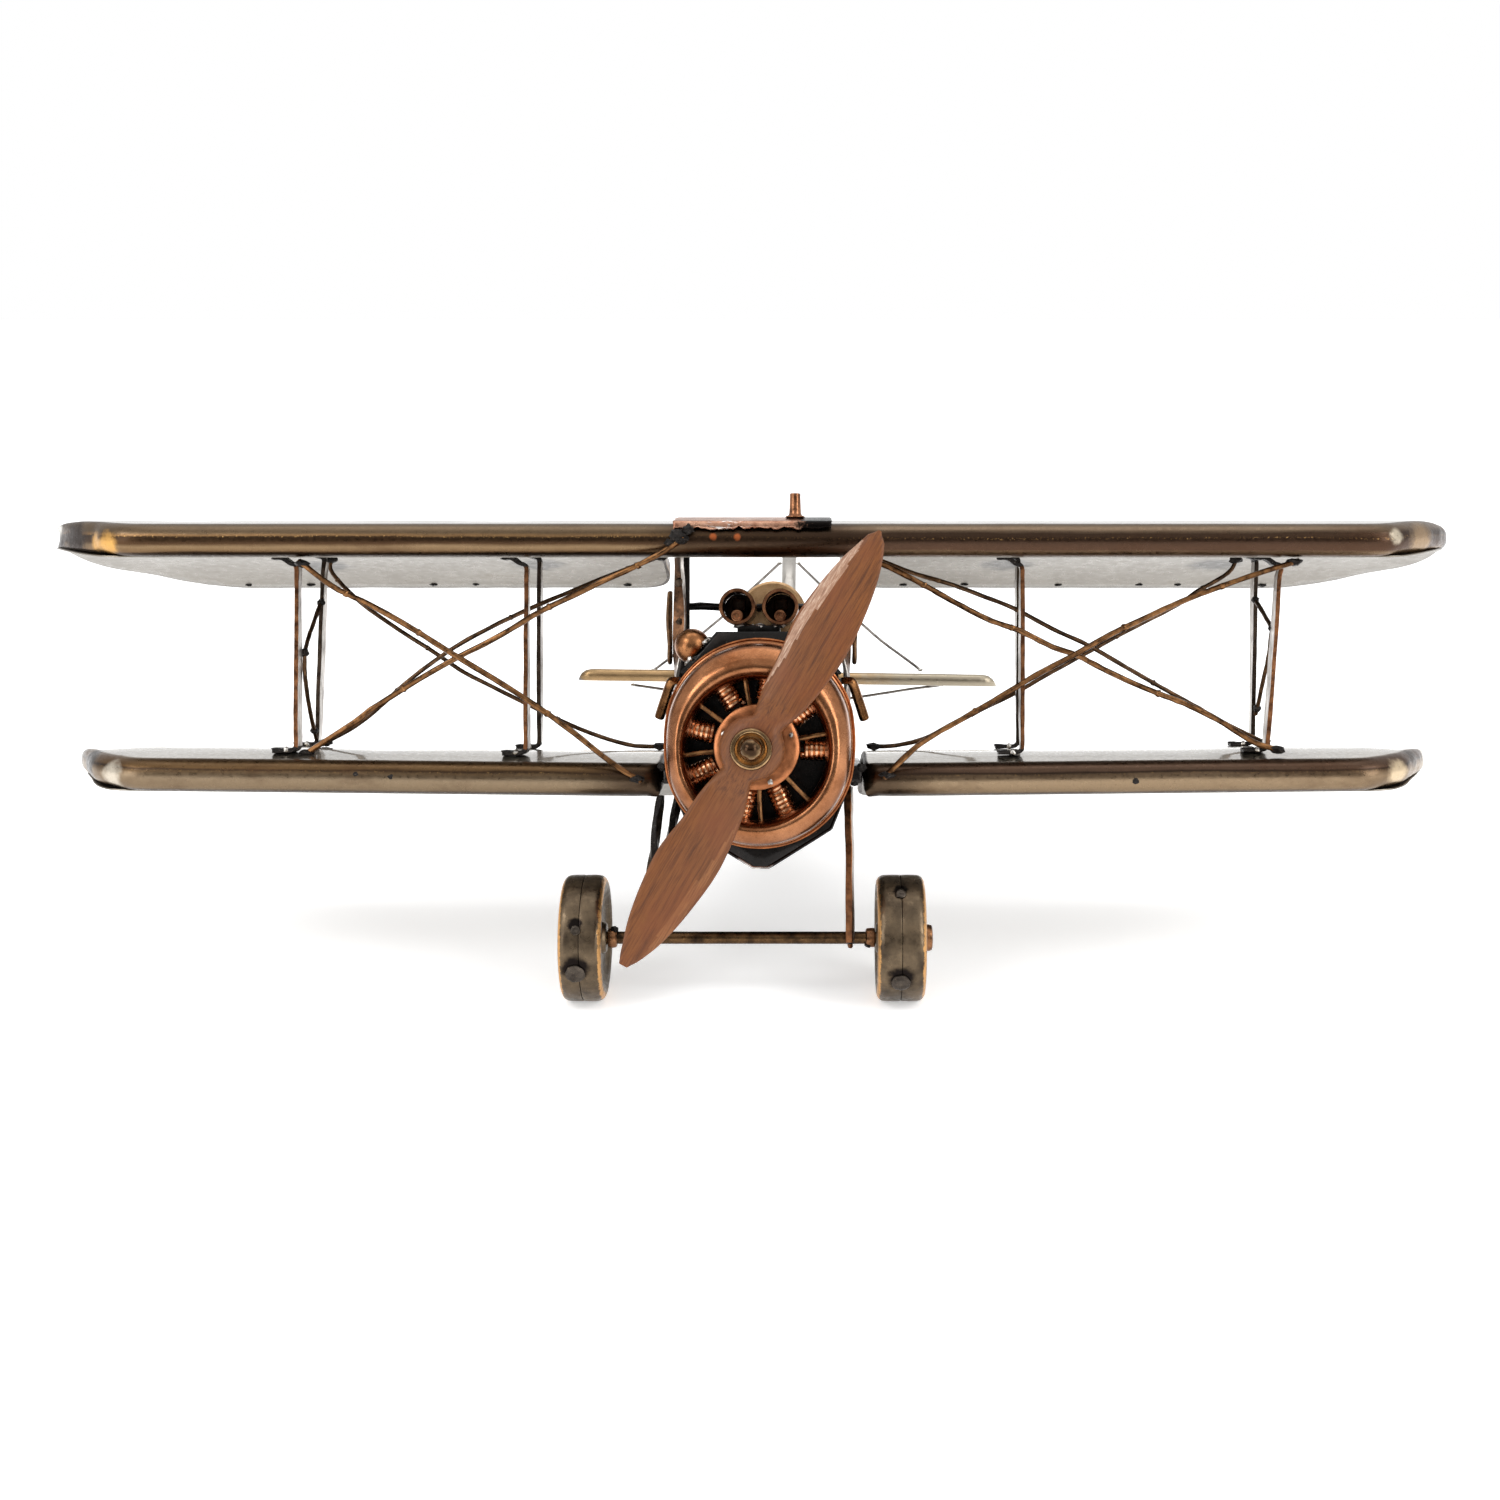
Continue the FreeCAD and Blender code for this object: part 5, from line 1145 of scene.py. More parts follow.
def root_fittings():
    """Black blocks that hold the lower wings, lumpy with solder."""
    low, high = span("wing_root_fittings")
    shape = soft_box((low.x, low.y, low.z), (-20.2, high.y, high.z), 0.6, seed=3, uneven=0.4)
    shape.merge(soft_box((25.3, low.y, low.z), (high.x, high.y, high.z), 0.6, seed=5, uneven=0.4))
    for x, z, size in ((-24.4, high.z - 0.6, 1.1), (-22.0, low.z + 1.2, 0.9), (29.4, high.z - 0.8, 1.1),
                       (27.4, low.z, 0.8)):
        shape.lump((x, low.y + 0.3, z), (size * 1.3, size * 0.8, size), x, 0.45)
    build("root_fitting_blocks", shape, "fitting burnt", "wing_root_fittings")


# ---------------------------------------------------------------- cowl and engine


def cowl_edge(angle, extra=0.0):
    """Point of the oval cowl at an angle."""
    straight = COWL_STRAIGHT * max(-1.0, min(1.0, 4 * math.sin(angle)))
    uneven = 0.12 * wobble(51, 9 * math.cos(angle), 9 * math.sin(angle), scale=0.2)
    reach = COWL_ROUND + extra + min(0, uneven)
    return Vector((COWL_CENTRE.x + reach * math.cos(angle), 0,
                   COWL_CENTRE.z + straight + reach * math.sin(angle)))


def cowl():
    """Thick rolled lip, thin flange behind it and the wall that joins the band."""
    profile = [(0.0, 10), (0.0, 7.5), (0.0, 4.6), (0.03, 2.9), (0.08, 1.5), (0.16, 0.6), (0.26, 0.1),
               (0.36, 0.0),
               (0.47, 0.25), (0.56, 0.8), (0.64, 1.45), (0.74, 2.1), (0.83, 3.0), (0.89, 4.6), (0.92, 6.6),
               (0.93, 8.6),
               (0.94, 9.4), (0.965, 9.7), (1.0, 9.85), (1.0, 10.5), (0.965, 10.75), (0.955, 11.2),
               (0.955, 15.0),
               (0.90, 15.0), (0.90, 11), (0.86, 6.5), (0.78, 3.9), (0.66, 2.4), (0.5, 1.6), (0.34, 1.7),
               (0.2, 2.4), (0.11, 3.8), (0.08, 6), (0.08, 10)]
    columns, rings = 128, []
    for share, back in profile:
        ring = []
        for angle in circle_angles(columns):
            inner = OPENING_CENTRE + OPENING_RADIUS * Vector((math.cos(angle), 0, math.sin(angle)))
            point = inner.lerp(cowl_edge(angle), share)
            dent = 0.12 * wobble(53, point.x, point.z, back, scale=0.12) * (1 if 0.05 < share < 0.95 else 0)
            ring.append(Vector((point.x, COWL_FRONT + back + abs(dent), point.z)))
        rings.append(ring)
    build("cowl_shell", loft(rings, closed_rows=True), "cowl", "cowl_ring", sharp=60)
    low, high = span("cowl_band")
    rings = []
    for extra, y in ((0.05, low.y + 0.2), (0.45, low.y), (0.8, low.y + 0.25), (0.75, low.y + 1.2),
                     (0.6, low.y + 4), (0.78, high.y - 0.4), (0.5, high.y), (0.05, high.y - 0.2)):
        rings.append([cowl_edge(angle, extra) + Vector((0, y, 0)) for angle in circle_angles(columns)])
    build("cowl_band_sheet", loft(rings, closed_rows=True), "cowl_band", "cowl_band",
          sharp=50)


def around(centre_x, angle, reach, y):
    """Point at an angle in degrees round the thrust line."""
    return Vector((centre_x + reach * math.cos(math.radians(angle)), y,
                   reach * math.sin(math.radians(angle))))


def coil(angle, seed):
    """One cylinder: copper wire wound round a dark core."""
    y, wire, length = -17.5, 0.72, 9.3
    start, direction = around(CRANK_X, angle, CRANK_RADIUS, y), around(0, angle, 1, 0)
    side, up = axes_for(direction)
    lean = (side * wobble(seed, 1) + up * wobble(seed, 4)) * 0.10
    winds, per_wind, line = 6.5, 16, []
    count = int(winds * per_wind)
    for step in range(count + 1):
        share = step / count
        along = wire * 0.9 + share * (length - 2 * wire)
        reach = 2.25 + 0.06 * wobble(seed, along * 3)
        out = spoke(side, up, 2 * math.pi * winds * share + seed, reach)
        line.append(start + (direction + lean) * along + out)
    core = [start + (direction + lean) * reach for reach in (-0.5, 3, 6, 8.6)]
    return tube(line, wire, 8, 0).merge(tube(core, 1.5, 10, 1))


def cylinders():
    coils = Shape()
    for index, angle in enumerate(CYLINDER_ANGLES):
        coils.merge(coil(angle, index + 1.3))
    build("engine_coils", coils, "coil gun_dark", "engine_cylinders")


def pushrods():
    rods = Shape()
    for index, angle in enumerate(PUSHROD_ANGLES):
        bend = 0.35 * wobble(61 + index, 2)
        line = [around(CRANK_X, angle + bend * k, reach, -22) for k,
                reach in ((0, 10.6), (5, 14), (2, 17.5), (0, 20.4))]
        rods.merge(tube(curve_through(line), 0.62, 8, 0, 0.15, index))
    build("pushrod_wires", rods, "wire", "pushrods")


def crankcase():
    """Round drum with bright solder on its face."""
    low, high = span("crankcase")
    deep = high.y - low.y
    profile = [(deep, 0), (deep, 10.6), (deep - 0.3, 11), (1.4, 11.0), (0.5, 10.8), (0.12, 10.2), (0.0, 9.4),
               (0.05, 6), (0.02, 3), (0.0, 0.0)]
    drum = lathe(profile, (CRANK_X, low.y, 0), AFT, 64, ripple=0.1, seed=3)
    for angle, reach, size in ((158, 9.0, 0.7), (214, 8.6, 0.8), (292, 9.4, 0.75), (78, 9.2, 0.6),
                               (20, 9.3, 0.6)):
        drum.lump(around(CRANK_X, angle, reach, low.y + 0.05), (size, 0.35, size), angle, 0.4)
    build("crankcase_drum", drum, "drum solder", "crankcase")


def shaft():
    """Fixed steel shaft and the thrust washer behind the propeller."""
    low, high = span("propeller_shaft")
    profile = [(0.0, 0.0), (0.0, 1.3), (0.3, 1.6), (high.y - low.y, 1.6), (high.y - low.y, 0)]
    build("shaft_pin", lathe(profile, (PROPELLER_MIDDLE.x, low.y, 0), AFT, 32), "steel", "propeller_shaft")
    low, high = span("thrust_washer")
    deep = high.y - low.y
    profile = [(0.0, 1.62), (0.0, 3.9), (0.25, 4.2), (deep - 0.25, 4.2), (deep, 3.9), (deep, 1.62)]
    build("thrust_ring", lathe(profile, (PROPELLER_MIDDLE.x, low.y, 0), AFT, 40, closed=True), "steel",
          "thrust_washer")


# ---------------------------------------------------------------- propeller


# Half-widths of a blade at distances from the centre, on the viewer's left and on the viewer's right.
BLADE_LEFT = ((8, 4.0), (15, 5.7), (24, 6.4), (33.5, 7.6), (43.5, 6.7), (52, 5.1), (58, 3.2), (63.2, 1.5))
BLADE_RIGHT = ((8, 4.4), (15, 6.9), (24, 8.3), (33, 8.8), (44.5, 7.5), (53, 5.7), (59, 3.5), (63.2, 1.3))
BOSS_RADIUS, BLADE_REACH, SHAFT_BORE = 8.2, 63.2, 1.65


def half_width(places, reach):
    """Half-width at a distance from the centre, on the smooth line through the places."""
    line = curve_through([(x, half, 0) for x, half in places], 5)
    for a, b in zip(line, line[1:]):
        if reach <= b.x:
            return lerp(a.y, b.y, max(0.0, (reach - a.x) / (b.x - a.x)))
    return line[-1].y


def blade_sides(reach):
    """Half-widths of the blade on the viewer's left and right at a distance from the centre."""
    boss = math.sqrt(max(0.0, BOSS_RADIUS ** 2 - reach ** 2))
    return max(boss, half_width(BLADE_LEFT, reach)), max(boss, half_width(BLADE_RIGHT, reach))


def blade_section(reach, direction, across, centre, sides):
    """Closed section of the blade: flat back, rounded front, twisted more near the boss."""
    near, far = sides
    twist = math.radians(lerp(0, lerp(19, 10, min(1, reach / 60)), smooth((reach - 5) / 8)))
    thick = lerp(4.45, lerp(2.0, 0.75, min(1, reach / 62)), smooth((reach - 6.0) / 8.5))
    deepest = 2.45 + 2.0 * (1 - smooth((reach - 7) / 6))
    ring = []
    for angle in circle_angles(52):
        u, v = math.cos(angle), math.sin(angle)
        side = (near if u > 0 else far) * squarish(u, 0.75)
        crown = thick * squarish(v, 0.9 if v < 0 else 0.6)
        if reach < 14 and v < 0:
            crown *= 1 - 0.10 * smooth((reach - 4) / 4) * (1 - abs(u))
        fore = crown * math.cos(twist) + side * math.sin(twist) * 0.9
        lateral = side * math.cos(twist) - crown * math.sin(twist) * 0.4
        fore = max(-deepest, min(deepest, fore))
        ring.append(centre + direction * reach + across * lateral + Vector((0, fore, 0)))
    return ring


def bored(thing, centre, radius):
    """Cuts a round hole along the thrust line through a piece."""
    cutter = place_in_scene("cutter", clean_mesh("cutter", lathe([(-12, 0), (-12, radius), (12, radius),
                                                                  (12, 0)],
                                                                 centre, AFT, 40)))
    modifier = thing.modifiers.new("bore", "BOOLEAN")
    modifier.operation, modifier.object, modifier.solver = "DIFFERENCE", cutter, "EXACT"
    graph = bpy.context.evaluated_depsgraph_get()
    result = bpy.data.meshes.new_from_object(thing.evaluated_get(graph))
    thing.modifiers.remove(modifier)
    thing.data = result
    bpy.data.objects.remove(cutter)


def blade_rings(direction, across):
    """Sections of the whole propeller from one tip to the other, drawn together at the tips."""
    steps, near_tip = 130, (61.0, 62.3, 62.9, BLADE_REACH)
    reaches = [-reach for reach in reversed(near_tip)] + [lerp(-59, 59, i / steps) for i in range(steps + 1)]
    rings = []
    for reach in reaches + list(near_tip):
        sides = blade_sides(abs(reach))
        if reach < 0:
            ring = blade_section(-reach, -direction, -across, PROPELLER_MIDDLE, sides[::-1])
        else:
            ring = blade_section(reach, direction, across, PROPELLER_MIDDLE, sides)
        end = smooth((BLADE_REACH - abs(reach)) / 2.2)
        middle = sum(ring, Vector()) / len(ring)
        rings.append([middle + (point - middle) * lerp(0.35 if reach > 0 else 0.85, 1.0,
                                                       end) for point in ring])
    return rings


def propeller():
    """Carved blades; one edge of each is a paler facet, scraped on the upper blade."""
    direction = Vector((math.cos(BLADE_TURN), 0, math.sin(BLADE_TURN)))
    across = Vector((-math.sin(BLADE_TURN), 0, math.cos(BLADE_TURN)))
    shape = align_rings(blade_rings(direction, across))
    for index, face in enumerate(shape.faces):
        centre = sum((shape.points[c] for c in face), Vector()) / len(face) - PROPELLER_MIDDLE
        reach, lateral = centre.dot(direction), centre.dot(across)
        share = (abs(reach) - 12) / 48
        if 0 < share < 1 and centre.y < 0.9:
            facet = 3.6 * math.sin(math.pi * share ** 1.3) ** 0.8
            left, right = blade_sides(abs(reach))
            if reach > 0 and lateral > left - facet:
                shape.numbers[index] = 1
            elif reach < 0 and -lateral > right - facet:
                shape.numbers[index] = 2
    thing = build("propeller_blades", shape, "wood scraped wood_pale", "propeller",
                  "propeller", 50)
    bored(thing, PROPELLER_MIDDLE, SHAFT_BORE)


def propeller_nut():
    """Turned brass nut with a grooved skirt and a domed end."""
    profile = [(0.0, 1.62), (0.0, 5.05), (0.2, 5.3), (1.7, 5.3), (2.15, 5.05), (2.3, 4.6), (2.2, 4.15),
               (1.6, 3.75),
               (1.45, 3.3), (1.7, 2.95), (2.6, 2.75), (4.0, 2.7), (4.9, 2.45), (5.6, 1.95), (6.1, 1.2),
               (6.35, 0.5), (6.4, 0.12), (6.4, 0.0), (4.15, 0.0), (4.15, 1.62)]
    shape = lathe(profile, (PROPELLER_MIDDLE.x, span("propeller_nut")[1].y, 0), (0, -1, 0), 56)
    build("spinner_nut", shape, "brass", "propeller_nut", "propeller", 40)


def align_rings(rings):
    """Starts every ring at the point nearest to the start of the ring before it, then skins them."""
    aligned = [rings[0]]
    for ring in rings[1:]:
        before = aligned[-1]
        choices = []
        for flipped in (ring, ring[::-1]):
            for shift in range(len(ring)):
                turned = flipped[shift:] + flipped[:shift]
                miss = sum((a - b).length_squared for a, b in zip(before[::4], turned[::4]))
                choices.append((miss, flipped is not ring, shift))
        _, flip, shift = min(choices)
        ring = ring[::-1] if flip else ring
        aligned.append(ring[shift:] + ring[:shift])
    return loft(aligned)


# ---------------------------------------------------------------- guns, fairing and small fittings


def guns():
    """Two open jackets; in each a barrel, a breech block and a closing plate."""
    low, high = span("gun_jackets")
    middle_z, radius, deep = (low.z + high.z) / 2, (high.z - low.z) / 2, high.y - low.y
    wall, bore, barrel = 0.95, radius - 0.7, 1.7
    axis_z, rear = middle_z - bore + barrel, high.y - 7.5
    jacket = [(0.0, radius - wall + 0.1), (0.0, radius - 0.12), (0.15, radius), (2, radius - 0.05),
              (deep / 2, radius), (deep - 0.1, radius), (deep, radius - 0.2), (deep, radius - 0.65),
              (deep / 2, radius - 0.7), (2, radius - wall), (0.2, radius - wall)]
    muzzle = [(0.6, 0.0), (0.55, 0.7), (0.05, 0.85), (0.0, 1.1), (0.1, 1.5), (0.5, 1.68), (deep - 0.2, 1.68),
              (deep, 1.5), (deep, 0.0)]
    plate = [(0.0, 0.0), (0.0, bore * 0.7), (0.1, bore), (0.9, bore), (0.9, 0.0)]
    jackets, barrels = Shape(), Shape()
    for index, x in enumerate((low.x + radius, high.x - radius)):
        jackets.merge(lathe(jacket, (x, low.y, middle_z), AFT, 48, closed=True, ripple=0.1, seed=index))
        barrels.merge(lathe(muzzle, (x, low.y - 0.4, axis_z), AFT, 28, ripple=0.05, seed=index + 3))
        breech = ((x - 1.8, rear, axis_z + barrel), (x + 1.8, high.y - 0.1, axis_z + barrel + 3.4))
        barrels.merge(soft_box(*breech, 0.3, 1, index, 0.1, 2))
        barrels.merge(lathe(plate, (x, high.y - 0.95, middle_z), AFT, 36, 1, ripple=0.05, seed=index))
    build("gun_jacket_tubes", jackets, "gun", "gun_jackets")
    build("gun_barrel_rods", barrels, "gun gun_dark", "gun_barrels")


def gun_saddle():
    low, high = span("gun_saddle")
    saddle = soft_box(low, high, 0.3, 0, 9, 0.1)
    for share, size in ((0.06, 1.0), (0.3, 0.7), (0.52, 0.9), (0.93, 1.0)):
        place = (lerp(low.x, high.x, share), low.y + 1.2, high.z - 0.2)
        saddle.lump(place, (1.9 * size, 1.5 * size, 0.8 * size), share, 0.4)
    build("gun_saddle_plate", saddle, "fitting solder", "gun_saddle")


def arch_ring(y, scale, low, high):
    """Round-topped arch at a station."""
    middle, half, side = (low.x + high.x) / 2, (high.x - low.x) / 2 * scale, 6.0 * scale
    height = (high.z - low.z) * scale
    ring = [Vector((middle + half, y, low.z)), Vector((middle + half, y, low.z + side * 0.5))]
    for step in range(21):
        angle = math.pi * step / 20
        ring.append(Vector((middle + half * math.cos(angle), y,
                            low.z + side + (height - side) * math.sin(angle))))
    ring += [Vector((middle - half, y, low.z + side * 0.5)), Vector((middle - half, y, low.z))]
    return [point + Vector((0.12 * wobble(71, *point), 0, 0)) for point in ring]


def fairing():
    """Hollow hump behind the guns."""
    low, high = span("gun_fairing")
    stations = [(low.y + 0.5, 0.04), (low.y + 0.2, 0.5), (low.y + 0.1, 0.85), (low.y + 0.3, 0.95),
                (low.y + 1.1, 0.99),
                (low.y + 3, 1.0), (low.y + 12, 0.99), (high.y - 0.8, 1.0), (high.y - 0.1, 0.995),
                (high.y, 0.97), (high.y, 0.92), (high.y - 2, 0.91), (low.y + 3, 0.90), (low.y + 1.2, 0.85),
                (low.y + 1.1, 0.04)]
    shape = loft([arch_ring(y, scale, low, high) for y, scale in stations])
    build("gun_fairing_hump", shape, "fairing", "gun_fairing", sharp=45)


BLISTER_RADIUS, BLISTER_RISE, BLISTER_LENGTH = 4.7, 2.4, 5.8


def blister_half(side):
    """Bullet standing proud of a shoulder of the fuselage."""
    middle, (top, shoulder, *_) = section_at(SECTIONS[0][0])
    slope = Vector((side * (shoulder[0] - top[0]), 0, shoulder[1] - top[1])).normalized()
    out = Vector((side * abs(slope.z), 0, abs(slope.x)))
    base = Vector((middle + 0.2 + side * ((shoulder[0] + top[0]) / 2 + 0.1), 0,
                   (top[1] + shoulder[1]) / 2 + 0.1))
    rings, radius = [], BLISTER_RADIUS
    for y in (-4.69, -4.6, -4.3, -3.8, -3.0, -2.0, -1.0, 0.4, 2.5, 4.2, 5.4, 5.8):
        size = radius * math.sqrt(max(0.0, 1 - (min(0.0, y) / radius) ** 2))
        if y > 4.2:
            size *= 1 - 0.1 * ((y - 4.2) / 1.6) ** 2
        start = math.asin(min(1.0, BLISTER_RISE / max(size, 0.01)))
        ring = []
        for step in range(25):
            angle = lerp(-start, math.pi + start, step / 24)
            ring.append(base + slope * size * math.cos(angle)
                        + out * max(0.0, BLISTER_RISE + size * math.sin(angle)) + Vector((0, y, 0)))
        rings.append(ring)
    return loft(rings), base, slope, out


def blisters():
    """Copper bullets soldered to both shoulders."""
    shape = Shape()
    for side in (-1, 1):
        half, base, slope, out = blister_half(side)
        shape.merge(half)
        for step in range(9):
            y = lerp(-3.4, BLISTER_LENGTH - 0.5, step / 8)
            size = BLISTER_RADIUS * math.sqrt(max(0.0, 1 - (min(0.0, y) / 4.6) ** 2)) * 0.92
            for edge in (-1, 1):
                centre = base + slope * size * edge + Vector((0, y, 0)) + out * 0.2
                shape.lump(centre, (0.8, 0.9, 0.65), step + 3 * edge, 0.45)
    build("blister_domes", shape, "blister solder", "cowl_blisters")


def exhausts():
    """Bent stubs with open, slightly squared ends."""
    shape = Shape()
    for foot, elbow, end in (((-19.4, 1, 16.9), (-21.6, 1, 16.6), (-25.4, 9, 7.2)),
                             ((24.2, 1, 16.9), (26.6, 1, 16.6), (30.2, 9, 6.8))):
        foot, elbow, end = Vector(foot), Vector(elbow), Vector(end)
        line = curve_through([foot, elbow, elbow.lerp(end, 0.5) + Vector((0, 0, 0.35)), end], 4)
        direction = (end - elbow).normalized()
        side, up = axes_for(direction)
        rings = []
        for index, point in enumerate(line + [line[-1] - direction * 0.1, line[-1] - direction * 2.5]):
            size = 1.36 if index < len(line) else 0.95
            rings.append([point + (side * squarish(math.cos(a), 0.85) + up * squarish(math.sin(a),
                                                                                      0.85)) * size
                          * (1 + 0.06 * wobble(81, index, a)) for a in circle_angles(20)])
        shape.merge(loft(rings))
    build("exhaust_pipes", shape, "exhaust", "exhaust_stubs", sharp=50)


# ---------------------------------------------------------------- struts, cabane and wires


def twisted_strip(line, width, thickness, angle=lambda share: 0.0, seed=1, rough=0.07, numbers=(0, 1)):
    """Flat strip along a line; at angle 0 its width lies fore and aft. numbers are the finishes of its broad
    faces and of its edges."""
    line = [Vector(point) for point in line]
    rings = []
    for index, point in enumerate(line):
        before, after = line[max(index - 1, 0)], line[min(index + 1, len(line) - 1)]
        tangent = (after - before).normalized()
        lateral = Vector((tangent.z, 0, -tangent.x)).normalized()
        fore = lateral.cross(tangent).normalized()
        turn = angle(index / (len(line) - 1))
        wide = fore * math.cos(turn) + lateral * math.sin(turn)
        thin = lateral * math.cos(turn) - fore * math.sin(turn)
        half = width / 2 * (1 + rough * wobble(seed, *point, scale=0.25))
        deep = thickness / 2 * (1 + 2 * rough * wobble(seed + 3, *point, scale=0.3))
        cut = min(0.2, deep * 0.6)
        corners = ((-half, -deep + cut), (-half + cut, -deep), (half - cut, -deep), (half, -deep + cut),
                   (half, deep - cut), (half - cut, deep), (-half + cut, deep), (-half, deep - cut))
        rings.append([point + wide * a + thin * b for a, b in corners])
    shape = loft(rings)
    for index in range((len(rings) - 1) * 8):
        shape.numbers[index] = numbers[0] if index % 8 in (1, 5) else numbers[1]
    shape.numbers[-2:] = [numbers[1]] * 2
    return shape


def bent_strut(name):
    """Line of a strut: foot, corner, upright with a slight wave, corner, foot; read from its CAD node."""
    low, high = span(name)
    middle, sheet = (low.y + high.y) / 2, 0.6
    points = level_points(name)
    upper = [point.x for point in points if point.z > high.z - 0.5]
    lower = [point.x for point in points if point.z < low.z + 0.5]
    top_x, bottom_x = max(upper) - sheet, max(lower) - sheet
    line = [(min(lower), middle, low.z + sheet), (min(lower) + 2.5, middle, low.z + sheet),
            (bottom_x - 1.6, middle, low.z + sheet), (bottom_x - 0.45, middle, low.z + sheet + 0.5),
            (bottom_x, middle, low.z + sheet + 1.8)]
    seed = sum(map(ord, name))
    for share in (0.15, 0.3, 0.45, 0.6, 0.75, 0.88):
        wave = 0.55 * wobble(seed, share * 9, scale=0.8)
        line.append((lerp(bottom_x, top_x, share) - abs(wave) * 0.3 + 0.2 * wave, middle,
                     lerp(low.z, high.z, share)))
    drop = 1.7 if "front" in name else 0.8
    line += [(top_x, middle, high.z - sheet - drop - 1.6), (top_x - 0.5, middle, high.z - sheet - drop - 0.4),
             (top_x - 1.7, middle, high.z - sheet - drop), (min(upper) + 2.5, middle, high.z - sheet - 0.2),
             (min(upper), middle, high.z - sheet)]
    return curve_through(line, 5), high.y - low.y, seed


def strut(name):
    """Interplane strut with scorched feet and a soldered corner."""
    line, width, seed = bent_strut(name)
    shape = twisted_strip(line, width * 0.96, 1.18, lambda share: 0.06 * math.sin(seed + 9 * share), seed)
    low, high = span(name)
    for index, face in enumerate(shape.faces):
        centre = sum((shape.points[c] for c in face), Vector()) / len(face)
        if centre.z < low.z + 1.6 or centre.z > high.z - 3.2:
            shape.numbers[index] = 2
    for end, z in ((line[0], low.z), (line[-1], high.z)):
        inward = 0.4 if z == low.z else -0.4
        shape.lump(end + Vector((0.9, -width * 0.2, inward)), (1.5, 1.3, 0.42), seed + z, 0.35, 2)
    corner = line[8]
    shape.lump((corner.x - 0.3, corner.y - width / 2 + 0.5, corner.z + 0.2), (0.9, 0.7, 0.8), seed, 0.4, 3)
    edge = "strut_edge" if "front" in name else "strut_dark"
    build(name + "_strip", shape, "strut_side %s burnt solder" % edge,
          name, sharp=40)


def kinked(points, seed, amount=0.22, steps=7):
    """Hand-bent line through points, with small kinks that die out at its ends."""
    line = curve_through(points, steps)
    bent = []
    for index, point in enumerate(line):
        share = index / (len(line) - 1)
        fade = math.sin(math.pi * share) ** 0.5 * amount
        bent.append(point + Vector((wobble(seed, *point, scale=0.09),
                                    0.6 * wobble(seed + 1, *point, scale=0.09),
                                    wobble(seed + 2, *point, scale=0.09))) * fade)
    return bent


def stations(points, first_y, last_y):
    """Adds stations to (x, z) points, changing evenly across the span."""
    start, end = points[0][0], points[-1][0]
    return [(x, lerp(first_y, last_y, (x - start) / (end - start)), z) for x, z in points]


def nodules(shape, line, places, radius, number, seed):
    """Adds lumps at shares of the way along a wire."""
    for index, share in enumerate(places):
        point = line[int(share * (len(line) - 1))]
        shape.lump(point, (radius * 1.25, radius * 1.15, radius * 1.2), seed + index, 0.35, number)


# Bent course of each wire as (across, up), then its first and last station; front wire before rear wire.
WIRE_RUNS = {
    "left_flying_wires": (
        ((-18.2, 55), (-27.7, 49.1), (-44.1, 41.7), (-57, 35.5), (-69.8, 28), (-82.7, 21.7), (-101.9, 10.3),
         (-108.5, 5.5), (-122.6, -3.4)), (-1.0, 10.0),
        ((-25.8, 51.9), (-30, 50.8), (-47, 44.2), (-65.4, 36.4), (-81.2, 28.5), (-90.4, 22.6), (-99.6, 15.4),
         (-106.1, 9.4), (-112.7, 4.2), (-122.2, -1.1)), (28.6, 28.6)),
    "left_landing_wires": (
        ((-122.6, 49.3), (-113.6, 42.5), (-103.2, 37.4), (-91.9, 31.1), (-81.6, 24.8), (-69.1, 17.3),
         (-56.4, 9.2),
         (-50.1, 4.8), (-37.4, -5.1), (-29.6, -10)), (5.4, -1.0),
        ((-121.5, 52.7), (-121.3, 47.5), (-110.8, 37.3), (-90.8, 24), (-81.4, 18), (-66.7, 10.7),
         (-50.7, 3.1),
         (-37, -1.4), (-26.7, -2)), (37.4, 37.4)),
    "right_flying_wires": (
        ((28.5, 49.5), (35, 48.4), (46.2, 42.8), (55.2, 37.8), (63, 33.8), (72, 30.5), (81, 26), (87.7, 23.7),
         (96.6, 19.2), (107.9, 14.2), (116.8, 10.8), (125.8, 6.4), (135.9, 0.2), (143.2, -2)), (6.0, 7.3),
        ((32.5, 51.9), (45.1, 47), (55.6, 43.9), (65, 40.4), (73.8, 36.9), (83.7, 31.6), (94.2, 26.7),
         (104.8, 20.5), (114.1, 15.2), (123.5, 10), (132.8, 4.7), (144.5, -1)), (28.6, 28.6)),
    "right_landing_wires": (
        ((147.6, 49.3), (135.8, 45.6), (124.3, 41.6), (115.4, 38.2), (102.9, 32.6), (96.2, 29.3), (85, 23.1),
         (73.7, 17), (62.6, 10.3), (55.9, 6.5), (47, 1.5), (40.3, -4), (35.2, -9.1)), (5.4, -1.0),
        ((137.9, 52.7), (135.3, 47.9), (126.4, 42.6), (120.4, 38.4), (108.5, 32.4), (95.5, 25.3),
         (84.8, 19.4),
         (75.3, 14), (65.8, 9.3), (56.3, 4.5), (47.9, 0.2), (40, -1.7), (32.4, -2)), (37.4, 37.4)),
}


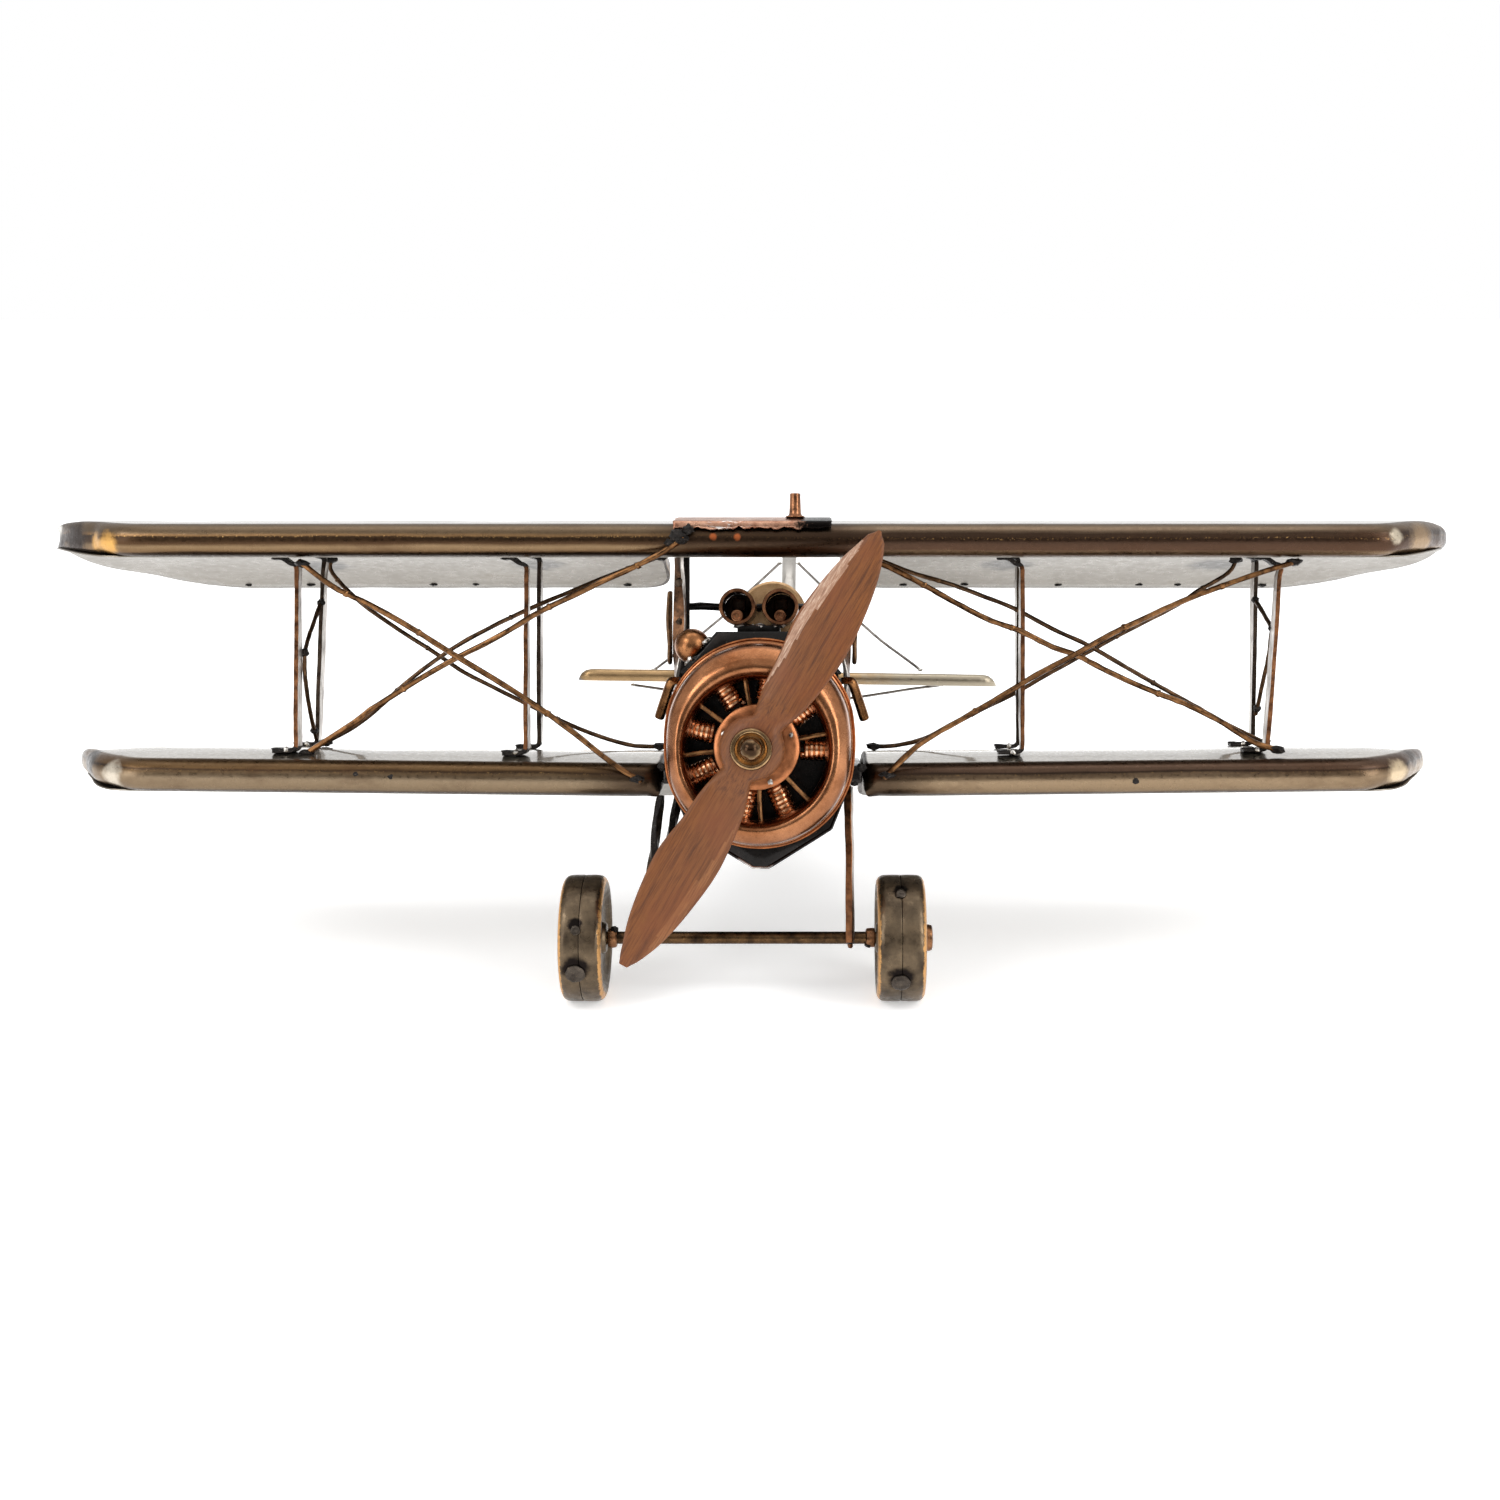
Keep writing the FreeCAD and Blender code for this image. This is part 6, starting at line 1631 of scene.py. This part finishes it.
def wires():
    """Flying and landing wires, lumpy where they were bent and scorched at their ends."""
    for label, (front, front_y, rear, rear_y) in WIRE_RUNS.items():
        seed, shape = sum(map(ord, label)), Shape()
        for number, run, reach, radius in ((0, front, front_y, 0.8), (1, rear, rear_y, 0.65)):
            line = kinked(stations(run, *reach), seed + number, 0.15, 5)
            shape.merge(tube(line, radius * 0.97, 10, number, 0.18, seed))
            nodules(shape, line, (0.16, 0.37, 0.71), radius, number, seed)
            for end, inner in ((line[0], line[2]), (line[-1], line[-3])):
                inward = (inner - end).normalized()
                shape.lump(end + inward * 1.2, (2.0, 1.3, 1.05), seed + end.x, 0.45, 2)
        if label == "left_flying_wires":
            shape.merge(twisted_end())
        build(label + "_bent", shape, "wire wire_dark burnt", label)


def twisted_end():
    """Scorched lumps where the front flying wire meets the centre panel."""
    shape = Shape().lump((-19.4, -1.0, 55.4), (2.3, 1.3, 1.7), 91, 0.6, 2, 3)
    shape.lump((-17.2, -1.2, 57.2), (1.5, 1.0, 1.3), 94, 0.6, 2, 3)
    return shape.lump((-21.8, -0.7, 53.6), (1.4, 1.0, 1.0), 97, 0.6, 2)


def incidence():
    """Short wires between the front and rear outer struts."""
    shape = Shape()
    runs = (((-123.3, 13.9, 24.8), (-123.2, 20, 31.0), (-122.4, 29.6, 40.0)),
            ((-123.3, 13.9, 24.8), (-123.3, 13.7, 21.6), (-123.3, 13.9, 18.4), (-123.8, 21, 9.4),
             (-124.1, 29.6, 0.6)),
            ((142.3, 13.9, 31.2), (141.8, 21, 35.2), (140.9, 29.6, 40.2)),
            ((142.3, 13.9, 31.2), (142.2, 20, 21.6), (141.3, 29.6, 7.4)))
    for index, run in enumerate(runs):
        line = kinked(run, 95 + index, 0.2, 8)
        shape.merge(tube(line, 0.62, 8, 0, 0.2, index))
        nodules(shape, line, (0.04, 0.96), 0.9, 1, index)
    build("incidence_wires_bent", shape, "wire_dark burnt", "incidence_wires")


def cabane_strips():
    """Two twisted strips ahead of the cockpit, lumpy with solder."""
    low, high = span("cabane_front_struts")
    y, width, shape = (low.y + high.y) / 2, high.y - low.y, Shape()
    for side, x in ((-1, low.x + 0.6), (1, high.x - 0.6)):
        line = [(x, y, low.z), (x, y, low.z + 6), (x, y, 18), (x - side * 0.3, y - 1.2, 24),
                (x - side * 0.8, y - 1.8, 31), (x - side * 0.9, y - 1.6, 40),
                (x - side * 0.6, y - 1.0, high.z - 0.2)]
        turn = lambda share, way=-side: way * (0.85 * smooth((share - 0.22) / 0.3)
                                               + 0.3 * math.sin(11 * share))
        shape.merge(twisted_strip(curve_through(line, 5), width * 0.74, 1.1, turn, 5 + side, numbers=(1, 0)))
        for z, size in ((26.5, 0.9), (33.0, 0.7), (43.5, 1.0)):
            shape.lump((x - side * 0.8, y - 2.6, z), (1.2 * size, 0.7 * size, 1.3 * size), z, 0.45, 2)
    build("cabane_front_strips", shape, "strut_side cabane strut_dark", "cabane_front_struts",
          sharp=40)


def cabane_posts():
    """Two black posts behind, leaning in at the top."""
    low, high = span("cabane_rear_posts")
    posts = Shape()
    for side, x in ((-1, (low.x, low.x + 1.8)), (1, (high.x - 1.8, high.x))):
        post = soft_box((x[0], low.y, low.z), (x[1], high.y, high.z), 0.35, 0, x[0], 0.18, 5)
        for point in post.points:
            point.x -= side * (2.0 if side < 0 else 0.5) * smooth((point.z - 14) / 14)
        posts.merge(post)
    build("cabane_rear_strips", posts, "fitting", "cabane_rear_posts")


def cabane_rods():
    """Crossbar behind the guns and a looped brace rod on each side."""
    low, high = span("cabane_crossbar")
    y, z = (low.y + high.y) / 2, (low.z + high.z) / 2
    run = [(low.x, y, z), (-14, y, z + 0.4), (-4, y, z - 0.2), (8, y, z + 0.2), (18, y, z - 0.3),
           (high.x, y, z)]
    bar = tube(kinked(run, 7, 0.3), 1.08, 10, 0, 0.15, 3)
    build("crossbar_rod", bar, "fitting", "cabane_crossbar")
    low, high = span("cabane_brace_rods")
    shape = Shape()
    for side, x in ((-1, low.x + 0.8), (1, high.x - 0.8)):
        run = [(x, 10.2, 41.0), (x + side * 0.3, 8.9, 34), (x, 8.8, 27), (x, 9.6, 23.2),
               (x - side * 0.1, 11.5, 22.3), (x + side * 0.2, 14.5, 30), (x + side * 0.5, 19.8, 41.5)]
        shape.merge(tube(kinked(run, 12 + side, 0.2), 0.62, 8, 0, 0.15, 5))
    build("cabane_loop_rods", shape, "wire_dark", "cabane_brace_rods")


# ---------------------------------------------------------------- landing gear


def wheel_half(name, body, centre, side, half, hub_back):
    """Pressed half wheel: rim with a rounded corner, dished face, hub sleeve. The profile's rows are distance
    from the seam, radius and the share of gold at the corner, which is wear and painted highlight."""
    radius = WHEEL_RADIUS
    profile = [(0.04, radius - 0.55, 0), (0.1, radius - 0.12, 0), (0.5, radius - 0.02, 0), (2.2, radius, 0.1),
               (half - 2.2, radius - 0.05, 0.5), (half - 1.3, radius - 0.25, 0.8),
               (half - 0.6, radius - 0.75, 1.0),
               (half - 0.15, radius - 1.5, 1.0), (half, radius - 2.4, 0.9), (half - 0.05, radius - 3.3, 0.7),
               (half - 0.6, radius - 4.2, 0.3), (half - 1.35, radius - 5.0, 0.2),
               (half - 1.55, radius - 6.5, 0.1),
               (half - 1.5, 7.0, 0.0), (half - 1.5, 4.3, 0.3), (half - hub_back - 0.3, 4.0, 0.5),
               (half - hub_back, 3.7, 0.8), (half - hub_back, 1.9, 0.5), (half - hub_back - 0.2, 1.76, 0.2),
               (0.06, 1.76, 0), (0.06, 3.9, 0), (half - 2.9, 4.0, 0), (half - 2.8, radius - 5.6, 0),
               (half - 1.3, radius - 4.2, 0), (half - 1.3, radius - 2.4, 0), (half - 2.4, radius - 1.3, 0),
               (0.06, radius - 1.25, 0)]
    segments = 96
    shape = lathe([(along, reach) for along, reach, _ in profile], centre, (side, 0, 0), segments,
                  closed=True, ripple=0.05, seed=side * 3 + centre.x)
    shape.values = [value for _, _, value in profile for _ in range(segments)]
    build(name + "_pressing", shape, "wheel", name, body, 42)


def wheel_direction(angle):
    """Way out from the wheel's centre, in degrees above straight ahead."""
    return Vector((0, -math.cos(math.radians(angle)), math.sin(math.radians(angle))))


def flat_plug(centre, direction, radius, seed):
    """Weld plug: a low uneven disc lying on the rim."""
    side, up = axes_for(direction)
    rings = []
    for height, scale in ((-0.9, 0.95), (0.0, 1.0), (0.25, 0.98), (0.42, 0.86), (0.48, 0.6), (0.46, 0.3),
                          (0.44, 0.05)):
        ring = []
        for angle in circle_angles(28):
            reach = radius * scale * (1 + 0.10 * wobble(seed, 2 * math.cos(angle), 2 * math.sin(angle),
                                                        scale=1))
            ring.append(centre + direction * height + spoke(side, up, angle, reach))
        rings.append(ring)
    return loft(rings)


def wheels():
    """Two pressed halves and their weld plugs on each side."""
    plugs = {"left": (LEFT_WHEEL, ((-1.0, -26, 2.6), (-0.8, 14, 1.3))),
             "right": (RIGHT_WHEEL, ((-0.3, -36, 2.6), (-0.3, 50, 1.56)))}
    for name, (centre, places) in plugs.items():
        halos = [(centre + Vector((across, 0, 0)) + wheel_direction(angle + 5) * WHEEL_RADIUS, radius * 1.7)
                 for across, angle, radius in places]
        FINISHES["wheel"] = wheel_metal("wheel_metal_" + name, halos)
        outward = -1 if name == "left" else 1
        body = name + "_wheel"
        half = WHEEL_HALF[name]
        wheel_half(body + "_outer_half", body, centre, outward, half, 2.0 if name == "left" else 0.0)
        wheel_half(body + "_inner_half", body, centre, -outward, half, 0.0)
        shape = Shape()
        for across, angle, radius in places:
            direction = wheel_direction(angle)
            start = centre + Vector((across, 0, 0)) + direction * WHEEL_RADIUS
            shape.merge(flat_plug(start, direction, radius, angle))
        build(body + "_weld_plugs", shape, "plug", body + "_plugs", body)


def axle():
    low, high = span("axle")
    length, steps = high.x - low.x, 30
    profile = [(0.0, 0.0), (0.0, 1.4), (0.25, 1.68)] + [(length * k / steps, 1.68) for k in range(1, steps)]
    profile += [(length - 0.25, 1.68), (length, 1.4), (length, 0.0)]
    shape = lathe(profile, (low.x, LEFT_WHEEL.y, LEFT_WHEEL.z), (1, 0, 0), 32)
    build("axle_bar", shape, "axle", "axle")


def axle_caps():
    """Domed cap on the right, flat retainer on the left, and a soldered collar inside each wheel."""
    low, high = span("axle_stops")
    y, z = LEFT_WHEEL.y, LEFT_WHEEL.z
    cap = [(0.0, 1.72), (0.0, 3.4), (0.2, 3.62), (1.0, 3.6), (1.7, 3.4), (1.95, 2.8), (2.0, 1.2), (2.0, 0.0),
           (1.45, 0.0), (1.4, 1.72)]
    retainer = [(0.0, 1.72), (0.0, 2.9), (0.2, 3.1), (1.2, 3.05), (1.4, 2.6), (1.4, 1.72)]
    collar = [(0.0, 1.72), (0.0, 2.3), (0.2, 2.55), (1.2, 2.6), (2.2, 2.45), (2.5, 2.1), (2.5, 1.72)]
    shape = lathe(cap, (high.x - 2.0, y, z), (1, 0, 0), 40, ripple=0.08, seed=2)
    shape.merge(lathe(retainer, (low.x + 1.4, y, z), (-1, 0, 0), 40, closed=True, ripple=0.08))
    for start, side in ((LEFT_WHEEL.x + WHEEL_HALF["left"] + 0.3, 1),
                        (RIGHT_WHEEL.x - WHEEL_HALF["right"] - 0.3, -1)):
        shape.merge(lathe(collar, (start, y, z), (side, 0, 0), 32, closed=True, ripple=0.25, seed=4))
        shape.lump((start + side * 1.9, y - 1.2, z + (2.4 if side > 0 else -1.6)), (0.9, 1.0, 0.9), start,
                   0.5)
    build("axle_caps_and_collars", shape, "cap burnt", "axle_stops")


def gear_legs():
    """Two strips a side from the hull to the axle; the left ones are dark and twisted, the right ones pale,
    with a clip round the axle."""
    y, z = LEFT_WHEEL.y, LEFT_WHEEL.z
    ahead, behind, hull_left, hull_right = y - 2.9, y + 2.9, -21.2, 26.0
    legs = {
        "left_gear_legs": (((-25.2, 10, -14.3), (-26.6, 9.0, -25), (-27.6, 6, -36), (-29.6, ahead, z - 1)),
                           ((hull_left, 36, -12), (-23.8, 26, -27), (-29.0, behind, z - 1))),
        "right_gear_legs": (((hull_right, 10, -12), (26.3, 7.4, -28), (26.2, ahead, z - 1)),
                            ((hull_right, 36, -12), (26.4, 24, -30), (26.4, behind, z - 1))),
    }
    for label, runs in legs.items():
        is_left, shape = label.startswith("left"), Shape()
        twist = (lambda share: 0.9 * math.sin(7 * share)) if is_left else (lambda share: 0.3)
        for index, run in enumerate(runs):
            line = kinked(run, 21 + index + len(label), 0.35)
            shape.merge(twisted_strip(line, 2.2, 1.9, twist, 5 + index,
                                      numbers=(3, 2) if is_left else (0, 1)))
            shape.lump(line[-1] + Vector((0, 0, 0.9)), (1.2, 0.8, 1.2), index, 0.4, 2)
        if not is_left:
            clip = [(26.3, y + 2.5 * math.sin(a), z + 2.5 * math.cos(a)) for a in map(math.radians,
                                                                                      range(-150, 151, 20))]
            shape.merge(tube(clip, 0.7, 8, 1, 0.2, 9))
        build(label + "_bent", shape, "strut_side strut_edge burnt strut_dark", label,
              sharp=40)


# ---------------------------------------------------------------- tail


def tailplane():
    """Thin plane with a raised rolled nose, leaning a little to one side."""
    low, high = span("tailplane")
    chord, tip = high.y - low.y, (high.x - low.x) / 2 - 0.05
    edge, trailing = tip - 1.8, 60.0
    outline = plan_arc((edge, 0), (tip, chord * 0.45), (trailing, chord), 26)
    outline += plan_line((trailing, chord), (-trailing, chord))
    outline += plan_arc((-trailing, chord), (-tip, chord * 0.45), (-edge, 0), 26)
    outline += plan_line((-edge, 0), (edge, 0))
    top = lambda x, y: 1.0 + 3.4 * (1 - smooth((y - 2.0) / 2.6)) + 0.1 * wobble(3, x, y, scale=0.08)
    bottom = lambda x, y: 0.05 * wobble(5, x, y, scale=0.08)
    rim = lambda x, y: (2.2 if y < 2 else lerp(1.6, 0.5, smooth((y - 2) / 10)), 0.9)
    lean = math.tan(math.radians(0.85))
    place = lambda point: point + Vector((TAIL_X, low.y, low.z - lean * point.x))
    plane = sheet_shell(ragged(soften(outline, 2), 6, 0.3), top, bottom, rim, 3.0, place)
    for x in (-11, 12):
        for y in (8, 20, 31):
            plane.lump((TAIL_X + x * 0.18, low.y + y, low.z + 1.2), (1.6, 1.3, 0.5), x + y, 0.4)
    build("tailplane_sheet", plane, "tail solder", "tailplane", sharp=50)


def fin():
    """Fin and rudder in one sheet, thick at its nose; drawn as (station, height)."""
    arcs = (((186, 20.2), (189, 46), (205, 63), 20), ((205, 63), (217, 66), (226, 54), 12),
            ((226, 54), (233, 40), (232, 24), 12), ((232, 24), (226, 14), (216, 14), 10))
    outline = [point for arc in arcs for point in plan_arc(*arc)]
    outline += plan_line((216, 14), (216, 20.2), 2) + plan_line((216, 20.2), (186, 20.2), 2)
    nose = lambda z: 186 + 3 * (z - 20) / 26 if z < 46 else 189 + 16 * ((z - 46) / 17) ** 2
    thick = lambda y, z: lerp(2.6, 0.5, smooth((y - nose(z) - 3) / 24))
    shape = sheet_shell(soften(outline[::-1], 2), thick, lambda y, z: -thick(y, z),
                        lambda y, z: (1.6 if y < 205 else 0.4, 0.9), 2.4,
                        lambda point: Vector((FIN_X + point.z, point.x, point.y)))
    build("fin_sheet", shape, "fin", "tail_fin", sharp=50)


def tail_rigging():
    """Grey wires from the tailplane to the fin above and to the hull below."""
    shape = Shape()
    for side in (-1, 1):
        upper = [(TAIL_X + side * 48, 181, 20.7), (TAIL_X + side * 28, 187, 36.5),
                 (FIN_X + side * 3.5, 196, 60)]
        lower = [(TAIL_X + side * 56, 186, 15.3), (TAIL_X + side * 30, 191, 11.6),
                 (TAIL_X + side * 4.4, 196, 7)]
        for index, run in enumerate((upper, lower)):
            line = kinked(run, 31 + index, 0.25)
            shape.merge(tube(line, 0.48, 8, 0, 0.12, index))
            for end in (line[0], line[-1]):
                shape.lump(end, (1.0, 0.9, 0.5), side * 3 + index, 0.4)
    build("tail_wires_bent", shape, "grey_wire solder", "tail_wires")


def tail_skid():
    foot = Vector((6.6, 205, span("tail_skid")[0].z + 1.3))
    run = [(6.6, 190, 0.9), (6.7, 195, -3), (6.6, 200, lerp(0.9, foot.z, 0.62)), foot]
    skid = tube(kinked(run, 3, 0.15), 1.28, 12, 0, 0.1, 4)
    build("tail_skid_rod", skid, "gun_dark", "tail_skid")


# ---------------------------------------------------------------- stage, light and camera


def node(tree, kind, **settings):
    made = tree.nodes.new(kind)
    for name, value in settings.items():
        setattr(made, name, value)
    return made


def two_tone(tree, value, target, first, last):
    """Ramp between two colours, driven by a value."""
    ramp = node(tree, "ShaderNodeValToRGB")
    for element, colour in zip(ramp.color_ramp.elements, (first, last)):
        element.color = (*colour, 1)
    tree.links.new(value, ramp.inputs[0])
    tree.links.new(ramp.outputs[0], target)


def stage():
    """Pale paper floor that glows a little, so that it stays near white."""
    half = 4
    mesh = bpy.data.meshes.new("floor")
    mesh.from_pydata([(-half, -half, 0), (half, -half, 0), (half, half, 0), (-half, half, 0)], [],
                     [(0, 1, 2, 3)])
    floor = place_in_scene("floor", mesh)
    material = bpy.data.materials.new("floor_paper")
    material.use_nodes = True
    tree = material.node_tree
    shader = tree.nodes["Principled BSDF"]
    fibres = node(tree, "ShaderNodeTexNoise")
    fibres.inputs["Scale"].default_value = 40
    two_tone(tree, fibres.outputs["Fac"], shader.inputs["Base Color"], (0.90, 0.90, 0.90), (0.94, 0.94, 0.94))
    for socket, value in (("Roughness", 0.9), ("Specular IOR Level", 0.1), ("Emission Color", (1, 1, 1, 1)),
                          ("Emission Strength", 0.42)):
        shader.inputs[socket].default_value = value
    mesh.materials.append(material)


def softbox(name, place, size, power):
    """Large soft light aimed at the middle of the model."""
    data = bpy.data.lights.new(name, "AREA")
    data.shape, data.size, data.size_y, data.energy = "RECTANGLE", *size, power
    thing = place_in_scene(name, data)
    thing.location = place
    thing.rotation_euler = (Vector((0, 0, 0.06)) - Vector(place)).to_track_quat("-Z", "Y").to_euler()


def eased(tree, value, start, end):
    """0 to 1 as a value passes from start to end."""
    ease = node(tree, "ShaderNodeMapRange", interpolation_type="SMOOTHSTEP")
    for socket, number in zip(ease.inputs[1:5], (start, end, 0.0, 1.0)):
        socket.default_value = number
    tree.links.new(value, ease.inputs[0])
    return ease.outputs[0]


def world():
    """White all round, but grey low down ahead of the model, so that the metal mirrors something dark."""
    studio = bpy.data.worlds.new("studio")
    bpy.context.scene.world = studio
    studio.use_nodes = True
    tree = studio.node_tree
    background = tree.nodes["Background"]
    coordinates, separate = node(tree, "ShaderNodeTexCoord"), node(tree, "ShaderNodeSeparateXYZ")
    tree.links.new(coordinates.outputs["Generated"], separate.inputs[0])
    ahead = eased(tree, separate.outputs["Y"], -0.15, -0.80)
    low = eased(tree, separate.outputs["Z"], 0.62, 0.30)
    both = node(tree, "ShaderNodeMath", operation="MULTIPLY")
    for socket, value in zip(both.inputs, (ahead, low)):
        tree.links.new(value, socket)
    two_tone(tree, both.outputs[0], background.inputs["Color"], (1.0, 1.0, 1.0), (0.30, 0.29, 0.28))
    background.inputs["Strength"].default_value = 1.0


def lights():
    for name, place, size, power in (
            ("key_left", (-1.1, -0.9, 1.3), (0.9, 0.6), 9), ("key_right", (1.2, -0.8, 1.2), (0.8, 0.6), 7),
            ("overhead", (0.0, 0.2, 1.8), (1.6, 1.0), 7), ("front_left", (-1.0, -0.9, 0.35), (0.5, 0.6), 4),
            ("front_right", (1.05, -0.9, 0.4), (0.5, 0.6), 5)):
        softbox(name, place, size, power)


def camera():
    """Level with the thrust line and square to the span."""
    data = bpy.data.cameras.new("camera")
    data.sensor_width, data.lens = 36.0, 46.68
    data.shift_x, data.shift_y = -0.0433, -0.0467
    data.clip_start, data.clip_end = 0.01, 50
    thing = place_in_scene("camera", data)
    eye = STANCE @ Vector((16.8, -520.0, 17.1))
    thing.matrix_world = Matrix.Translation(eye) @ TURN @ Matrix.Rotation(math.pi / 2, 4, "X")
    bpy.context.scene.camera = thing


def main():
    make_finishes()
    upper_wing()
    for name, side in (("left", -1), ("right", 1)):
        lower_wing(name, side)
    centre_panel()
    filler_tube()
    hull()
    deck()
    cockpit_rim()
    bulkhead()
    root_fittings()
    cowl()
    cylinders()
    pushrods()
    crankcase()
    shaft()
    propeller()
    propeller_nut()
    guns()
    gun_saddle()
    fairing()
    blisters()
    exhausts()
    for side in ("left", "right"):
        for row in ("outer_front", "outer_rear", "inner_front", "inner_rear"):
            strut("%s_%s_strut" % (side, row))
    wires()
    incidence()
    cabane_strips()
    cabane_posts()
    cabane_rods()
    wheels()
    axle()
    axle_caps()
    gear_legs()
    tailplane()
    fin()
    tail_rigging()
    tail_skid()
    stage()
    world()
    lights()
    camera()
    bpy.context.scene.view_settings.view_transform = "Standard"


main()
